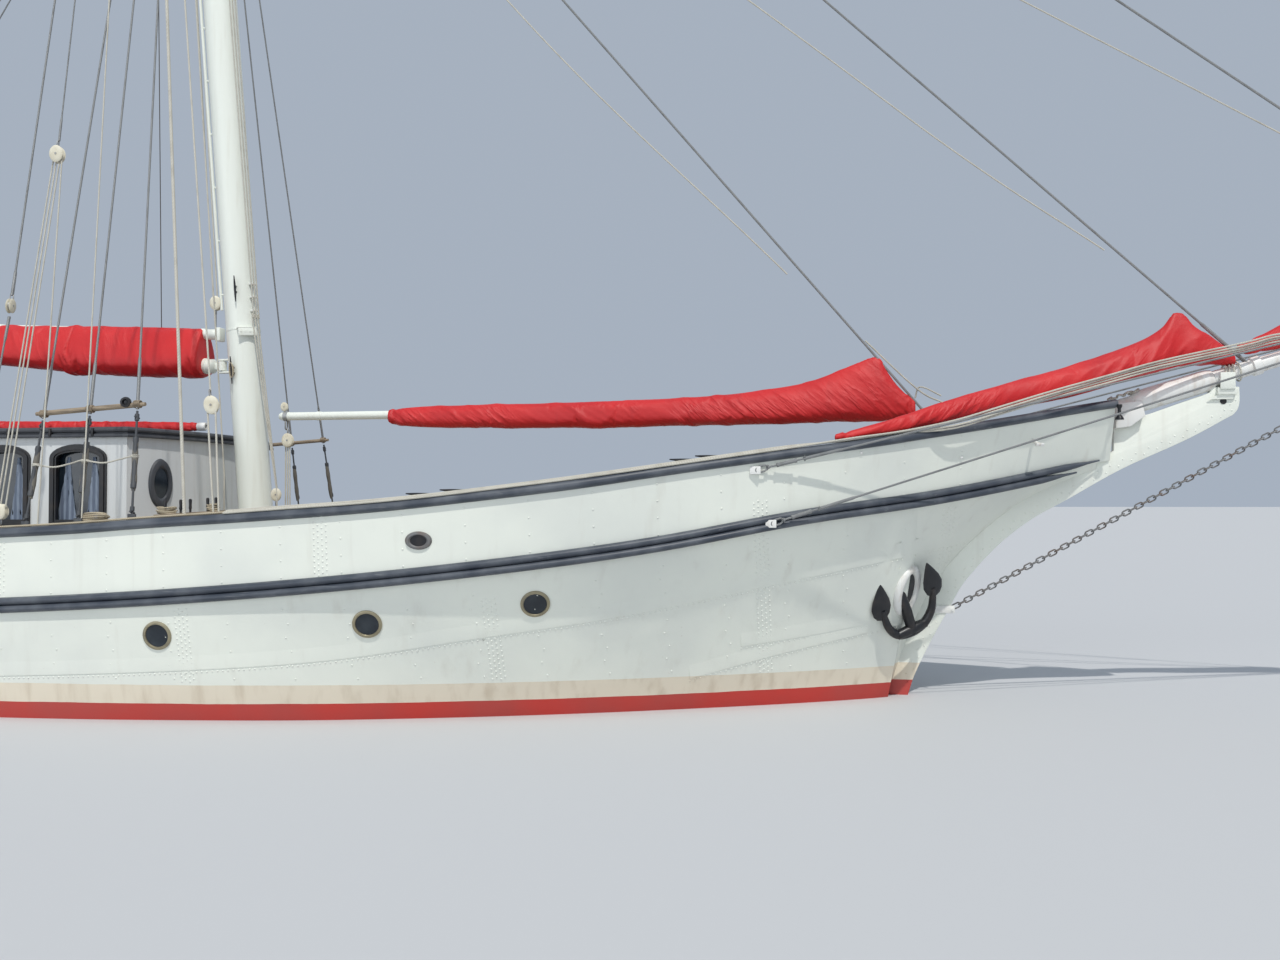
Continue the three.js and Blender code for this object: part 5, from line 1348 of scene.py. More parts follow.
def arch(x, grow=0.0, steps=14):
    """An arched window's outline, in x and z."""
    half = WINDOW["width"] / 2 + grow
    top = [(x + half * math.cos(a), WINDOW["spring"] + (WINDOW["rise"] + grow) * math.sin(a))
           for a in np.linspace(0, math.pi, steps)]
    return [(x - half, WINDOW["sill"] - grow), (x + half, WINDOW["sill"] - grow), *top]


def frame_ring(bm, outer, inner, low, high):
    """A flat frame between two outlines with as many points, from y low to y high."""
    rings = [[(u, y, v) for (u, v), y in ((o, low), (o, high), (i, high), (i, low))] for o, i in zip(outer, inner)]
    skin(bm, [*rings, rings[0]], caps=False)


def saloon_wall(bm):
    """The starboard wall: piers between the windows, and a sill and an arched head at each."""
    y, t, half = -SALOON["half"], SALOON["wall"], WINDOW["width"] / 2
    foot = lambda x: deck_top(x) + 0.001
    edges = [SALOON["aft"], *[v for x in WINDOWS[::-1] for v in (x - half, x + half)], SALOON["corner"]]
    for a, b in zip(edges[::2], edges[1::2]):
        block(bm, (a, y, foot(a)), (b, y + t, SALOON["roof"]), 0)
    for x in WINDOWS:
        a, b = x - half, x + half
        block(bm, (a, y, foot(a)), (b, y + t, WINDOW["sill"]), 0)
        head = [(b, SALOON["roof"]), (a, SALOON["roof"]), *reversed(arch(x)[2:])]
        slab(bm, head, t, XZ_AT(y + t / 2))


def rings_from(bm, centre, normal, profile, sides=40, squash=1.0):
    """A round frame: (radius, height off the surface) pairs turned round a spot on a surface."""
    place = facing(centre, normal) @ Matrix.Diagonal((1, squash, 1, 1))
    turned(bm, profile, place, sides)


bm = bmesh.new()
saloon_wall(bm)
mirror = bmesh.ops.duplicate(bm, geom=bm.verts[:] + bm.edges[:] + bm.faces[:])["geom"]
twin = [g for g in mirror if isinstance(g, bmesh.types.BMVert)]
bmesh.ops.scale(bm, vec=(1, -1, 1), verts=twin)
bmesh.ops.reverse_faces(bm, faces=[g for g in mirror if isinstance(g, bmesh.types.BMFace)])
arc = saloon_plan()[1:-1]
inner = saloon_plan(-SALOON["wall"])[1:-1]
low = deck_top(3.5) + 0.001
skin(bm, [[(*o, low), (*o, SALOON["roof"]), (*i, SALOON["roof"]), (*i, low)] for o, i in zip(arc, inner)])
aft = SALOON["aft"]
for y0, y1, z0, z1 in ((-1.65, -0.36, deck_top(aft) + 0.001, 3.03), (0.36, 1.65, deck_top(aft) + 0.001, 3.03),
                       (-0.36, 0.36, 2.9, 3.03), (-0.36, 0.36, deck_top(aft) + 0.001, 1.26)):
    block(bm, (aft, y0, z0), (aft + 0.06, y1, z1), 0)
piece(bm, "saloon_walling", HOUSE_WHITE, replaces=["saloon_walls"])


def window_frames(bm):
    y = -SALOON["half"]
    for x in WINDOWS:
        frame_ring(bm, arch(x, 0.055), arch(x, -0.035), y - 0.022, y + 0.03)
        frame_ring(bm, arch(x, 0.03), arch(x, -0.01), y - 0.034, y - 0.02)


def panes(bm):
    y = -SALOON["half"] + SALOON["wall"]
    block(bm, (WINDOWS[-1] - 0.44, y + 0.0004, 1.96), (WINDOWS[0] + 0.43, y + 0.012, 2.99), 0)


both_sides(window_frames, "saloon_window_frames", BLACK_IRON)
both_sides(panes, "saloon_panes", GLASS, replaces=["saloon_glass"])


def curtains(bm):
    """Two curtains to a window, gathered in the middle of their height and spread at the foot."""
    y = -SALOON["half"] + SALOON["wall"] - 0.008
    for x in WINDOWS:
        for side in (-1, 1):
            rows = []
            for t in np.linspace(0, 1, 14):
                half = 0.018 + 0.125 * t**1.25
                u = x + side * (0.17 + 0.03 * t) + np.linspace(-half, half, 17)
                folds = 0.006 * np.sin((u - x) * 150 / (0.4 + t))
                front = [(a, y - b, 2.80 - 0.78 * t) for a, b in zip(u, folds)]
                rows.append(front + [(a, y + 0.006, 2.80 - 0.78 * t) for a in u[::-1]])
            skin(bm, rows)


both_sides(curtains, "saloon_curtains", CURTAIN)
bm = bmesh.new()
for y in (-1.2, 1.2):
    sagitta = SALOON["front"] - SALOON["corner"]
    radius = (SALOON["half"] ** 2 + sagitta**2) / (2 * sagitta)
    a = math.asin(y / radius)
    normal = np.array([math.cos(a), math.sin(a), 0])
    centre = np.array([SALOON["front"] - radius + radius * math.cos(a), y, 2.49])
    profile = [(0.108, -0.04), (0.108, 0.015), (0.117, 0.03), (0.140, 0.035), (0.165, 0.025), (0.178, -0.005)]
    rings_from(bm, centre, normal, profile, 40, 1.70)
piece(bm, "saloon_port_rims", ROOF)
bm = bmesh.new()
for y in (-1.2, 1.2):
    a = math.asin(y / radius)
    normal = np.array([math.cos(a), math.sin(a), 0])
    centre = np.array([SALOON["front"] - radius + radius * math.cos(a), y, 2.49])
    rings_from(bm, centre, normal, [(0, 0.008), (0.112, 0.008), (0.121, -0.03), (0, -0.03)], 32, 1.70)
piece(bm, "saloon_port_panes", GLASS)

bm = bmesh.new()
levels = [(0.0, SALOON["roof"] + 0.001), (0.055, SALOON["roof"] + 0.001), (0.06, 3.045), (0.055, 3.062), (0.03, 3.07),
          (0.026, 3.085), (0.048, 3.095), (0.055, 3.115), (0.045, 3.138), (0.01, 3.152), (-0.25, 3.162), (-0.8, 3.168)]
rings = [[(x, y, z) for x, y in saloon_plan(grow)] for grow, z in levels]
skin(bm, rings)
piece(bm, "saloon_roofing", ROOF, replaces=["saloon_roof"])


y, z = -0.3, 3.242


def chocks(bm):
    for x in (-1.8, 0, 1.6, 3.2):
        block(bm, (x - 0.03, y - 0.045, 3.165), (x + 0.03, y + 0.045, z - 0.045), 0.006)
    for x in np.arange(-2.0, 3.4, 0.56):
        block(bm, (x - 0.014, -1.722, 3.04), (x + 0.014, -1.69, 3.135), 0.003)


single(chocks, "awning_chocks", BLACK_IRON)
bm = bmesh.new()
turned(bm, [(0.028, 0), (0.052, 0), (0.054, 0.02), (0.052, 0.10), (0.046, 0.11), (0.028, 0.11), (0.028, 0.0)],
       frame_at((3.53, y, z), (0, 1, 0), (0, 0, 1), (1, 0, 0)), 28)
piece(bm, "awning_end", FITTING_WHITE)
print("windows a side:", len(WINDOWS))

# %% [markdown]
# ## Portholes, hawse lips and the anchors
# Small portholes sit flush in the plating in thin brass rims. The anchor's cable comes out of an oval
# lip on each bow, and the anchor is hauled up under it, with its two palms to either side.

# %% Openings in the side, and the anchors
PORTHOLES = [(8.65, 1.23), (6.99, 1.03), (4.83, 0.90)]
PORTHOLES += [(x, float(deck_edge(x)) - 0.40) for x in (2.6, 0.3, -2.0, -4.3, -6.6, -8.9, -11.2)]
FAIRLEADS = [(7.58, 1.88), (-0.9, 1.50), (-10.4, 1.78)]


def port_rims(bm):
    for x, z in PORTHOLES:
        profile = [(0.118, -0.02), (0.118, 0.010), (0.122, 0.017), (0.140, 0.017), (0.150, 0.011), (0.152, -0.012)]
        rings_from(bm, *on_side(x, z), profile, 36)
        spot, normal = on_side(x, z)
        place = facing(spot, normal)
        for a in np.arange(0, 2 * math.pi, math.pi / 4):
            head = place @ Matrix.Translation((0.131 * math.cos(a), 0.131 * math.sin(a), 0.017))
            turned(bm, [(0, 0.004), (0.005, 0.003), (0.006, 0)], head, 6)


def port_panes(bm):
    for x, z in PORTHOLES:
        rings_from(bm, *on_side(x, z), [(0, 0.006), (0.118, 0.006), (0.121, -0.01), (0, -0.01)], 32)


def fairlead_lips(bm):
    for x, z in FAIRLEADS:
        spot, normal = on_side(x, z)
        place = facing(spot, normal) @ Matrix.Diagonal((1.25, 0.85, 1, 1))
        lip = [(0.072, -0.02), (0.066, 0.012), (0.078, 0.026), (0.098, 0.022), (0.108, 0.004), (0.108, -0.02)]
        turned(bm, lip, place, 32)


# A black disc in each fairlead lip: painted shade for the dark inside of the fairlead.
def fairlead_hole_shades(bm):
    for x, z in FAIRLEADS:
        spot, normal = on_side(x, z)
        place = facing(spot, normal) @ Matrix.Diagonal((1.25, 0.85, 1, 1))
        turned(bm, [(0, 0.006), (0.072, 0.006), (0.075, -0.01), (0, -0.01)], place, 28)


both_sides(port_rims, "port_rims", BRASS)
both_sides(port_panes, "port_panes", GLASS)
both_sides(fairlead_lips, "fairlead_lips", CHAIN_IRON)
both_sides(fairlead_hole_shades, "fairlead_hole_shades", BLACK_IRON)
HAWSE = frame_at((12.4, -0.5701, 1.23), (0.5372, 0.8434, 0), (0.2779, -0.1770, 0.9441), (0.7963, -0.5072, -0.3295))


LIP = HAWSE @ Matrix.Translation((0, 0.05, 0)) @ Matrix.Rotation(math.radians(17), 4, "Z")


def oval(bm, half_wide, half_tall, tube, lift=0.0, sides=56):
    """An oval of round bar, lying on the plating."""
    rings = []
    for a in np.linspace(0, 2 * math.pi, sides + 1):
        centre = Vector((half_wide * math.cos(a), half_tall * math.sin(a), lift))
        out = Vector((math.cos(a) / half_wide, math.sin(a) / half_tall, 0)).normalized()
        turns = np.linspace(0, 2 * math.pi, 17)[:-1]
        rings.append([LIP @ (centre + tube * (out * math.cos(b) + Vector((0, 0, math.sin(b))))) for b in turns])
    skin(bm, rings, caps=False)


def hawse_lips(bm):
    oval(bm, 0.185, 0.265, 0.050, 0.045)


# A black plate inside each hawse lip: painted shade for the dark inside of the hawse pipe.
def hawse_mouth_shade(bm):
    edge = [(0.178 * math.cos(a), 0.260 * math.sin(a)) for a in np.linspace(0, 2 * math.pi, 41)[:-1]]
    slab(bm, edge, 0.02, LIP @ Matrix.Translation((0, 0, 0.045)))


def palm(bm, place):
    """A spade-shaped fluke: rings across it, broad low down and drawn out to a bill."""
    rows = [(-0.172, 0.012, 0.008), (-0.160, 0.050, 0.014), (-0.120, 0.084, 0.018), (-0.050, 0.102, 0.021),
            (0.020, 0.088, 0.021), (0.080, 0.062, 0.019), (0.135, 0.036, 0.015), (0.175, 0.014, 0.010),
            (0.190, 0.004, 0.004)]
    turns = np.linspace(0, 2 * math.pi, 17)[:-1]
    rings = [[place @ Vector((w * math.cos(a), v, t * math.sin(a))) for a in turns] for v, w, t in rows]
    skin(bm, rings)


ANCHOR = (Matrix.Translation((-0.112, 0, 0.068)) @ HAWSE @ Matrix.Translation((0, 0, 0.10))
          @ Matrix.Rotation(math.radians(-23), 4, "Y") @ Matrix.Rotation(math.radians(30), 4, "Z")
          @ Matrix.Diagonal((1.25, 1.25, 1.0, 1)))


def anchor(bm):
    at = lambda u, v, w: np.array(ANCHOR @ Vector((u, v, w)))
    arms = [(-0.252, -0.06), (-0.245, -0.15), (-0.215, -0.275), (-0.135, -0.370), (0, -0.400), (0.14, -0.370),
            (0.235, -0.275), (0.275, -0.15), (0.287, -0.06)]
    path = smooth_path([at(u, v, 0.112) for u, v in arms], 5)
    share = np.abs(np.linspace(-1, 1, len(path)))
    skin(bm, around(path, 0.056 - 0.026 * share**1.5, 14))
    boss = [(-0.16, 0.03), (-0.15, 0.052), (-0.05, 0.062), (0.05, 0.062), (0.15, 0.052), (0.16, 0.03)]
    skin(bm, around([at(u, -0.368, 0.12) for u, r in boss], [r for u, r in boss], 20))
    shank = [(0, -0.40, 0.12, 0.060), (0, -0.32, 0.115, 0.060), (-0.01, -0.18, 0.10, 0.062),
             (-0.025, -0.03, 0.065, 0.062), (-0.04, 0.12, -0.10, 0.058)]
    skin(bm, around([at(u, v, w) for u, v, w, r in shank], [r for u, v, w, r in shank], 12))
    for side, out in ((-1, 0.255), (1, 0.29)):
        palm(bm, ANCHOR @ Matrix.Translation((side * out, 0.02, 0.108)) @ Matrix.Rotation(side * 0.12, 4, "Z"))


both_sides(hawse_lips, "hawse_lips", FITTING_WHITE)
both_sides(hawse_mouth_shade, "hawse_mouth_shade", BLACK_IRON)
both_sides(anchor, "bow_anchor", BLACK_IRON, replaces=["anchor"])
print("portholes a side:", len(PORTHOLES))

# %% [markdown]
# ## Underwater gear
# The keel bar and the rudder are plain painted steel, so the solids themselves stay and take the
# antifouling. The propeller's blades are twisted, so each is a row of blade sections from hub to tip.

# %% Keel, rudder and propeller
def repaint(node, finish):
    """Gives a solid of the frame a finish of its own."""
    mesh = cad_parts[node].data
    for i in range(len(mesh.materials)):
        mesh.materials[i] = finish[0]


for node in ("keel", "rudder"):
    repaint(node, BOTTOM)

SHAFT_Z = -1.72
bm = bmesh.new()
hub = [(0, 0.17), (0.05, 0.17), (0.05, 0.0), (0.10, -0.005), (0.107, -0.05), (0.105, -0.2), (0.098, -0.32),
       (0.088, -0.36), (0.060, -0.42), (0.034, -0.444), (0, -0.446)]
turned(bm, hub, frame_at((-10.345, 0, SHAFT_Z), (0, 1, 0), (0, 0, 1), (1, 0, 0)), 40)
BLADE = [(0.06, 0.190, 62, 0.034), (0.16, 0.27, 50, 0.030), (0.27, 0.335, 39, 0.025), (0.38, 0.362, 32, 0.021),
         (0.48, 0.345, 27, 0.017), (0.56, 0.28, 23.5, 0.012), (0.61, 0.19, 22, 0.009), (0.638, 0.07, 21, 0.005)]
section = [(-0.5, 0), (-0.36, 0.32), (-0.15, 0.5), (0.1, 0.49), (0.32, 0.34), (0.5, 0), (0.32, -0.3), (0.1, -0.42),
           (-0.15, -0.42), (-0.36, -0.28)]
middle = -10.5225
rings = []
for r, chord, turn, thick in BLADE:
    ax, ay = math.sin(math.radians(turn)), math.cos(math.radians(turn))
    rings.append([(middle + c * chord * ax + t * thick * ay, c * chord * ay - t * thick * ax, r) for c, t in section])
for quarter in range(4):
    made = skin(bm, rings)
    place = Matrix.Translation((0, 0, SHAFT_Z)) @ Matrix.Rotation(quarter * math.pi / 2, 4, "X")
    bmesh.ops.transform(bm, matrix=place, verts=made)
piece(bm, "propeller_blades", BRONZE, "propeller", sharp=50, replaces=["propeller"])
print("blade sections:", len(BLADE))

# %% [markdown]
# ## Cabin, doors and helm
# Aft stands a low cabin with a skylight. The wheel is turned wood on the forward face of a box that
# covers the steering gear. Spokes, rim and grips are all turned or swept round, as a joiner makes them.

# %% Aft cabin, skylight and doors
CABIN = {"aft": -8.6, "front": -6.0, "half": 1.25, "roof": 2.33, "thick": 0.09, "wall": 0.05}


def cabin_low(x):
    return deck_top(x) + 0.001


bm = bmesh.new()
c = CABIN
for y0, y1 in ((-c["half"], -c["half"] + c["wall"]), (c["half"] - c["wall"], c["half"])):
    for x0, x1 in ((-8.6, -7.3), (-7.3, -6.0)):
        block(bm, (x0, y0, cabin_low(x0) + 0.0), (x1, y1, c["roof"]), 0)
block(bm, (c["front"] - c["wall"], -c["half"], cabin_low(c["front"])), (c["front"], c["half"], c["roof"]), 0)
for y0, y1, z0, z1 in ((-c["half"], -0.33, cabin_low(-8.6), c["roof"]), (0.33, c["half"], cabin_low(-8.6), c["roof"]),
                       (-0.33, 0.33, 2.24, c["roof"]), (-0.33, 0.33, cabin_low(-8.6), 1.42)):
    block(bm, (c["aft"], y0, z0), (c["aft"] + c["wall"], y1, z1), 0)
piece(bm, "cabin_walling", HOUSE_WHITE, replaces=["cabin_walls"])


def cabin_ports(bm, profile):
    for x in (-8.05, -7.3, -6.55):
        rings_from(bm, (x, -c["half"], 1.96), (0, -1, 0), profile, 36)


CABIN_RIM = [(0.11, -0.002), (0.11, 0.02), (0.118, 0.028), (0.14, 0.026), (0.15, 0.016), (0.15, 0)]
both_sides(lambda bm: cabin_ports(bm, CABIN_RIM),
           "cabin_port_rims", BRASS)
both_sides(lambda bm: cabin_ports(bm, [(0, 0.012), (0.112, 0.012), (0.112, -0.001), (0, -0.001)]),
           "cabin_port_panes", GLASS)
bm = bmesh.new()
rings = []
ROOF_EDGE = ((0.0, 2.331), (0.04, 2.331), (0.045, 2.345), (0.045, 2.372), (0.035, 2.385), (0.005, 2.4),
             (-0.4, 2.414), (-0.9, 2.419))
for grow, z in ROOF_EDGE:
    x0, x1, h = c["aft"] - grow, c["front"] + grow, c["half"] + grow
    corner = 0.05
    ring = []
    for cx, cy, a0 in ((x0, -h, 180), (x1, -h, 270), (x1, h, 0), (x0, h, 90)):
        sx, sy = (1 if cx == x0 else -1), (1 if cy == -h else -1)
        for a in np.radians(np.linspace(a0, a0 + 90, 5)):
            ring.append((cx + sx * corner + corner * math.cos(a), cy + sy * corner + corner * math.sin(a), z))
    rings.append(ring)
skin(bm, rings)
piece(bm, "cabin_roofing", ROOF, replaces=["cabin_roof"])
bm = bmesh.new()
block(bm, (-7.9, -0.42, 2.416), (-6.9, 0.42, 2.60), 0.01)
slab(bm, [(-0.42, 0), (0.42, 0), (0.06, 0.135), (-0.06, 0.135)], 1.0,
     frame_at((-7.4, 0, 2.598), (0, 1, 0), (0, 0, 1), (1, 0, 0)), 0.008)
piece(bm, "skylight_frame", VARNISH)
bm = bmesh.new()
for side in (-1, 1):
    slope = math.atan2(0.135, 0.36)
    normal = Vector((0, side * math.sin(slope), math.cos(slope)))
    for x in (-7.65, -7.15):
        spot = Vector((x, side * 0.245, 2.598 + 0.0675))
        block(bm, (-0.19, -0.13, 0.0), (0.19, 0.13, 0.008), 0.002, facing(spot, normal, (0, -side, 0.3)))
piece(bm, "skylight_panes", GLASS)
bm = bmesh.new()
for side in (-1, 1):
    for i in range(9):
        x = -7.84 + i * 0.11
        bar(bm, (x, side * 0.40, 2.625), (x, side * 0.09, 2.748), 0.006, None, 8)
piece(bm, "skylight_bars", BRASS)


def door(bm, aft, half, sill, head, thick):
    """A framed door with two raised panels, and its hinge pin to port of it."""
    face = aft - 0.005
    block(bm, (face, 0.008 - half, sill + 0.012), (face + thick, half - 0.008, head - 0.008), 0.004)
    middle = sill + (head - sill) * 0.47
    for z0, z1 in ((sill + 0.11, middle - 0.04), (middle + 0.04, head - 0.11)):
        for front, y0, y1 in ((face - 0.012, 0.11 - half, half - 0.11),):
            block(bm, (front, y0, z0), (face + 0.002, y1, z1), 0.008)
    bar(bm, (face - 0.014, half + 0.004, sill + 0.06), (face - 0.014, half + 0.004, head - 0.06), 0.010, None, 12)
    block(bm, (face - 0.02, half - 0.06, sill + 0.12), (face + 0.004, half + 0.004, head - 0.12), 0.003)


DOORS = {"saloon": (SALOON["aft"], 0.36, 1.26, 2.9, 0.045), "cabin": (CABIN["aft"], 0.33, 1.42, 2.24, 0.04)}
for name, sizes in DOORS.items():
    single(lambda bm: door(bm, *sizes), f"{name}_door_leaf", VARNISH, f"{name}_door", replaces=[f"{name}_door"])
    aft, half, sill, head, thick = sizes
    bm = bmesh.new()
    rings_from(bm, (aft - 0.005, 0.07 - half, (sill + head) / 2 - 0.05), (-1, 0, 0),
               [(0, 0.05), (0.018, 0.048), (0.024, 0.038), (0.012, 0.02), (0.011, 0.004), (0.024, 0.002), (0.024, 0)], 20)
    piece(bm, f"{name}_door_knob", BRASS, f"{name}_door")

# %% The helm
WHEEL = {"x": -10.56, "z": 2.29, "rim": 0.56}
bm = bmesh.new()
block(bm, (-11.45, -0.43, deck_top(-11.1) + 0.002), (-10.8, 0.43, 2.17), 0.012)
for i in range(8):
    y = -0.38 + i * 0.1086
    block(bm, (-10.806, y - 0.047, 1.62), (-10.794, y + 0.047, 2.13), 0.005)
box_side = [(-11.48, 2.176), (-10.77, 2.176), (-10.78, 2.205), (-10.9, 2.41), (-11.35, 2.41), (-11.47, 2.205)]
slab(bm, box_side, 0.9, XZ, 0.010)
turned(bm, [(0.0245, 0.0), (0.06, 0.0), (0.062, 0.02), (0.068, 0.09), (0.0245, 0.09), (0.0245, 0.0)],
       frame_at((-10.69, 0, WHEEL["z"]), (0, 1, 0), (0, 0, 1), (-1, 0, 0)), 28)
piece(bm, "gear_box_panels", VARNISH, replaces=["gear_box"])
bm = bmesh.new()
turns = np.linspace(0, 2 * math.pi, 65)
centre = np.array((WHEEL["x"], 0, WHEEL["z"]))
profile = [(0.026, -0.024), (0.026, 0.024), (0.012, 0.031), (-0.012, 0.031), (-0.026, 0.024), (-0.026, -0.024),
           (-0.012, -0.031), (0.012, -0.031)]
rings = [[centre + (w, (WHEEL["rim"] + u) * math.cos(a), (WHEEL["rim"] + u) * math.sin(a)) for u, w in profile]
         for a in turns]
skin(bm, rings, caps=False)
SPOKE = [(0.018, 0.09), (0.018, 0.12), (0.026, 0.15), (0.016, 0.2), (0.024, 0.29), (0.017, 0.38), (0.022, 0.43),
         (0.018, 0.53), (0.018, 0.6), (0.013, 0.62), (0.019, 0.66), (0.020, 0.69), (0.013, 0.725), (0, 0.73)]
for i in range(8):
    a = i * math.pi / 4
    out = Vector((0, math.cos(a), math.sin(a)))
    turned(bm, [(0, 0.09), *SPOKE], frame_at(centre, (1, 0, 0), Vector(out).cross((1, 0, 0)), out), 14)
piece(bm, "wheel_wood", VARNISH, "steering_wheel", replaces=["steering_wheel"])
bm = bmesh.new()
turned(bm, [(0, 0.06), (0.03, 0.06), (0.095, 0.045), (0.1, 0.03), (0.1, -0.03), (0.095, -0.05), (0.03, -0.06),
            (0.024, -0.065), (0.024, -0.28), (0, -0.28)],
       frame_at(centre, (0, 1, 0), (0, 0, 1), (1, 0, 0)), 36)
piece(bm, "wheel_hub", BRASS, "steering_wheel")
print("wheel", round(2 * WHEEL["rim"], 2), "m across the rim")

# %% [markdown]
# ## Foredeck gear
# A hatch with a planked lid and a windlass for the anchor cables stand on the foredeck.

# %% Hatch and windlass
HATCH = {"x": 8.7, "half": 0.475, "top": 2.08}
bm = bmesh.new()
x, h = HATCH["x"], HATCH["half"]
foot = deck_top(x - h) + 0.002
for x0, x1, y0, y1 in ((x - h, x - h + 0.055, -h, h), (x + h - 0.055, x + h, -h, h),
                       (x - h + 0.0551, x + h - 0.0551, -h, -h + 0.055), (x - h + 0.0551, x + h - 0.0551, h - 0.055, h)):
    block(bm, (x0, y0, (deck_top(x1) if x0 > x else foot) + 0.001), (x1, y1, HATCH["top"]), 0.006)
piece(bm, "hatch_curb", VARNISH, replaces=["hatch_coaming"])
bm = bmesh.new()
for i in range(9):
    y0 = -h - 0.03 + i * (2 * h + 0.06) / 9
    y1 = y0 + (2 * h + 0.06) / 9
    block(bm, (x - h - 0.03, y0 + 0.001, HATCH["top"] + 0.014), (x + h - 0.01, y1 - 0.001, HATCH["top"] + 0.06), 0.004)
for x0 in (x - h + 0.07, x + 0.28):
    block(bm, (x0, -h - 0.028, HATCH["top"] + 0.0005), (x0 + 0.09, h + 0.028, HATCH["top"] + 0.016), 0.002)
bar(bm, (x + h + 0.012, -0.3, HATCH["top"] + 0.024), (x + h + 0.012, 0.3, HATCH["top"] + 0.024), 0.011, None, 14)
block(bm, (x + h - 0.02, -0.28, HATCH["top"] + 0.017), (x + h + 0.012, 0.28, HATCH["top"] + 0.031), 0.002)
piece(bm, "hatch_planks", VARNISH, "hatch_lid", replaces=["hatch_lid"])

W = {"x": 11.15, "z": 2.66, "cheek": 0.43}
bm = bmesh.new()
x, z, k = W["x"], W["z"], W["cheek"]
for y in (-k, k):
    outline = [(x - 0.11, deck_top(x) + 0.12), (x + 0.11, deck_top(x) + 0.12), (x + 0.108, z + 0.03), (x + 0.07, z + 0.11),
               (x, z + 0.13), (x - 0.07, z + 0.11), (x - 0.108, z + 0.03)]
    slab(bm, outline, 0.12, XZ_AT(y), 0.012)
    knee = [(x + 0.1, deck_top(x) + 0.12), (x + 0.21, deck_top(x) + 0.12), (x + 0.2, z - 0.26), (x + 0.1, z - 0.26)]
    slab(bm, knee, 0.1, XZ_AT(y), 0.01)
block(bm, (x + 0.19, -k - 0.09, deck_top(x) + 0.12), (x + 0.29, k + 0.09, z - 0.12), 0.012)
slab(bm, [(x - 0.26, deck_top(x - 0.26) + 0.003), (x + 0.32, deck_top(x + 0.32) + 0.003), (x + 0.32, deck_top(x) + 0.13),
          (x - 0.26, deck_top(x) + 0.13)], 2 * (k + 0.11), XZ, 0.01)
piece(bm, "windlass_bitts", ENAMEL, replaces=["windlass_frame"])
bm = bmesh.new()
HALF_DRUM = [(0, 0), (0.118, 0), (0.118, 0.06), (0.108, 0.075), (0.092, 0.10), (0.108, 0.13), (0.118, 0.145), (0.118, 0.19),
             (0.165, 0.195), (0.17, 0.2), (0.17, 0.235), (0.165, 0.24), (0.12, 0.245), (0.118, 0.3), (0.03, 0.305),
             (0.03, k + 0.075), (0.13, k + 0.083), (0.135, k + 0.09), (0.112, k + 0.13), (0.1, k + 0.18), (0.102, k + 0.24),
             (0.125, k + 0.3), (0.15, k + 0.325), (0.146, k + 0.333), (0, k + 0.335)]
for side in (-1, 1):
    turned(bm, HALF_DRUM, frame_at((x, 0, z), (1, 0, 0), (0, 0, -side), (0, side, 0)), 40)
for i in range(24):
    a = i * math.pi / 12
    spot = Vector((x + 0.166 * math.cos(a), 0.2175, z + 0.166 * math.sin(a)))
    block(bm, (-0.011, -0.014, -0.006), (0.011, 0.014, 0.005), 0, facing(spot, (math.cos(a), 0, math.sin(a)), (0, 1, 0)))
piece(bm, "windlass_barrel", BLACK_IRON, "windlass_drum", replaces=["windlass_drum"])
print("windlass at", W["x"])

# %% [markdown]
# ## Sail covers
# Each furled sail lies along its spar in a red canvas cover. Canvas over a soft bundle creases on the
# slant, because its own weight pulls down and the lashings pull along. First the bundle is lofted
# from a few rows with slanting creases pressed into it. Then it is remeshed evenly and Blender's
# cloth takes over: a little air inside and a little too much cloth make it pucker between lashings.

# %% Creases, and the cloth run
def creases(s, turn, seed, pitch, slant, depth):
    """Height of slanting creases at a distance along a bundle and an angle round it."""
    wander = 0.33 * np.sin(1.7 * s + seed) + 0.21 * np.sin(4.3 * s + 2.1 * seed)
    ridge = 1 - np.abs(np.sin(math.pi * ((s + slant * turn) / pitch + wander)))
    fade = 0.55 + 0.45 * np.sin(2.3 * s + 1.6 * turn + seed) * np.sin(0.9 * s - seed)
    return depth * (1.6 * ridge**2.2 - 0.5) * fade


def bundle(bm, rows, seed, step=0.02, sides=72, pear=0.18, square=0.86, pitch=0.42, slant=0.30, depth=0.013, fine=0.13):
    """A furled sail from rows of (x, y, middle, half height, half width); turn 0 faces starboard."""
    rows = np.array(sorted(rows), float)
    x = np.arange(rows[0, 0], rows[-1, 0], step)
    x = np.append(x[:-1], rows[-1, 0])
    at = through(rows[:, 0], rows[:, 1:], x)
    turns = 2 * math.pi * np.arange(sides) / sides
    turns = np.where(turns > math.pi, turns - 2 * math.pi, turns)
    c, s = np.cos(turns), np.sin(turns)
    c, s = np.sign(c) * np.abs(c) ** square, np.sign(s) * np.abs(s) ** square
    peaked = (at[:, 2:3] / at[:, 2].max()) ** 3
    out = c * (1 - (pear + 0.45 * peaked * (pear > 0)) * s)
    swell = creases(x[:, None], turns[None], seed, pitch, slant, depth)
    swell = swell + creases(x[:, None], -turns[None], seed + 2.2, pitch * 2.3, slant * 1.4, depth * 0.6)
    low = 0.65 - 0.35 * s[None]
    swell = swell + creases(x[:, None], turns[None], seed + 1.1, fine, slant * 1.1, depth * 0.75) * low
    ends = np.clip(np.minimum(x - x[0], x[-1] - x) / 0.12, 0, 1)[:, None]
    wide = at[:, 3:4] + swell * ends
    tall = at[:, 2:3] + swell * ends * 0.6
    rings = np.stack([np.broadcast_to(x[:, None], wide.shape[:1] + (sides,)), at[:, 0:1] - wide * out,
                      at[:, 1:2] + tall * s], axis=-1)
    skin(bm, rings)


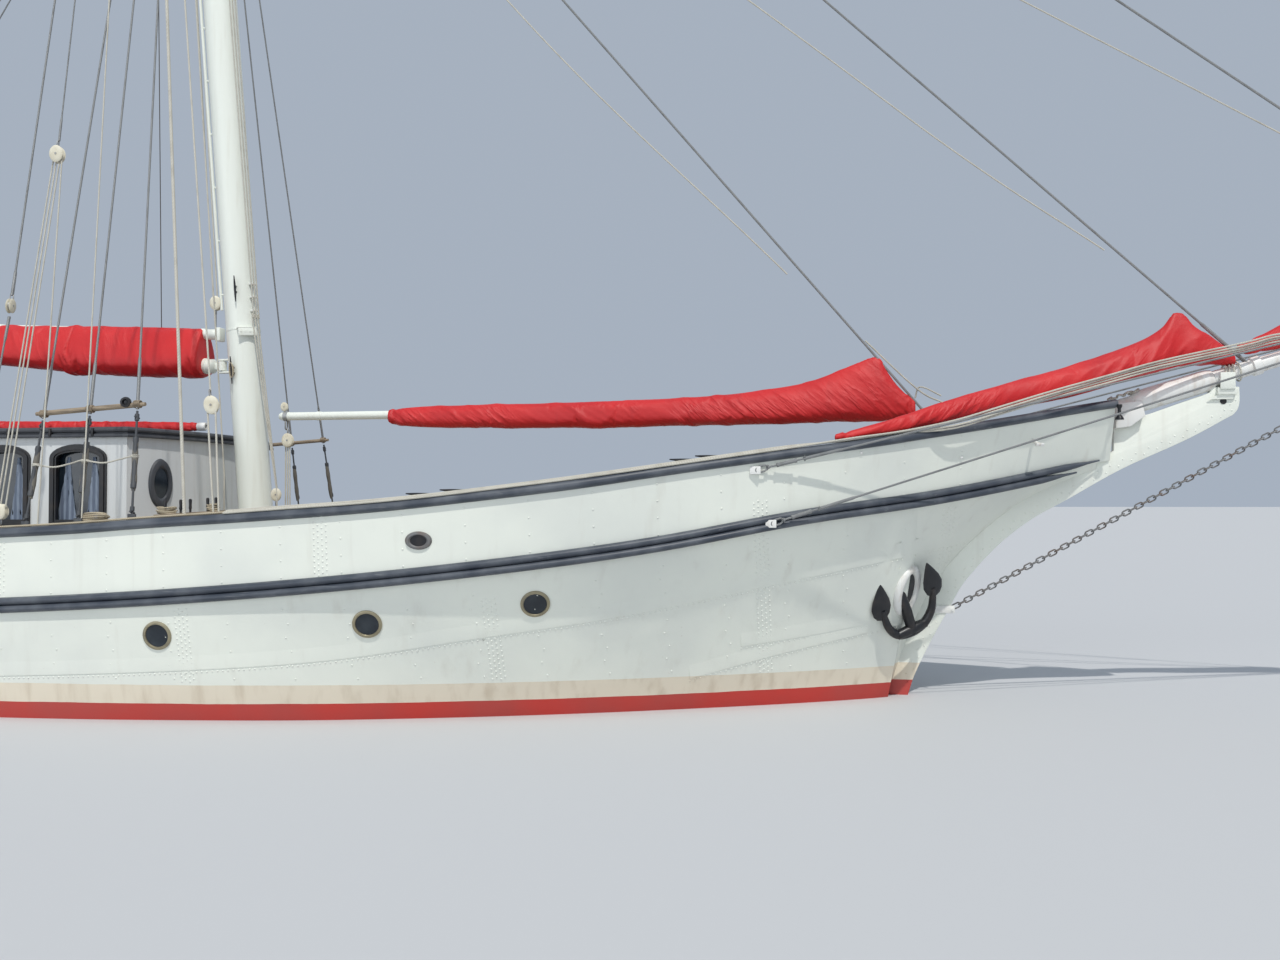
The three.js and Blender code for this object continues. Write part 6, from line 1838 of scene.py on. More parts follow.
def run_cloth(made, voxel, cap, held, air=4.0, spare=0.045):
    """Remeshes a piece evenly, lets cloth move it by no more than cap, and keeps the result."""
    even = made.modifiers.new("even", "REMESH")
    even.mode, even.voxel_size = "VOXEL", voxel
    graph = bpy.context.evaluated_depsgraph_get()
    mesh = bpy.data.meshes.new_from_object(made.evaluated_get(graph))
    old, made.data = made.data, mesh
    mesh.materials.clear()
    mesh.materials.append(old.materials[0])
    made.modifiers.clear()
    before = np.empty(len(mesh.vertices) * 3)
    mesh.vertices.foreach_get("co", before)
    before = before.reshape(-1, 3)
    pins = made.vertex_groups.new(name="held")
    for place, reach in held:
        near = np.nonzero(np.abs(before[:, 0] - place) < reach)[0]
        pins.add(near.tolist(), 1.0, "REPLACE")
    cloth = made.modifiers.new("cloth", "CLOTH")
    cloth.settings.quality = 6
    cloth.settings.mass = 0.25
    cloth.settings.tension_stiffness = cloth.settings.compression_stiffness = 12
    cloth.settings.bending_stiffness = 0.4
    cloth.settings.use_pressure = True
    cloth.settings.uniform_pressure_force = air
    cloth.settings.shrink_min = -spare
    cloth.settings.vertex_group_mass = "held"
    cloth.settings.effector_weights.gravity = 0
    cloth.point_cache.frame_start, cloth.point_cache.frame_end = 1, 20
    for number in range(1, 21):
        scene.frame_set(number)
    after = np.empty(len(mesh.vertices) * 3)
    made.evaluated_get(bpy.context.evaluated_depsgraph_get()).data.vertices.foreach_get("co", after)
    moved = after.reshape(-1, 3) - before
    far = np.linalg.norm(moved, axis=1, keepdims=True)
    moved *= np.minimum(1, cap / np.maximum(far, 1e-9))
    made.modifiers.clear()
    made.vertex_groups.clear()
    mesh.vertices.foreach_set("co", (before + moved).ravel())
    mesh.update()
    scene.frame_set(1)
    return len(mesh.vertices), round(float(np.median(far)) * 1000, 1)


def cover(name, rows, body, replaces, seed, finish, lashings=(), voxel=0.02, cap=0.02, fill=0.7, **shape):
    """A cover: the lofted bundle, and its cloth run."""
    bm = bmesh.new()
    bundle(bm, rows, seed, **shape)
    made = piece(bm, name, finish, body, 180, replaces)
    first, last = min(r[0] for r in rows), max(r[0] for r in rows)
    held = [(first, 0.05), (last, 0.05), *[(x, 0.02) for x in lashings]]
    count, moved = run_cloth(made, voxel, cap, held)
    print(name, "points", count, "moved by", moved, "mm")
    made.data.polygons.foreach_set("use_smooth", [True] * len(made.data.polygons))
    return made


# %% The covers of the five sails
FORE_TOPS = [(3.44, 4.57, 3.93), (3.2, 4.61, 3.90), (2.5, 4.65, 3.91), (1.88, 4.67, 3.95), (1.1, 4.705, 4.035),
             (0.27, 4.74, 4.115), (-1.5, 4.83, 4.20), (-2.9, 4.895, 4.275), (-3.5, 4.88, 4.30), (-3.65, 4.85, 4.32)]
MAIN_TOPS = [(-5.35, 4.59, 3.93), (-5.6, 4.63, 3.90), (-6.6, 4.65, 3.92), (-8.0, 4.655, 3.93), (-10.0, 4.65, 3.93),
             (-12.0, 4.63, 3.93), (-13.3, 4.60, 3.935), (-14.2, 4.50, 3.94), (-14.75, 4.36, 3.95), (-14.9, 4.28, 3.97)]


def boom_rows(tops, wide):
    """Rows from the cover's measured top and bottom edges; it narrows aft."""
    first, last = tops[0][0], tops[-1][0]
    return [(x, 0, (high + low) / 2, (high - low) / 2 - 0.01, wide * (1 - 0.36 * (first - x) / (first - last)))
            for x, high, low in tops]


STAYSAIL_ROWS = [
    (6.02, 0, 3.370, 0.080, 0.070), (6.08, 0, 3.362, 0.100, 0.082), (6.6, 0, 3.355, 0.142, 0.105),
    (8.4, 0, 3.35, 0.172, 0.125), (10.0, 0, 3.375, 0.192, 0.142), (11.2, 0, 3.445, 0.250, 0.155),
    (11.7, 0, 3.53, 0.322, 0.145), (11.92, 0, 3.575, 0.370, 0.125), (12.12, 0, 3.605, 0.400, 0.095),
    (12.19, 0, 3.595, 0.390, 0.085), (12.28, 0, 3.53, 0.310, 0.080), (12.38, 0, 3.465, 0.225, 0.072),
    (12.50, 0, 3.405, 0.150, 0.060), (12.60, 0, 3.36, 0.090, 0.045),
]
JIB_ROWS = [
    (16.10, 0, 3.865, 0.060, 0.085), (16.02, -0.01, 3.90, 0.090, 0.110), (15.86, -0.025, 3.96, 0.150, 0.130),
    (15.66, -0.06, 4.03, 0.240, 0.125), (15.52, -0.08, 4.09, 0.312, 0.100), (15.44, -0.095, 4.085, 0.315, 0.105),
    (15.3, -0.135, 3.99, 0.265, 0.140), (15.1, -0.195, 3.895, 0.228, 0.165), (14.7, -0.33, 3.755, 0.200, 0.160),
    (14.0, -0.58, 3.55, 0.172, 0.150), (13.2, -0.94, 3.335, 0.140, 0.122), (12.7, -1.20, 3.20, 0.108, 0.105),
    (12.3, -1.42, 3.08, 0.082, 0.082), (11.95, -1.59, 3.00, 0.055, 0.065), (11.65, -1.74, 2.935, 0.032, 0.040),
]
OUTER_JIB_ROWS = [(16.14, 0, 3.985, 0.055, 0.055), (16.42, 0, 4.06, 0.100, 0.085), (16.66, 0, 4.15, 0.135, 0.105)]
OUTER_JIB_ROWS += [(x, 0, sprit_z(x) + up, tall, wide) for x, up, tall, wide in (
    (17.1, 0.245, 0.145, 0.115), (17.5, 0.245, 0.145, 0.120), (18.2, 0.27, 0.175, 0.120),
    (18.5, 0.315, 0.235, 0.115), (18.62, 0.33, 0.262, 0.100), (18.72, 0.315, 0.240, 0.095),
    (18.85, 0.28, 0.190, 0.090), (19.0, 0.19, 0.082, 0.070))]
cover("fore_cover_cloth", boom_rows(FORE_TOPS, 0.222), "fore_sail_gear", ["fore_sail_cover"], 1.3, CANVAS,
      (1.55, -0.6, -2.4), 0.022, 0.022, pitch=0.86, slant=0.16, depth=0.017, fine=0.27, pear=0.10)
cover("main_cover_cloth", boom_rows(MAIN_TOPS, 0.225), "main_sail_gear", ["main_sail_cover"], 2.9, CANVAS,
      (-7.6, -9.8, -12.0, -13.8), 0.026, 0.024, pitch=0.86, slant=0.16, depth=0.017, fine=0.27, pear=0.10)
cover("staysail_cover_cloth", STAYSAIL_ROWS, "staysail_gear", ["staysail_cover"], 0.4, STAYSAIL_CANVAS,
      (), 0.016, 0.014, pitch=0.62, slant=0.26, depth=0.015)
AWNING_ROWS = [(x, y, z, r, r) for x, y, z, r in (
    (-2.16, -0.3, 3.25, 0.05), (-2.1, -0.3, 3.26, 0.080), (-1.4, -0.3, 3.262, 0.086), (0.2, -0.3, 3.262, 0.084),
    (1.9, -0.3, 3.252, 0.076), (3.45, -0.3, 3.242, 0.058), (3.53, -0.3, 3.242, 0.046))]
cover("awning_cloth", AWNING_ROWS, ROOT, ["awning_roll"], 3.3, CANVAS, np.arange(-1.6, 3.0, 0.8),
      0.013, 0.010, pitch=0.30, slant=0.10, depth=0.007, fine=0.10, pear=0)
cover("jib_cover_cloth", JIB_ROWS, ROOT, ["jib_cover"], 4.1, JIB_CANVAS,
      (), 0.018, 0.016, pitch=0.74, slant=-0.26, depth=0.018, fine=0.23)
cover("outer_jib_cover_cloth", OUTER_JIB_ROWS, ROOT, ["outer_jib_cover"], 5.2, JIB_CANVAS,
      (), 0.018, 0.016, pitch=0.42, slant=-0.30, depth=0.018, fine=0.16)
print("covers made")

# %% [markdown]
# ## Blocks, halyards and tackles
# Ropes lead from the rail up to the hounds and back down. A block is a sheave between cheeks, hung by
# a steel strop. A tackle is one rope rove to and fro between two blocks, so a small pull lifts a
# heavy gaff. The long standing parts are wire, and the parts that hands haul on are pale laid rope.
# The ropes that end on a boom or gaff ride on no body.

# %% Blocks and ropes
def rope(bm, points, r=0.009, steps=6, sides=8):
    """A rope through a few points."""
    skin(bm, around(smooth_path(points, steps), r, sides))


def block_frame(spot, hang, face):
    """A block's place: y along the way it hangs, z the way its cheeks face."""
    out = unit(face)
    up = unit(np.asarray(hang, float) - out * np.dot(hang, out))
    return frame_at(spot, np.cross(up, out), up, out)


CHEEK = [(0, 0.012), (0.6, 0.011), (0.88, 0.007), (1.0, 0.0), (0.88, -0.007), (0.6, -0.011), (0, -0.012)]


def shell(bm, spot, hang, face, size=0.06, sheaves=1):
    """The cheeks of a block."""
    place = block_frame(spot, hang, face)
    for i in range(sheaves + 1):
        tilt = Matrix.Translation((0, 0, (i - sheaves / 2) * 0.038)) @ Matrix.Diagonal((1, 1.32, 1, 1))
        turned(bm, [(r * size, h) for r, h in CHEEK], place @ tilt, 22)


def strop(bm, spot, hang, face, size=0.06, sheaves=1):
    """A block's sheaves, pin and shackle."""
    place = block_frame(spot, hang, face)
    out, up = np.array(place.col[2][:3]), np.array(place.col[1][:3])
    for i in range(sheaves):
        at = place @ Matrix.Translation((0, 0, (i - (sheaves - 1) / 2) * 0.038))
        turned(bm, [(0, 0.008), (size * 0.75, 0.008), (size * 0.68, 0), (size * 0.75, -0.008), (0, -0.008)], at, 20)
    reach = sheaves * 0.019 + 0.016
    bar(bm, spot - out * reach, spot + out * reach, size * 0.16, None, 10)
    link(bm, spot + up * size * 1.62, up, out, size * 1.0, size * 0.62, size * 0.10)


def crosstree(m, dx=0.0, out=1.12):
    """A place on the starboard arm of the crosstrees."""
    return np.array(mast_place(m) @ Vector((-0.09 + dx, -out, up_mast(m, m["hounds"]) + 0.30)))


def side_gear(m):
    """The runner and the gaff's purchase, at the starboard side of a mast: wires, ropes and blocks."""
    shift = m["x"] - FORE["x"]
    rail = lambda x, up=0.0: rail_spot(x + shift, 0.05, up)
    top, low = crosstree(m, 0.0), rail(3.08, 0.17)
    upper = low + (top - low) * 0.31 + (0.13, 0, 0)
    back, face = rail(2.72), (0.25, -1, 0)
    runner = back + (top - back) * 0.187 + (0.07, 0, 0)
    up = unit(top - low)
    wires = [(upper + up * 0.16, top, 0.008), (back + (0, 0, 0.05), runner - up * 0.12, 0.010),
             (runner + up * 0.12, top - (0.05, 0, 0), 0.011)]
    falls = ((-0.055, -0.05), (-0.01, -0.01), (0.05, 0.03))
    ropes = [([low + (a, 0, 0.04), upper + (b, 0, -0.06)], 0.008) for a, b in falls]
    ropes += [([rail(3.5), upper + (0.055, 0, -0.06)], 0.008), ([rail(4.0), top + (0.06, 0, 0)], 0.008)]
    blocks = [(low, -up, face, 0.062, 2), (upper, up, face, 0.072, 2), (runner, up, (1, 0.1, 0), 0.062, 1)]
    return wires, ropes, blocks


def near_gear(m):
    """The ropes that are rigged to starboard only: a pendant with a whip on it, and a signal halyard."""
    shift = m["x"] - FORE["x"]
    rail = lambda x, up=0.0: rail_spot(x + shift, 0.05, up)
    tip = crosstree(m, 0.24)
    foot = rail(5.51)
    hung = foot + (tip - foot) * 0.088
    up = unit(tip - foot)
    ropes = [([rail(5.14), tip], 0.017), ([hung + up * 0.14, tip + (0.03, 0, 0)], 0.010),
             ([foot, hung + (0.045, 0, -0.03)], 0.010), ([foot - (0.06, 0, 0), hung + (-0.045, 0, -0.03)], 0.010)]
    return [], ropes, [(hung, up, (0.25, -1, 0), 0.074, 1)]


def lay_wires(bm, gear):
    for a, b, r in gear[0]:
        wire(bm, a, b, r, (0.25, 0.25), 10)


def lay_ropes(bm, gear):
    for points, r in gear[1]:
        rope(bm, points, r, 14)


def lay_shells(bm, gear):
    for spec in gear[2]:
        shell(bm, *spec)


def lay_strops(bm, gear):
    for spec in gear[2]:
        strop(bm, *spec)


for m in (FORE, MAIN):
    gear, name = side_gear(m), m["name"]
    on_one_side(lambda bm: lay_wires(bm, gear), f"{name}_runner_wires", WIRE_ROPE, "starboard", 1)
    on_one_side(lambda bm: lay_ropes(bm, gear), f"{name}_tackle_ropes", PALE_ROPE, "starboard", 1)
    on_one_side(lambda bm: lay_shells(bm, gear), f"{name}_tackle_blocks", BLOCK_SHELL, "starboard", 1)
    on_one_side(lambda bm: lay_strops(bm, gear), f"{name}_tackle_strops", GALVANISED, "starboard", 1)
    gear = near_gear(m)
    on_one_side(lambda bm: lay_ropes(bm, gear), f"{name}_pendants", PALE_ROPE, "starboard", 1)
    on_one_side(lambda bm: lay_shells(bm, gear), f"{name}_whip_block", BLOCK_SHELL, "starboard", 1)
    on_one_side(lambda bm: lay_strops(bm, gear), f"{name}_whip_strop", GALVANISED, "starboard", 1)
print("side gear made")

# %% On each mast: band with ears, cleats, steps, and the halyards beside it
def band(bm, m, z):
    """A flange round the mast with an eared plate hanging from it to starboard."""
    place = mast_place(m) @ Matrix.Translation((0, 0, up_mast(m, z)))
    foot = m["foot"]
    turned(bm, [(foot - 0.02, -0.01), (foot + 0.004, -0.01), (foot + 0.004, 0.01), (foot - 0.02, 0.01)], place, 40)
    side = place @ Matrix.Rotation(math.radians(-50), 4, "Z") @ Matrix.Translation((foot + 0.02, 0, 0))
    block(bm, (-0.06, -0.120, -0.006), (0.035, 0.120, 0.008), 0.004, side)
    block(bm, (0.020, -0.115, -0.105), (0.032, 0.115, -0.004), 0.004, side)
    for along in (-0.08, -0.03, 0.03, 0.08):
        bar(bm, side @ Vector((0.019, along, -0.05)), side @ Vector((0.037, along, -0.05)), 0.012, None, 10)


def cleat(bm, place, length=0.30):
    """A horned cleat, standing off a surface: z out, y along."""
    horn = [(0, length * v, w) for v, w in ((-0.5, 0.050), (-0.25, 0.046), (0, 0.044), (0.25, 0.046), (0.5, 0.050))]
    skin(bm, around([place @ Vector(v) for v in horn], (0.006, 0.012, 0.015, 0.012, 0.006), 10))
    for v in (-0.035, 0.035):
        bar(bm, place @ Vector((0, v, -0.005)), place @ Vector((0, v, 0.045)), 0.014, 0.011, 8)


def mast_side(m, z, turn, up=0.0):
    """A place on the mast's face: turn is degrees from forward, to port."""
    at = mast_place(m) @ Matrix.Translation((0, 0, up_mast(m, z) + up)) @ Matrix.Rotation(math.radians(turn), 4, "Z")
    at = at @ Matrix.Translation((m["foot"], 0, 0))
    return at @ Matrix(((0, 0, 1, 0), (1, 0, 0, 0), (0, 1, 0, 0), (0, 0, 0, 1)))


def mast_irons(bm, m):
    for z, turn, length in ((3.98, -105, 0.36), (5.03, -76, 0.34), (3.98, 105, 0.36), (5.03, 76, 0.34)):
        cleat(bm, mast_side(m, z, turn), length)


def mast_steps(bm, m):
    for i, z in enumerate((4.75, 4.93, 5.1)):
        at = mast_side(m, z, -20)
        block(bm, (-0.05, -0.012, 0.0), (0.05, 0.012, 0.055), 0.004, at)


def cleat_turns(bm, m):
    for z, turn, length in ((3.98, -105, 0.36), (3.98, 105, 0.36)):
        at = mast_side(m, z, turn)
        for k in range(3):
            loop = [(0.022 * math.cos(a) * (1 + 0.2 * k), (0.075 + 0.012 * k) * math.sin(a), 0.028 + 0.012 * k)
                    for a in np.linspace(0, 2 * math.pi, 17)]
            skin(bm, around([at @ Vector(v) for v in loop], 0.007, 6))


def mast_falls(bm, m):
    """Halyards that come down the fore side through the band, and one down the after side."""
    high, band_z = on_mast(m, 14.0), 4.52
    for i in range(3):
        y = -0.07 - 0.045 * i
        ear = on_mast(m, band_z) + (0.262 - 0.012 * i, y, 0)
        foot = on_mast(m, 2.4) + (0.385 + 0.02 * i, y - 0.05, 0)
        rope(bm, [high + (0.23 - 0.02 * i, y, 0), ear + (0, 0, 0.15)], 0.0085, 14)
        rope(bm, [ear + (0, 0, 0.15), ear, foot], 0.0085, 8)
    rope(bm, [foot, (foot[0] + 0.03, foot[1] - 0.02, deck_top(foot[0]) + 0.02)], 0.009, 8)
    back, aft = on_mast(m, 2.6), 0.27 if m is FORE else 0.19
    rope(bm, [high + (-0.20, -0.17, 0), back + (-aft, -0.25, 0)], 0.010, 14)
    rope(bm, [back + (-aft, -0.25, 0), (back[0] - aft + 0.01, -0.27, deck_top(back[0]) + 0.02)], 0.010, 6)


for m in (FORE, MAIN):
    name = m["name"]
    for build, label, finish in ((mast_irons, "mast_cleats", BLACK_IRON), (mast_steps, "mast_steps", FITTING_WHITE),
                                 (cleat_turns, "cleat_turns", HEMP), (mast_falls, "mast_halyards", PALE_ROPE)):
        single(lambda bm: build(bm, m), f"{name}_{label}", finish)
    single(lambda bm: band(bm, m, 4.52), f"{name}_eared_band", MAST_WHITE)
    spot = on_mast(m, 2.36) + (0.40, -0.19, 0)
    single(lambda bm: shell(bm, spot, (0, 0, -1), (0.25, -1, 0), 0.064, 1), f"{name}_foot_block", BLOCK_SHELL)
    bm = bmesh.new()
    strop(bm, spot, (0, 0, -1), (0.25, -1, 0), 0.064, 1)
    bar(bm, spot - (0, 0, 0.12), (spot[0], spot[1], deck_top(spot[0])), 0.008, None, 8, 4)
    piece(bm, f"{name}_foot_strop", GALVANISED)
print("mast fittings made")

# %% Ropes that end on a boom or a gaff
def tied(build, name, finish):
    """A rope from the ship to a swinging spar, which rides on no body."""
    bm = bmesh.new()
    build(bm)
    made = piece(bm, name, finish, None)
    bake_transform(made)


def sheet_falls(bm, low, high, spread=0.035, r=0.009, count=3):
    for i in range(count):
        d = (i - (count - 1) / 2) * spread
        rope(bm, [low + (d, 0, 0.03), high + (d * 0.8, 0, -0.04)], r, 26)


def sheet(name, body, low, high, face=(0.25, -1, 0), size=0.07):
    """A sheet's tackle: a block on the ship, a double block on the spar, and the falls between."""
    for part, finish, make in (("blocks", BLOCK_SHELL, shell), ("strops", GALVANISED, strop)):
        single(lambda bm: make(bm, low, (0, 0, -1), face, size, 1), f"{name}_sheet_low_{part}", finish)
        single(lambda bm: make(bm, high, (0, 0, 1), face, size, 2), f"{name}_sheet_high_{part}", finish, body)
    tied(lambda bm: sheet_falls(bm, low, high), f"{name}_sheet_falls", PALE_ROPE)


sheet("staysail", "staysail_gear", np.array([4.63, 0, deck_top(4.63) + 0.13]), np.array([4.62, 0, 3.07]))
low_z = deck_top(-3.3) + 0.13
boom_z = lambda m, x: m["boom"] + m["rise"] * (on_mast(m, m["boom"])[0] - NECK - 0.09 - x)
sheet("fore", "fore_sail_gear", np.array([-3.45, 0, low_z]), np.array([-3.7, 0, boom_z(FORE, -3.7) - 0.26]))
sheet("main", "main_sail_gear", np.array([-15.1, 0, rail_top(-15.1) + 0.14]), np.array([-15.2, 0, 3.78]))
for body, x, z, r in (("staysail_gear", 4.57, CLUB["z"], 0.053), ("fore_sail_gear", -3.7, boom_z(FORE, -3.7), 0.083),
                      ("main_sail_gear", -15.2, 4.06, 0.097)):
    bm = bmesh.new()
    link(bm, (x + 0.03, 0, z - r - 0.05), (0, 0, 1), (0, 1, 0), 0.14, 0.06, 0.010)
    ring = [(x + 0.03 + d, 0, z) for d in (-0.03, -0.027, 0.027, 0.03)]
    skin(bm, around(ring, [r, r + 0.012, r + 0.012, r], 24))
    piece(bm, f"{body}_sheet_band", GALVANISED, body)

for label, finish, make in (("block", BLOCK_SHELL, shell), ("strop", GALVANISED, strop)):
    single(lambda bm: make(bm, (4.57, 0, 3.51), (0, 0, -1), (0.25, -1, 0), 0.045, 1),
           f"staysail_outhaul_{label}", finish, "staysail_gear")
for m, spans in ((FORE, (-2.8, -2.45)), (MAIN, (-13.0, -11.6))):
    body, name = f"{m['name']}_sail_gear", m["name"]
    head = on_mast(m, m["hounds"] - 1.5) - (m["foot"], 0, 0)
    jaw = on_mast(m, m["gaff"])[0] - NECK + 0.02
    gaff_z = lambda x: m["gaff"] + (jaw - x) * (m["rise"] * (jaw - m["gaff_end"]) - 0.04) / (jaw - m["gaff_end"])
    peaks = [np.array([x, 0, gaff_z(x) + m["gaff_r"]]) for x in spans]
    tied(lambda bm: [wire(bm, peak, head, 0.009, (0.3, 0.3), 40) for peak in peaks], f"{name}_peak_wires", WIRE_ROPE)
    throat = np.array([jaw - 0.09, 0, m["gaff"] + 0.42])
    high = on_mast(m, 14.0) - (m["foot"] + 0.02, 0, 0)
    tied(lambda bm: [rope(bm, [throat + (d, 0, 0.06), high + (d * 0.5, 0, 0)], 0.009, 40) for d in (-0.04, 0.02)],
         f"{name}_throat_halyard", PALE_ROPE)
    low = np.array([jaw - 0.88, 0, gaff_z(jaw - 0.88) + m["gaff_r"]])
    tied(lambda bm: rope(bm, [low, (low[0] - 0.26, 0, 17.9)], 0.006, 40), f"{name}_flag_line", TARRED)
    for part, finish, make in (("block", BLOCK_SHELL, shell), ("strop", GALVANISED, strop)):
        bm = bmesh.new()
        make(bm, throat, (0, 0, -1), (0.25, -1, 0), 0.072, 2)
        if part == "strop":
            bar(bm, throat - (0, 0, 0.12), (throat[0], 0, m["gaff"] + 0.02), 0.011, None, 8)
        piece(bm, f"{name}_throat_{part}", finish, body)
print("running gear made")

# %% [markdown]
# ## Ropes and fittings at the rail and the bow
# The ropes that haul the jibs down lead back along the bowsprit and over the stowed jib, then lie on the
# rail as far as the foremast, where pins and cleats take their ends. They are bent and turned shapes set
# on the rail's own line, so that they follow its sweep. Triangular plates hold up the bulwark inside.

# %% At the rail and the bow
LEADS = [(12.90, -1.36, 3.085), (13.45, -1.13, 3.255), (14.01, -0.90, 3.435),
         (14.61, -0.60, 3.615), (15.22, -0.36, 3.79), (16.12, -0.22, 3.985), (16.57, -0.17, 4.095)]


def jib_leads(bm):
    """Four ropes side by side: on the rail, over the stowed jib, and out along the bowsprit."""
    aft = [rail_spot(x, 0.0, 0.016) for x in (5.6, 6.3, 7.0, 7.7, 8.4, 9.1, 9.8, 10.5, 11.2, 11.8, 12.35)]
    path = np.array([*aft, *LEADS, *(sprit_at(x, 0.02, -0.13) for x in (17.3, 18.2, 18.95))], float)
    for i in range(4):
        wave = 0.008 * np.sin(np.arange(len(path)) * 1.7 + 2 * i)
        apart = np.array([(0, 0.020, 0.008)] * 9 + [(0, 0.018, -0.006)] * 2 + [(0, 0.010, -0.026)] * (len(path) - 11))
        rope(bm, list(path + apart * (i - 1.5) + np.outer(wave, (0, 1, 0.4))), 0.0105, 4)


def rail_ropes(bm):
    for i, first in enumerate((-0.5, 4.6)):
        xs = np.linspace(first, 6.6, 22)
        rope(bm, [rail_spot(x, 0.012 + 0.034 * i + 0.010 * math.sin(x * 2.1 + i), 0.012) for x in xs], 0.0115, 3)


PINS = (4.845, 5.015, 5.12, 5.31, 5.40)


def pin_rack(bm):
    rings = [[rail_spot(x, a, b) for a, b in ((0.13, 0.001), (0.24, 0.001), (0.24, 0.038), (0.13, 0.038))]
             for x in np.linspace(4.75, 5.52, 6)]
    skin(bm, rings)


def pins(bm):
    for x in PINS:
        shape = [(0, -0.10), (0.010, -0.10), (0.012, 0.035), (0.017, 0.04), (0.014, 0.075), (0.017, 0.12),
                 (0.012, 0.137), (0, 0.14)]
        turned(bm, shape, Matrix.Translation(rail_spot(x, 0.185, 0.038)), 12)


def loops(bm, centre, half_long, half_wide, turns, rise, r=0.009):
    """A small heap of rope: ovals that lie a little askew on one another."""
    for i in range(turns):
        tilt, swell = 0.9 * i, 1 + 0.12 * math.sin(2.3 * i)
        long, wide, askew = half_long * swell, half_wide * swell, 0.3 * math.sin(i)
        path = [np.asarray(centre) + (long * math.cos(a), wide * math.sin(a + askew),
                                      r + i * rise + 0.35 * rise * math.sin(a * 2 + tilt))
                for a in np.linspace(0, 2 * math.pi, 19)]
        skin(bm, around(path, r, 7))


def rail_coils(bm):
    loops(bm, rail_spot(4.11, 0.11), 0.15, 0.05, 6, 0.018)
    loops(bm, rail_spot(4.86, 0.185, 0.04), 0.10, 0.035, 4, 0.018, 0.008)
    loops(bm, rail_spot(5.37, 0.185, 0.04), 0.06, 0.03, 4, 0.018, 0.008)


def between_screws(bm, rows):
    """A slack rope hitched round each of the three screws."""
    at = [foot + (knee - foot) * 0.56 for foot, knee, top in rows]
    run = []
    for a, b in zip(at, at[1:]):
        run += [a + (0, -0.035, 0), a + (b - a) * 0.4 + (0, -0.03, -0.045), a + (b - a) * 0.75 + (0, -0.02, -0.02)]
    rope(bm, run + [at[-1] + (0, -0.035, 0)], 0.0085, 5)
    for p in at:
        for turn in (-0.012, 0.006):
            hitch = [p + (0.034 * math.cos(t), 0.034 * math.sin(t), turn) for t in np.linspace(0, 6.3, 13)]
            skin(bm, around(hitch, 0.007, 6))


def pole_lamp(bm):
    place = facing((4.31, rows_fore[2][1][1] - 0.03, rows_fore[2][1][2] + 0.02), (0.25, -1, 0))
    rim = [(0.024, -0.02), (0.052, -0.02), (0.057, 0.0), (0.052, 0.022), (0.032, 0.026), (0.024, 0.010), (0.024, -0.02)]
    turned(bm, rim, place, 28)
    turned(bm, [(0, -0.015), (0.025, -0.015), (0.025, 0.004), (0, 0.010)], place, 20)


def rail_cleats(bm):
    for x in (7.53, 7.87, 10.12, 10.37):
        cleat(bm, frame_at(rail_spot(x, 0.13), (0, -1, 0), (1, 0, 0), (0, 0, 1)), 0.24)


def bulwark_plates(bm):
    """Three-cornered plates that stand on the deck and hold up the bulwark."""
    for x in [*np.arange(-15.0, -9.4, 1.1), *np.arange(-8.9, 12.4, 1.15)]:
        floor, top = deck_top(x), rail_top(x) - RAIL_THICK - 0.01
        low, high = side_y(x, floor + 0.02) - 0.07, side_y(x, top - 0.02) - 0.07
        flange = np.array([(low - 0.26, floor), (low, floor), (high, top), (high - 0.09, top)])
        skin(bm, [[(x + d, -u, v) for u, v in flange] for d in (-0.006, 0.006)])


def bitts(bm):
    """Pairs of mooring posts with a pin through each."""
    for x, y in ((10.3, -1.45), (-13.2, -1.55), (0.6, -2.55)):
        z = deck_top(x)
        block(bm, (x - 0.36, y - 0.12, z), (x + 0.36, y + 0.12, z + 0.02), 0.004)
        for d in (-0.2, 0.2):
            turned(bm, [(0.075, 0), (0.075, 0.36), (0.092, 0.37), (0.092, 0.40), (0.06, 0.425), (0, 0.43)],
                   Matrix.Translation((x + d, y, z + 0.01)), 22)
            bar(bm, (x + d, y - 0.14, z + 0.27), (x + d, y + 0.14, z + 0.27), 0.014, None, 8)


def bow_fittings(bm):
    """Small white studs on the plating, and a stand-off for the guy."""
    for x, z in ((11.92, 2.775), (13.0, 2.745)):
        spot, normal = on_side(x, z)
        turned(bm, [(0.016, -0.01), (0.016, 0.012), (0.009, 0.02), (0, 0.022)], facing(spot, normal), 12)
    spot, normal = on_side(13.806, 2.94)
    bar(bm, spot - normal * 0.01, spot + normal * 0.13, 0.020, 0.016, 12, 2)
    block(bm, (-0.05, -0.016, 0.115), (0.05, 0.016, 0.145), 0.004, facing(spot, normal))


def rail_end_irons(bm):
    post = [(0, 0), (0.048, 0), (0.044, 0.02), (0.020, 0.055), (0.017, 0.12), (0.030, 0.145), (0.030, 0.17), (0, 0.172)]
    turned(bm, post, Matrix.Translation((14.78, -0.40, 3.18)), 18)


def sprit_lashing(bm):
    """A heap of small line at the heel, and turns that hold the sail's tack to the spar."""
    heap = [sprit_at(14.74 + 0.026 * i + 0.03 * math.sin(i * 2.3), 0.128 + 0.012 * math.sin(i * 1.7),
                     -0.06 + 0.055 * math.sin(i * 2.1)) for i in range(14)]
    rope(bm, heap, 0.013, 6)
    for i, x in enumerate(np.linspace(15.98, 16.14, 4)):
        path = [sprit_at(x + 0.02 * math.sin(a + i), 0.114 * math.sin(a), 0.114 * math.cos(a))
                for a in np.linspace(0, 2 * math.pi, 25)]
        skin(bm, around(path, 0.010, 7))


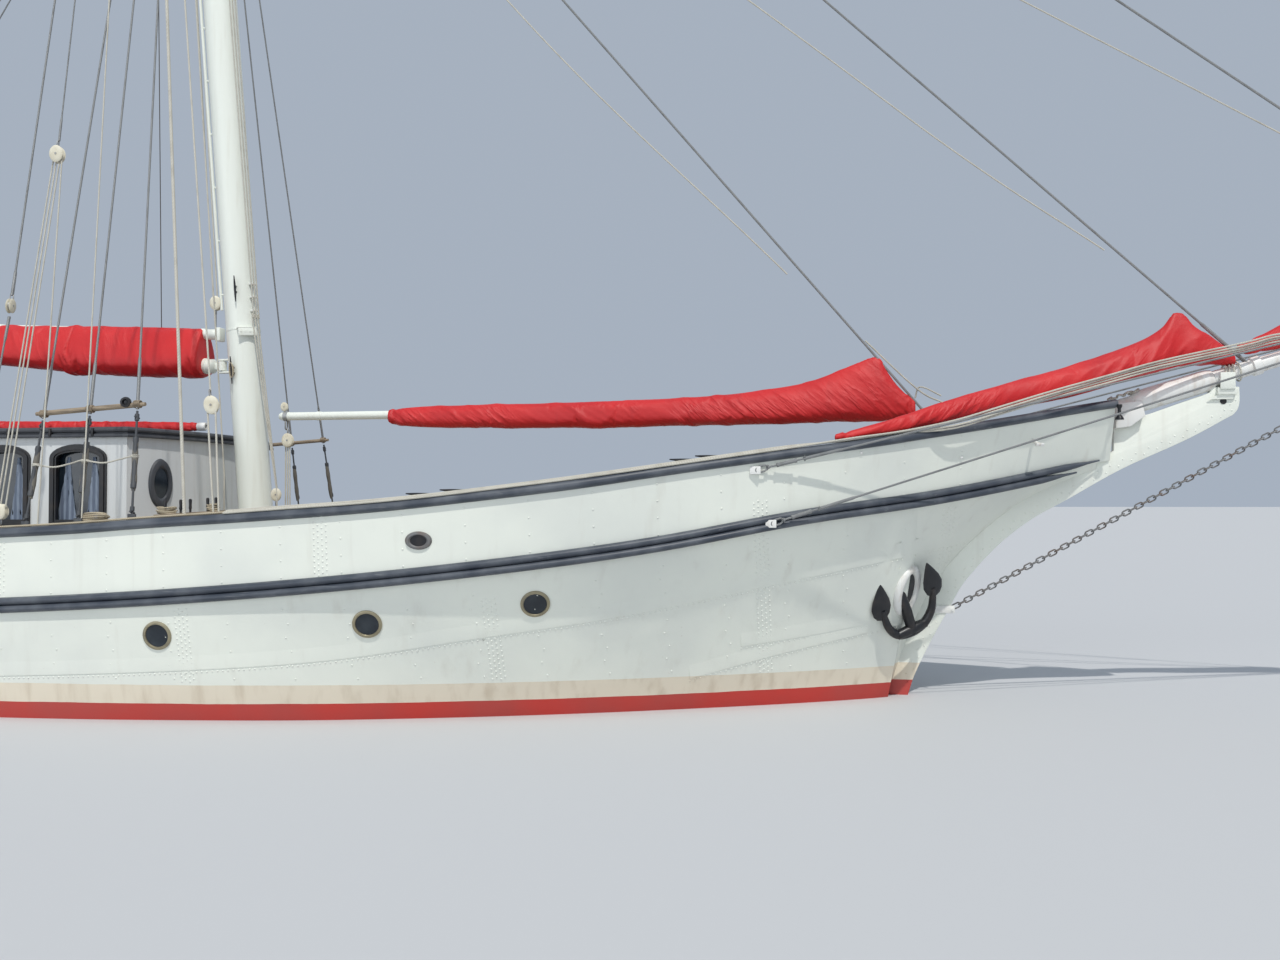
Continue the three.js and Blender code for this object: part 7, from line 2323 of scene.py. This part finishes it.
def stay_halyards(bm):
    """A halyard stowed along each of the three fore stays."""
    rope(bm, [on_mast(FORE, 13.95) + (0.2, 0, 0), (7.6, 0, 8.62), (11.10, 0, 5.02)], 0.009, 30)
    rope(bm, [on_mast(FORE, 14.3) + (0.2, 0, 0), (10.68, 0, 8.37), (13.10, 0, 6.38), (14.73, 0, 5.17)], 0.009, 20)
    rope(bm, [on_mast(FORE, 14.9) + (0.2, 0, 0), (10.9, 0, 10.0), (17.64, 0, 5.78)], 0.009, 30)


def tack_ropes(bm):
    rope(bm, [(12.02, 0.0, 4.19), (12.63, 0.03, 3.60), (12.93, 0.0, 3.43)], 0.010, 8)
    rope(bm, [(12.90, 0.02, 3.52), (12.66, 0.03, 3.63), (12.60, 0.06, 3.50)], 0.009, 6)


rows_fore = shroud_lines(FORE, 3.97)
print("coils and ropes at the rail")
for build, name, finish in ((jib_leads, "jib_lead_ropes", PALE_ROPE), (rail_ropes, "rail_ropes", HEMP),
                            (rail_coils, "rail_coils", HEMP)):
    on_one_side(build, name, finish, "starboard", 1)
on_one_side(lambda bm: between_screws(bm, rows_fore), "screw_rope", PALE_ROPE, "starboard", 1)
on_one_side(pole_lamp, "sheer_pole_ring", BLACK_IRON, "starboard", 1)
on_one_side(sprit_lashing, "bowsprit_lashing", PALE_ROPE, "starboard", 1)
for build, name, finish in ((pin_rack, "pin_rack", GREY_WOOD), (pins, "belaying_pins", BLACK_IRON),
                            (rail_cleats, "rail_cleats", BLACK_IRON), (bulwark_plates, "bulwark_plates", FITTING_WHITE),
                            (bitts, "mooring_bitts", BLACK_IRON), (bow_fittings, "bow_fittings", FITTING_WHITE),
                            (rail_end_irons, "rail_end_irons", BLACK_IRON)):
    both_sides(build, name, finish)
single(stay_halyards, "stay_halyards", PALE_ROPE)
single(tack_ropes, "staysail_tack_ropes", PALE_ROPE)
heel_plate = [(14.80, 3.10), (14.96, 3.12), (15.12, 3.24), (15.08, sprit_z(15.08)), (14.80, sprit_z(14.80) + 0.05)]
single(lambda bm: slab(bm, heel_plate, 0.32, XZ_AT(0), 0.01), "bowsprit_collar", FITTING_WHITE)
# Black discs on both faces of the cutwater: painted shade for a hole through the plate.
HOLE_SHADE = [(0, -0.004), (0.035, -0.004), (0.035, 0.003), (0.028, 0.004), (0, 0.001)]
for side, sign in (("starboard", 1), ("port", -1)):
    place = frame_at((15.97, -0.056 * sign, 3.40), (1, 0, 0), (0, 0, sign), (0, -sign, 0))
    single(lambda bm: turned(bm, HOLE_SHADE, place, 24), f"cutwater_hole_shade_{side}", BLACK_IRON)

# %% [markdown]
# ## Size and finish
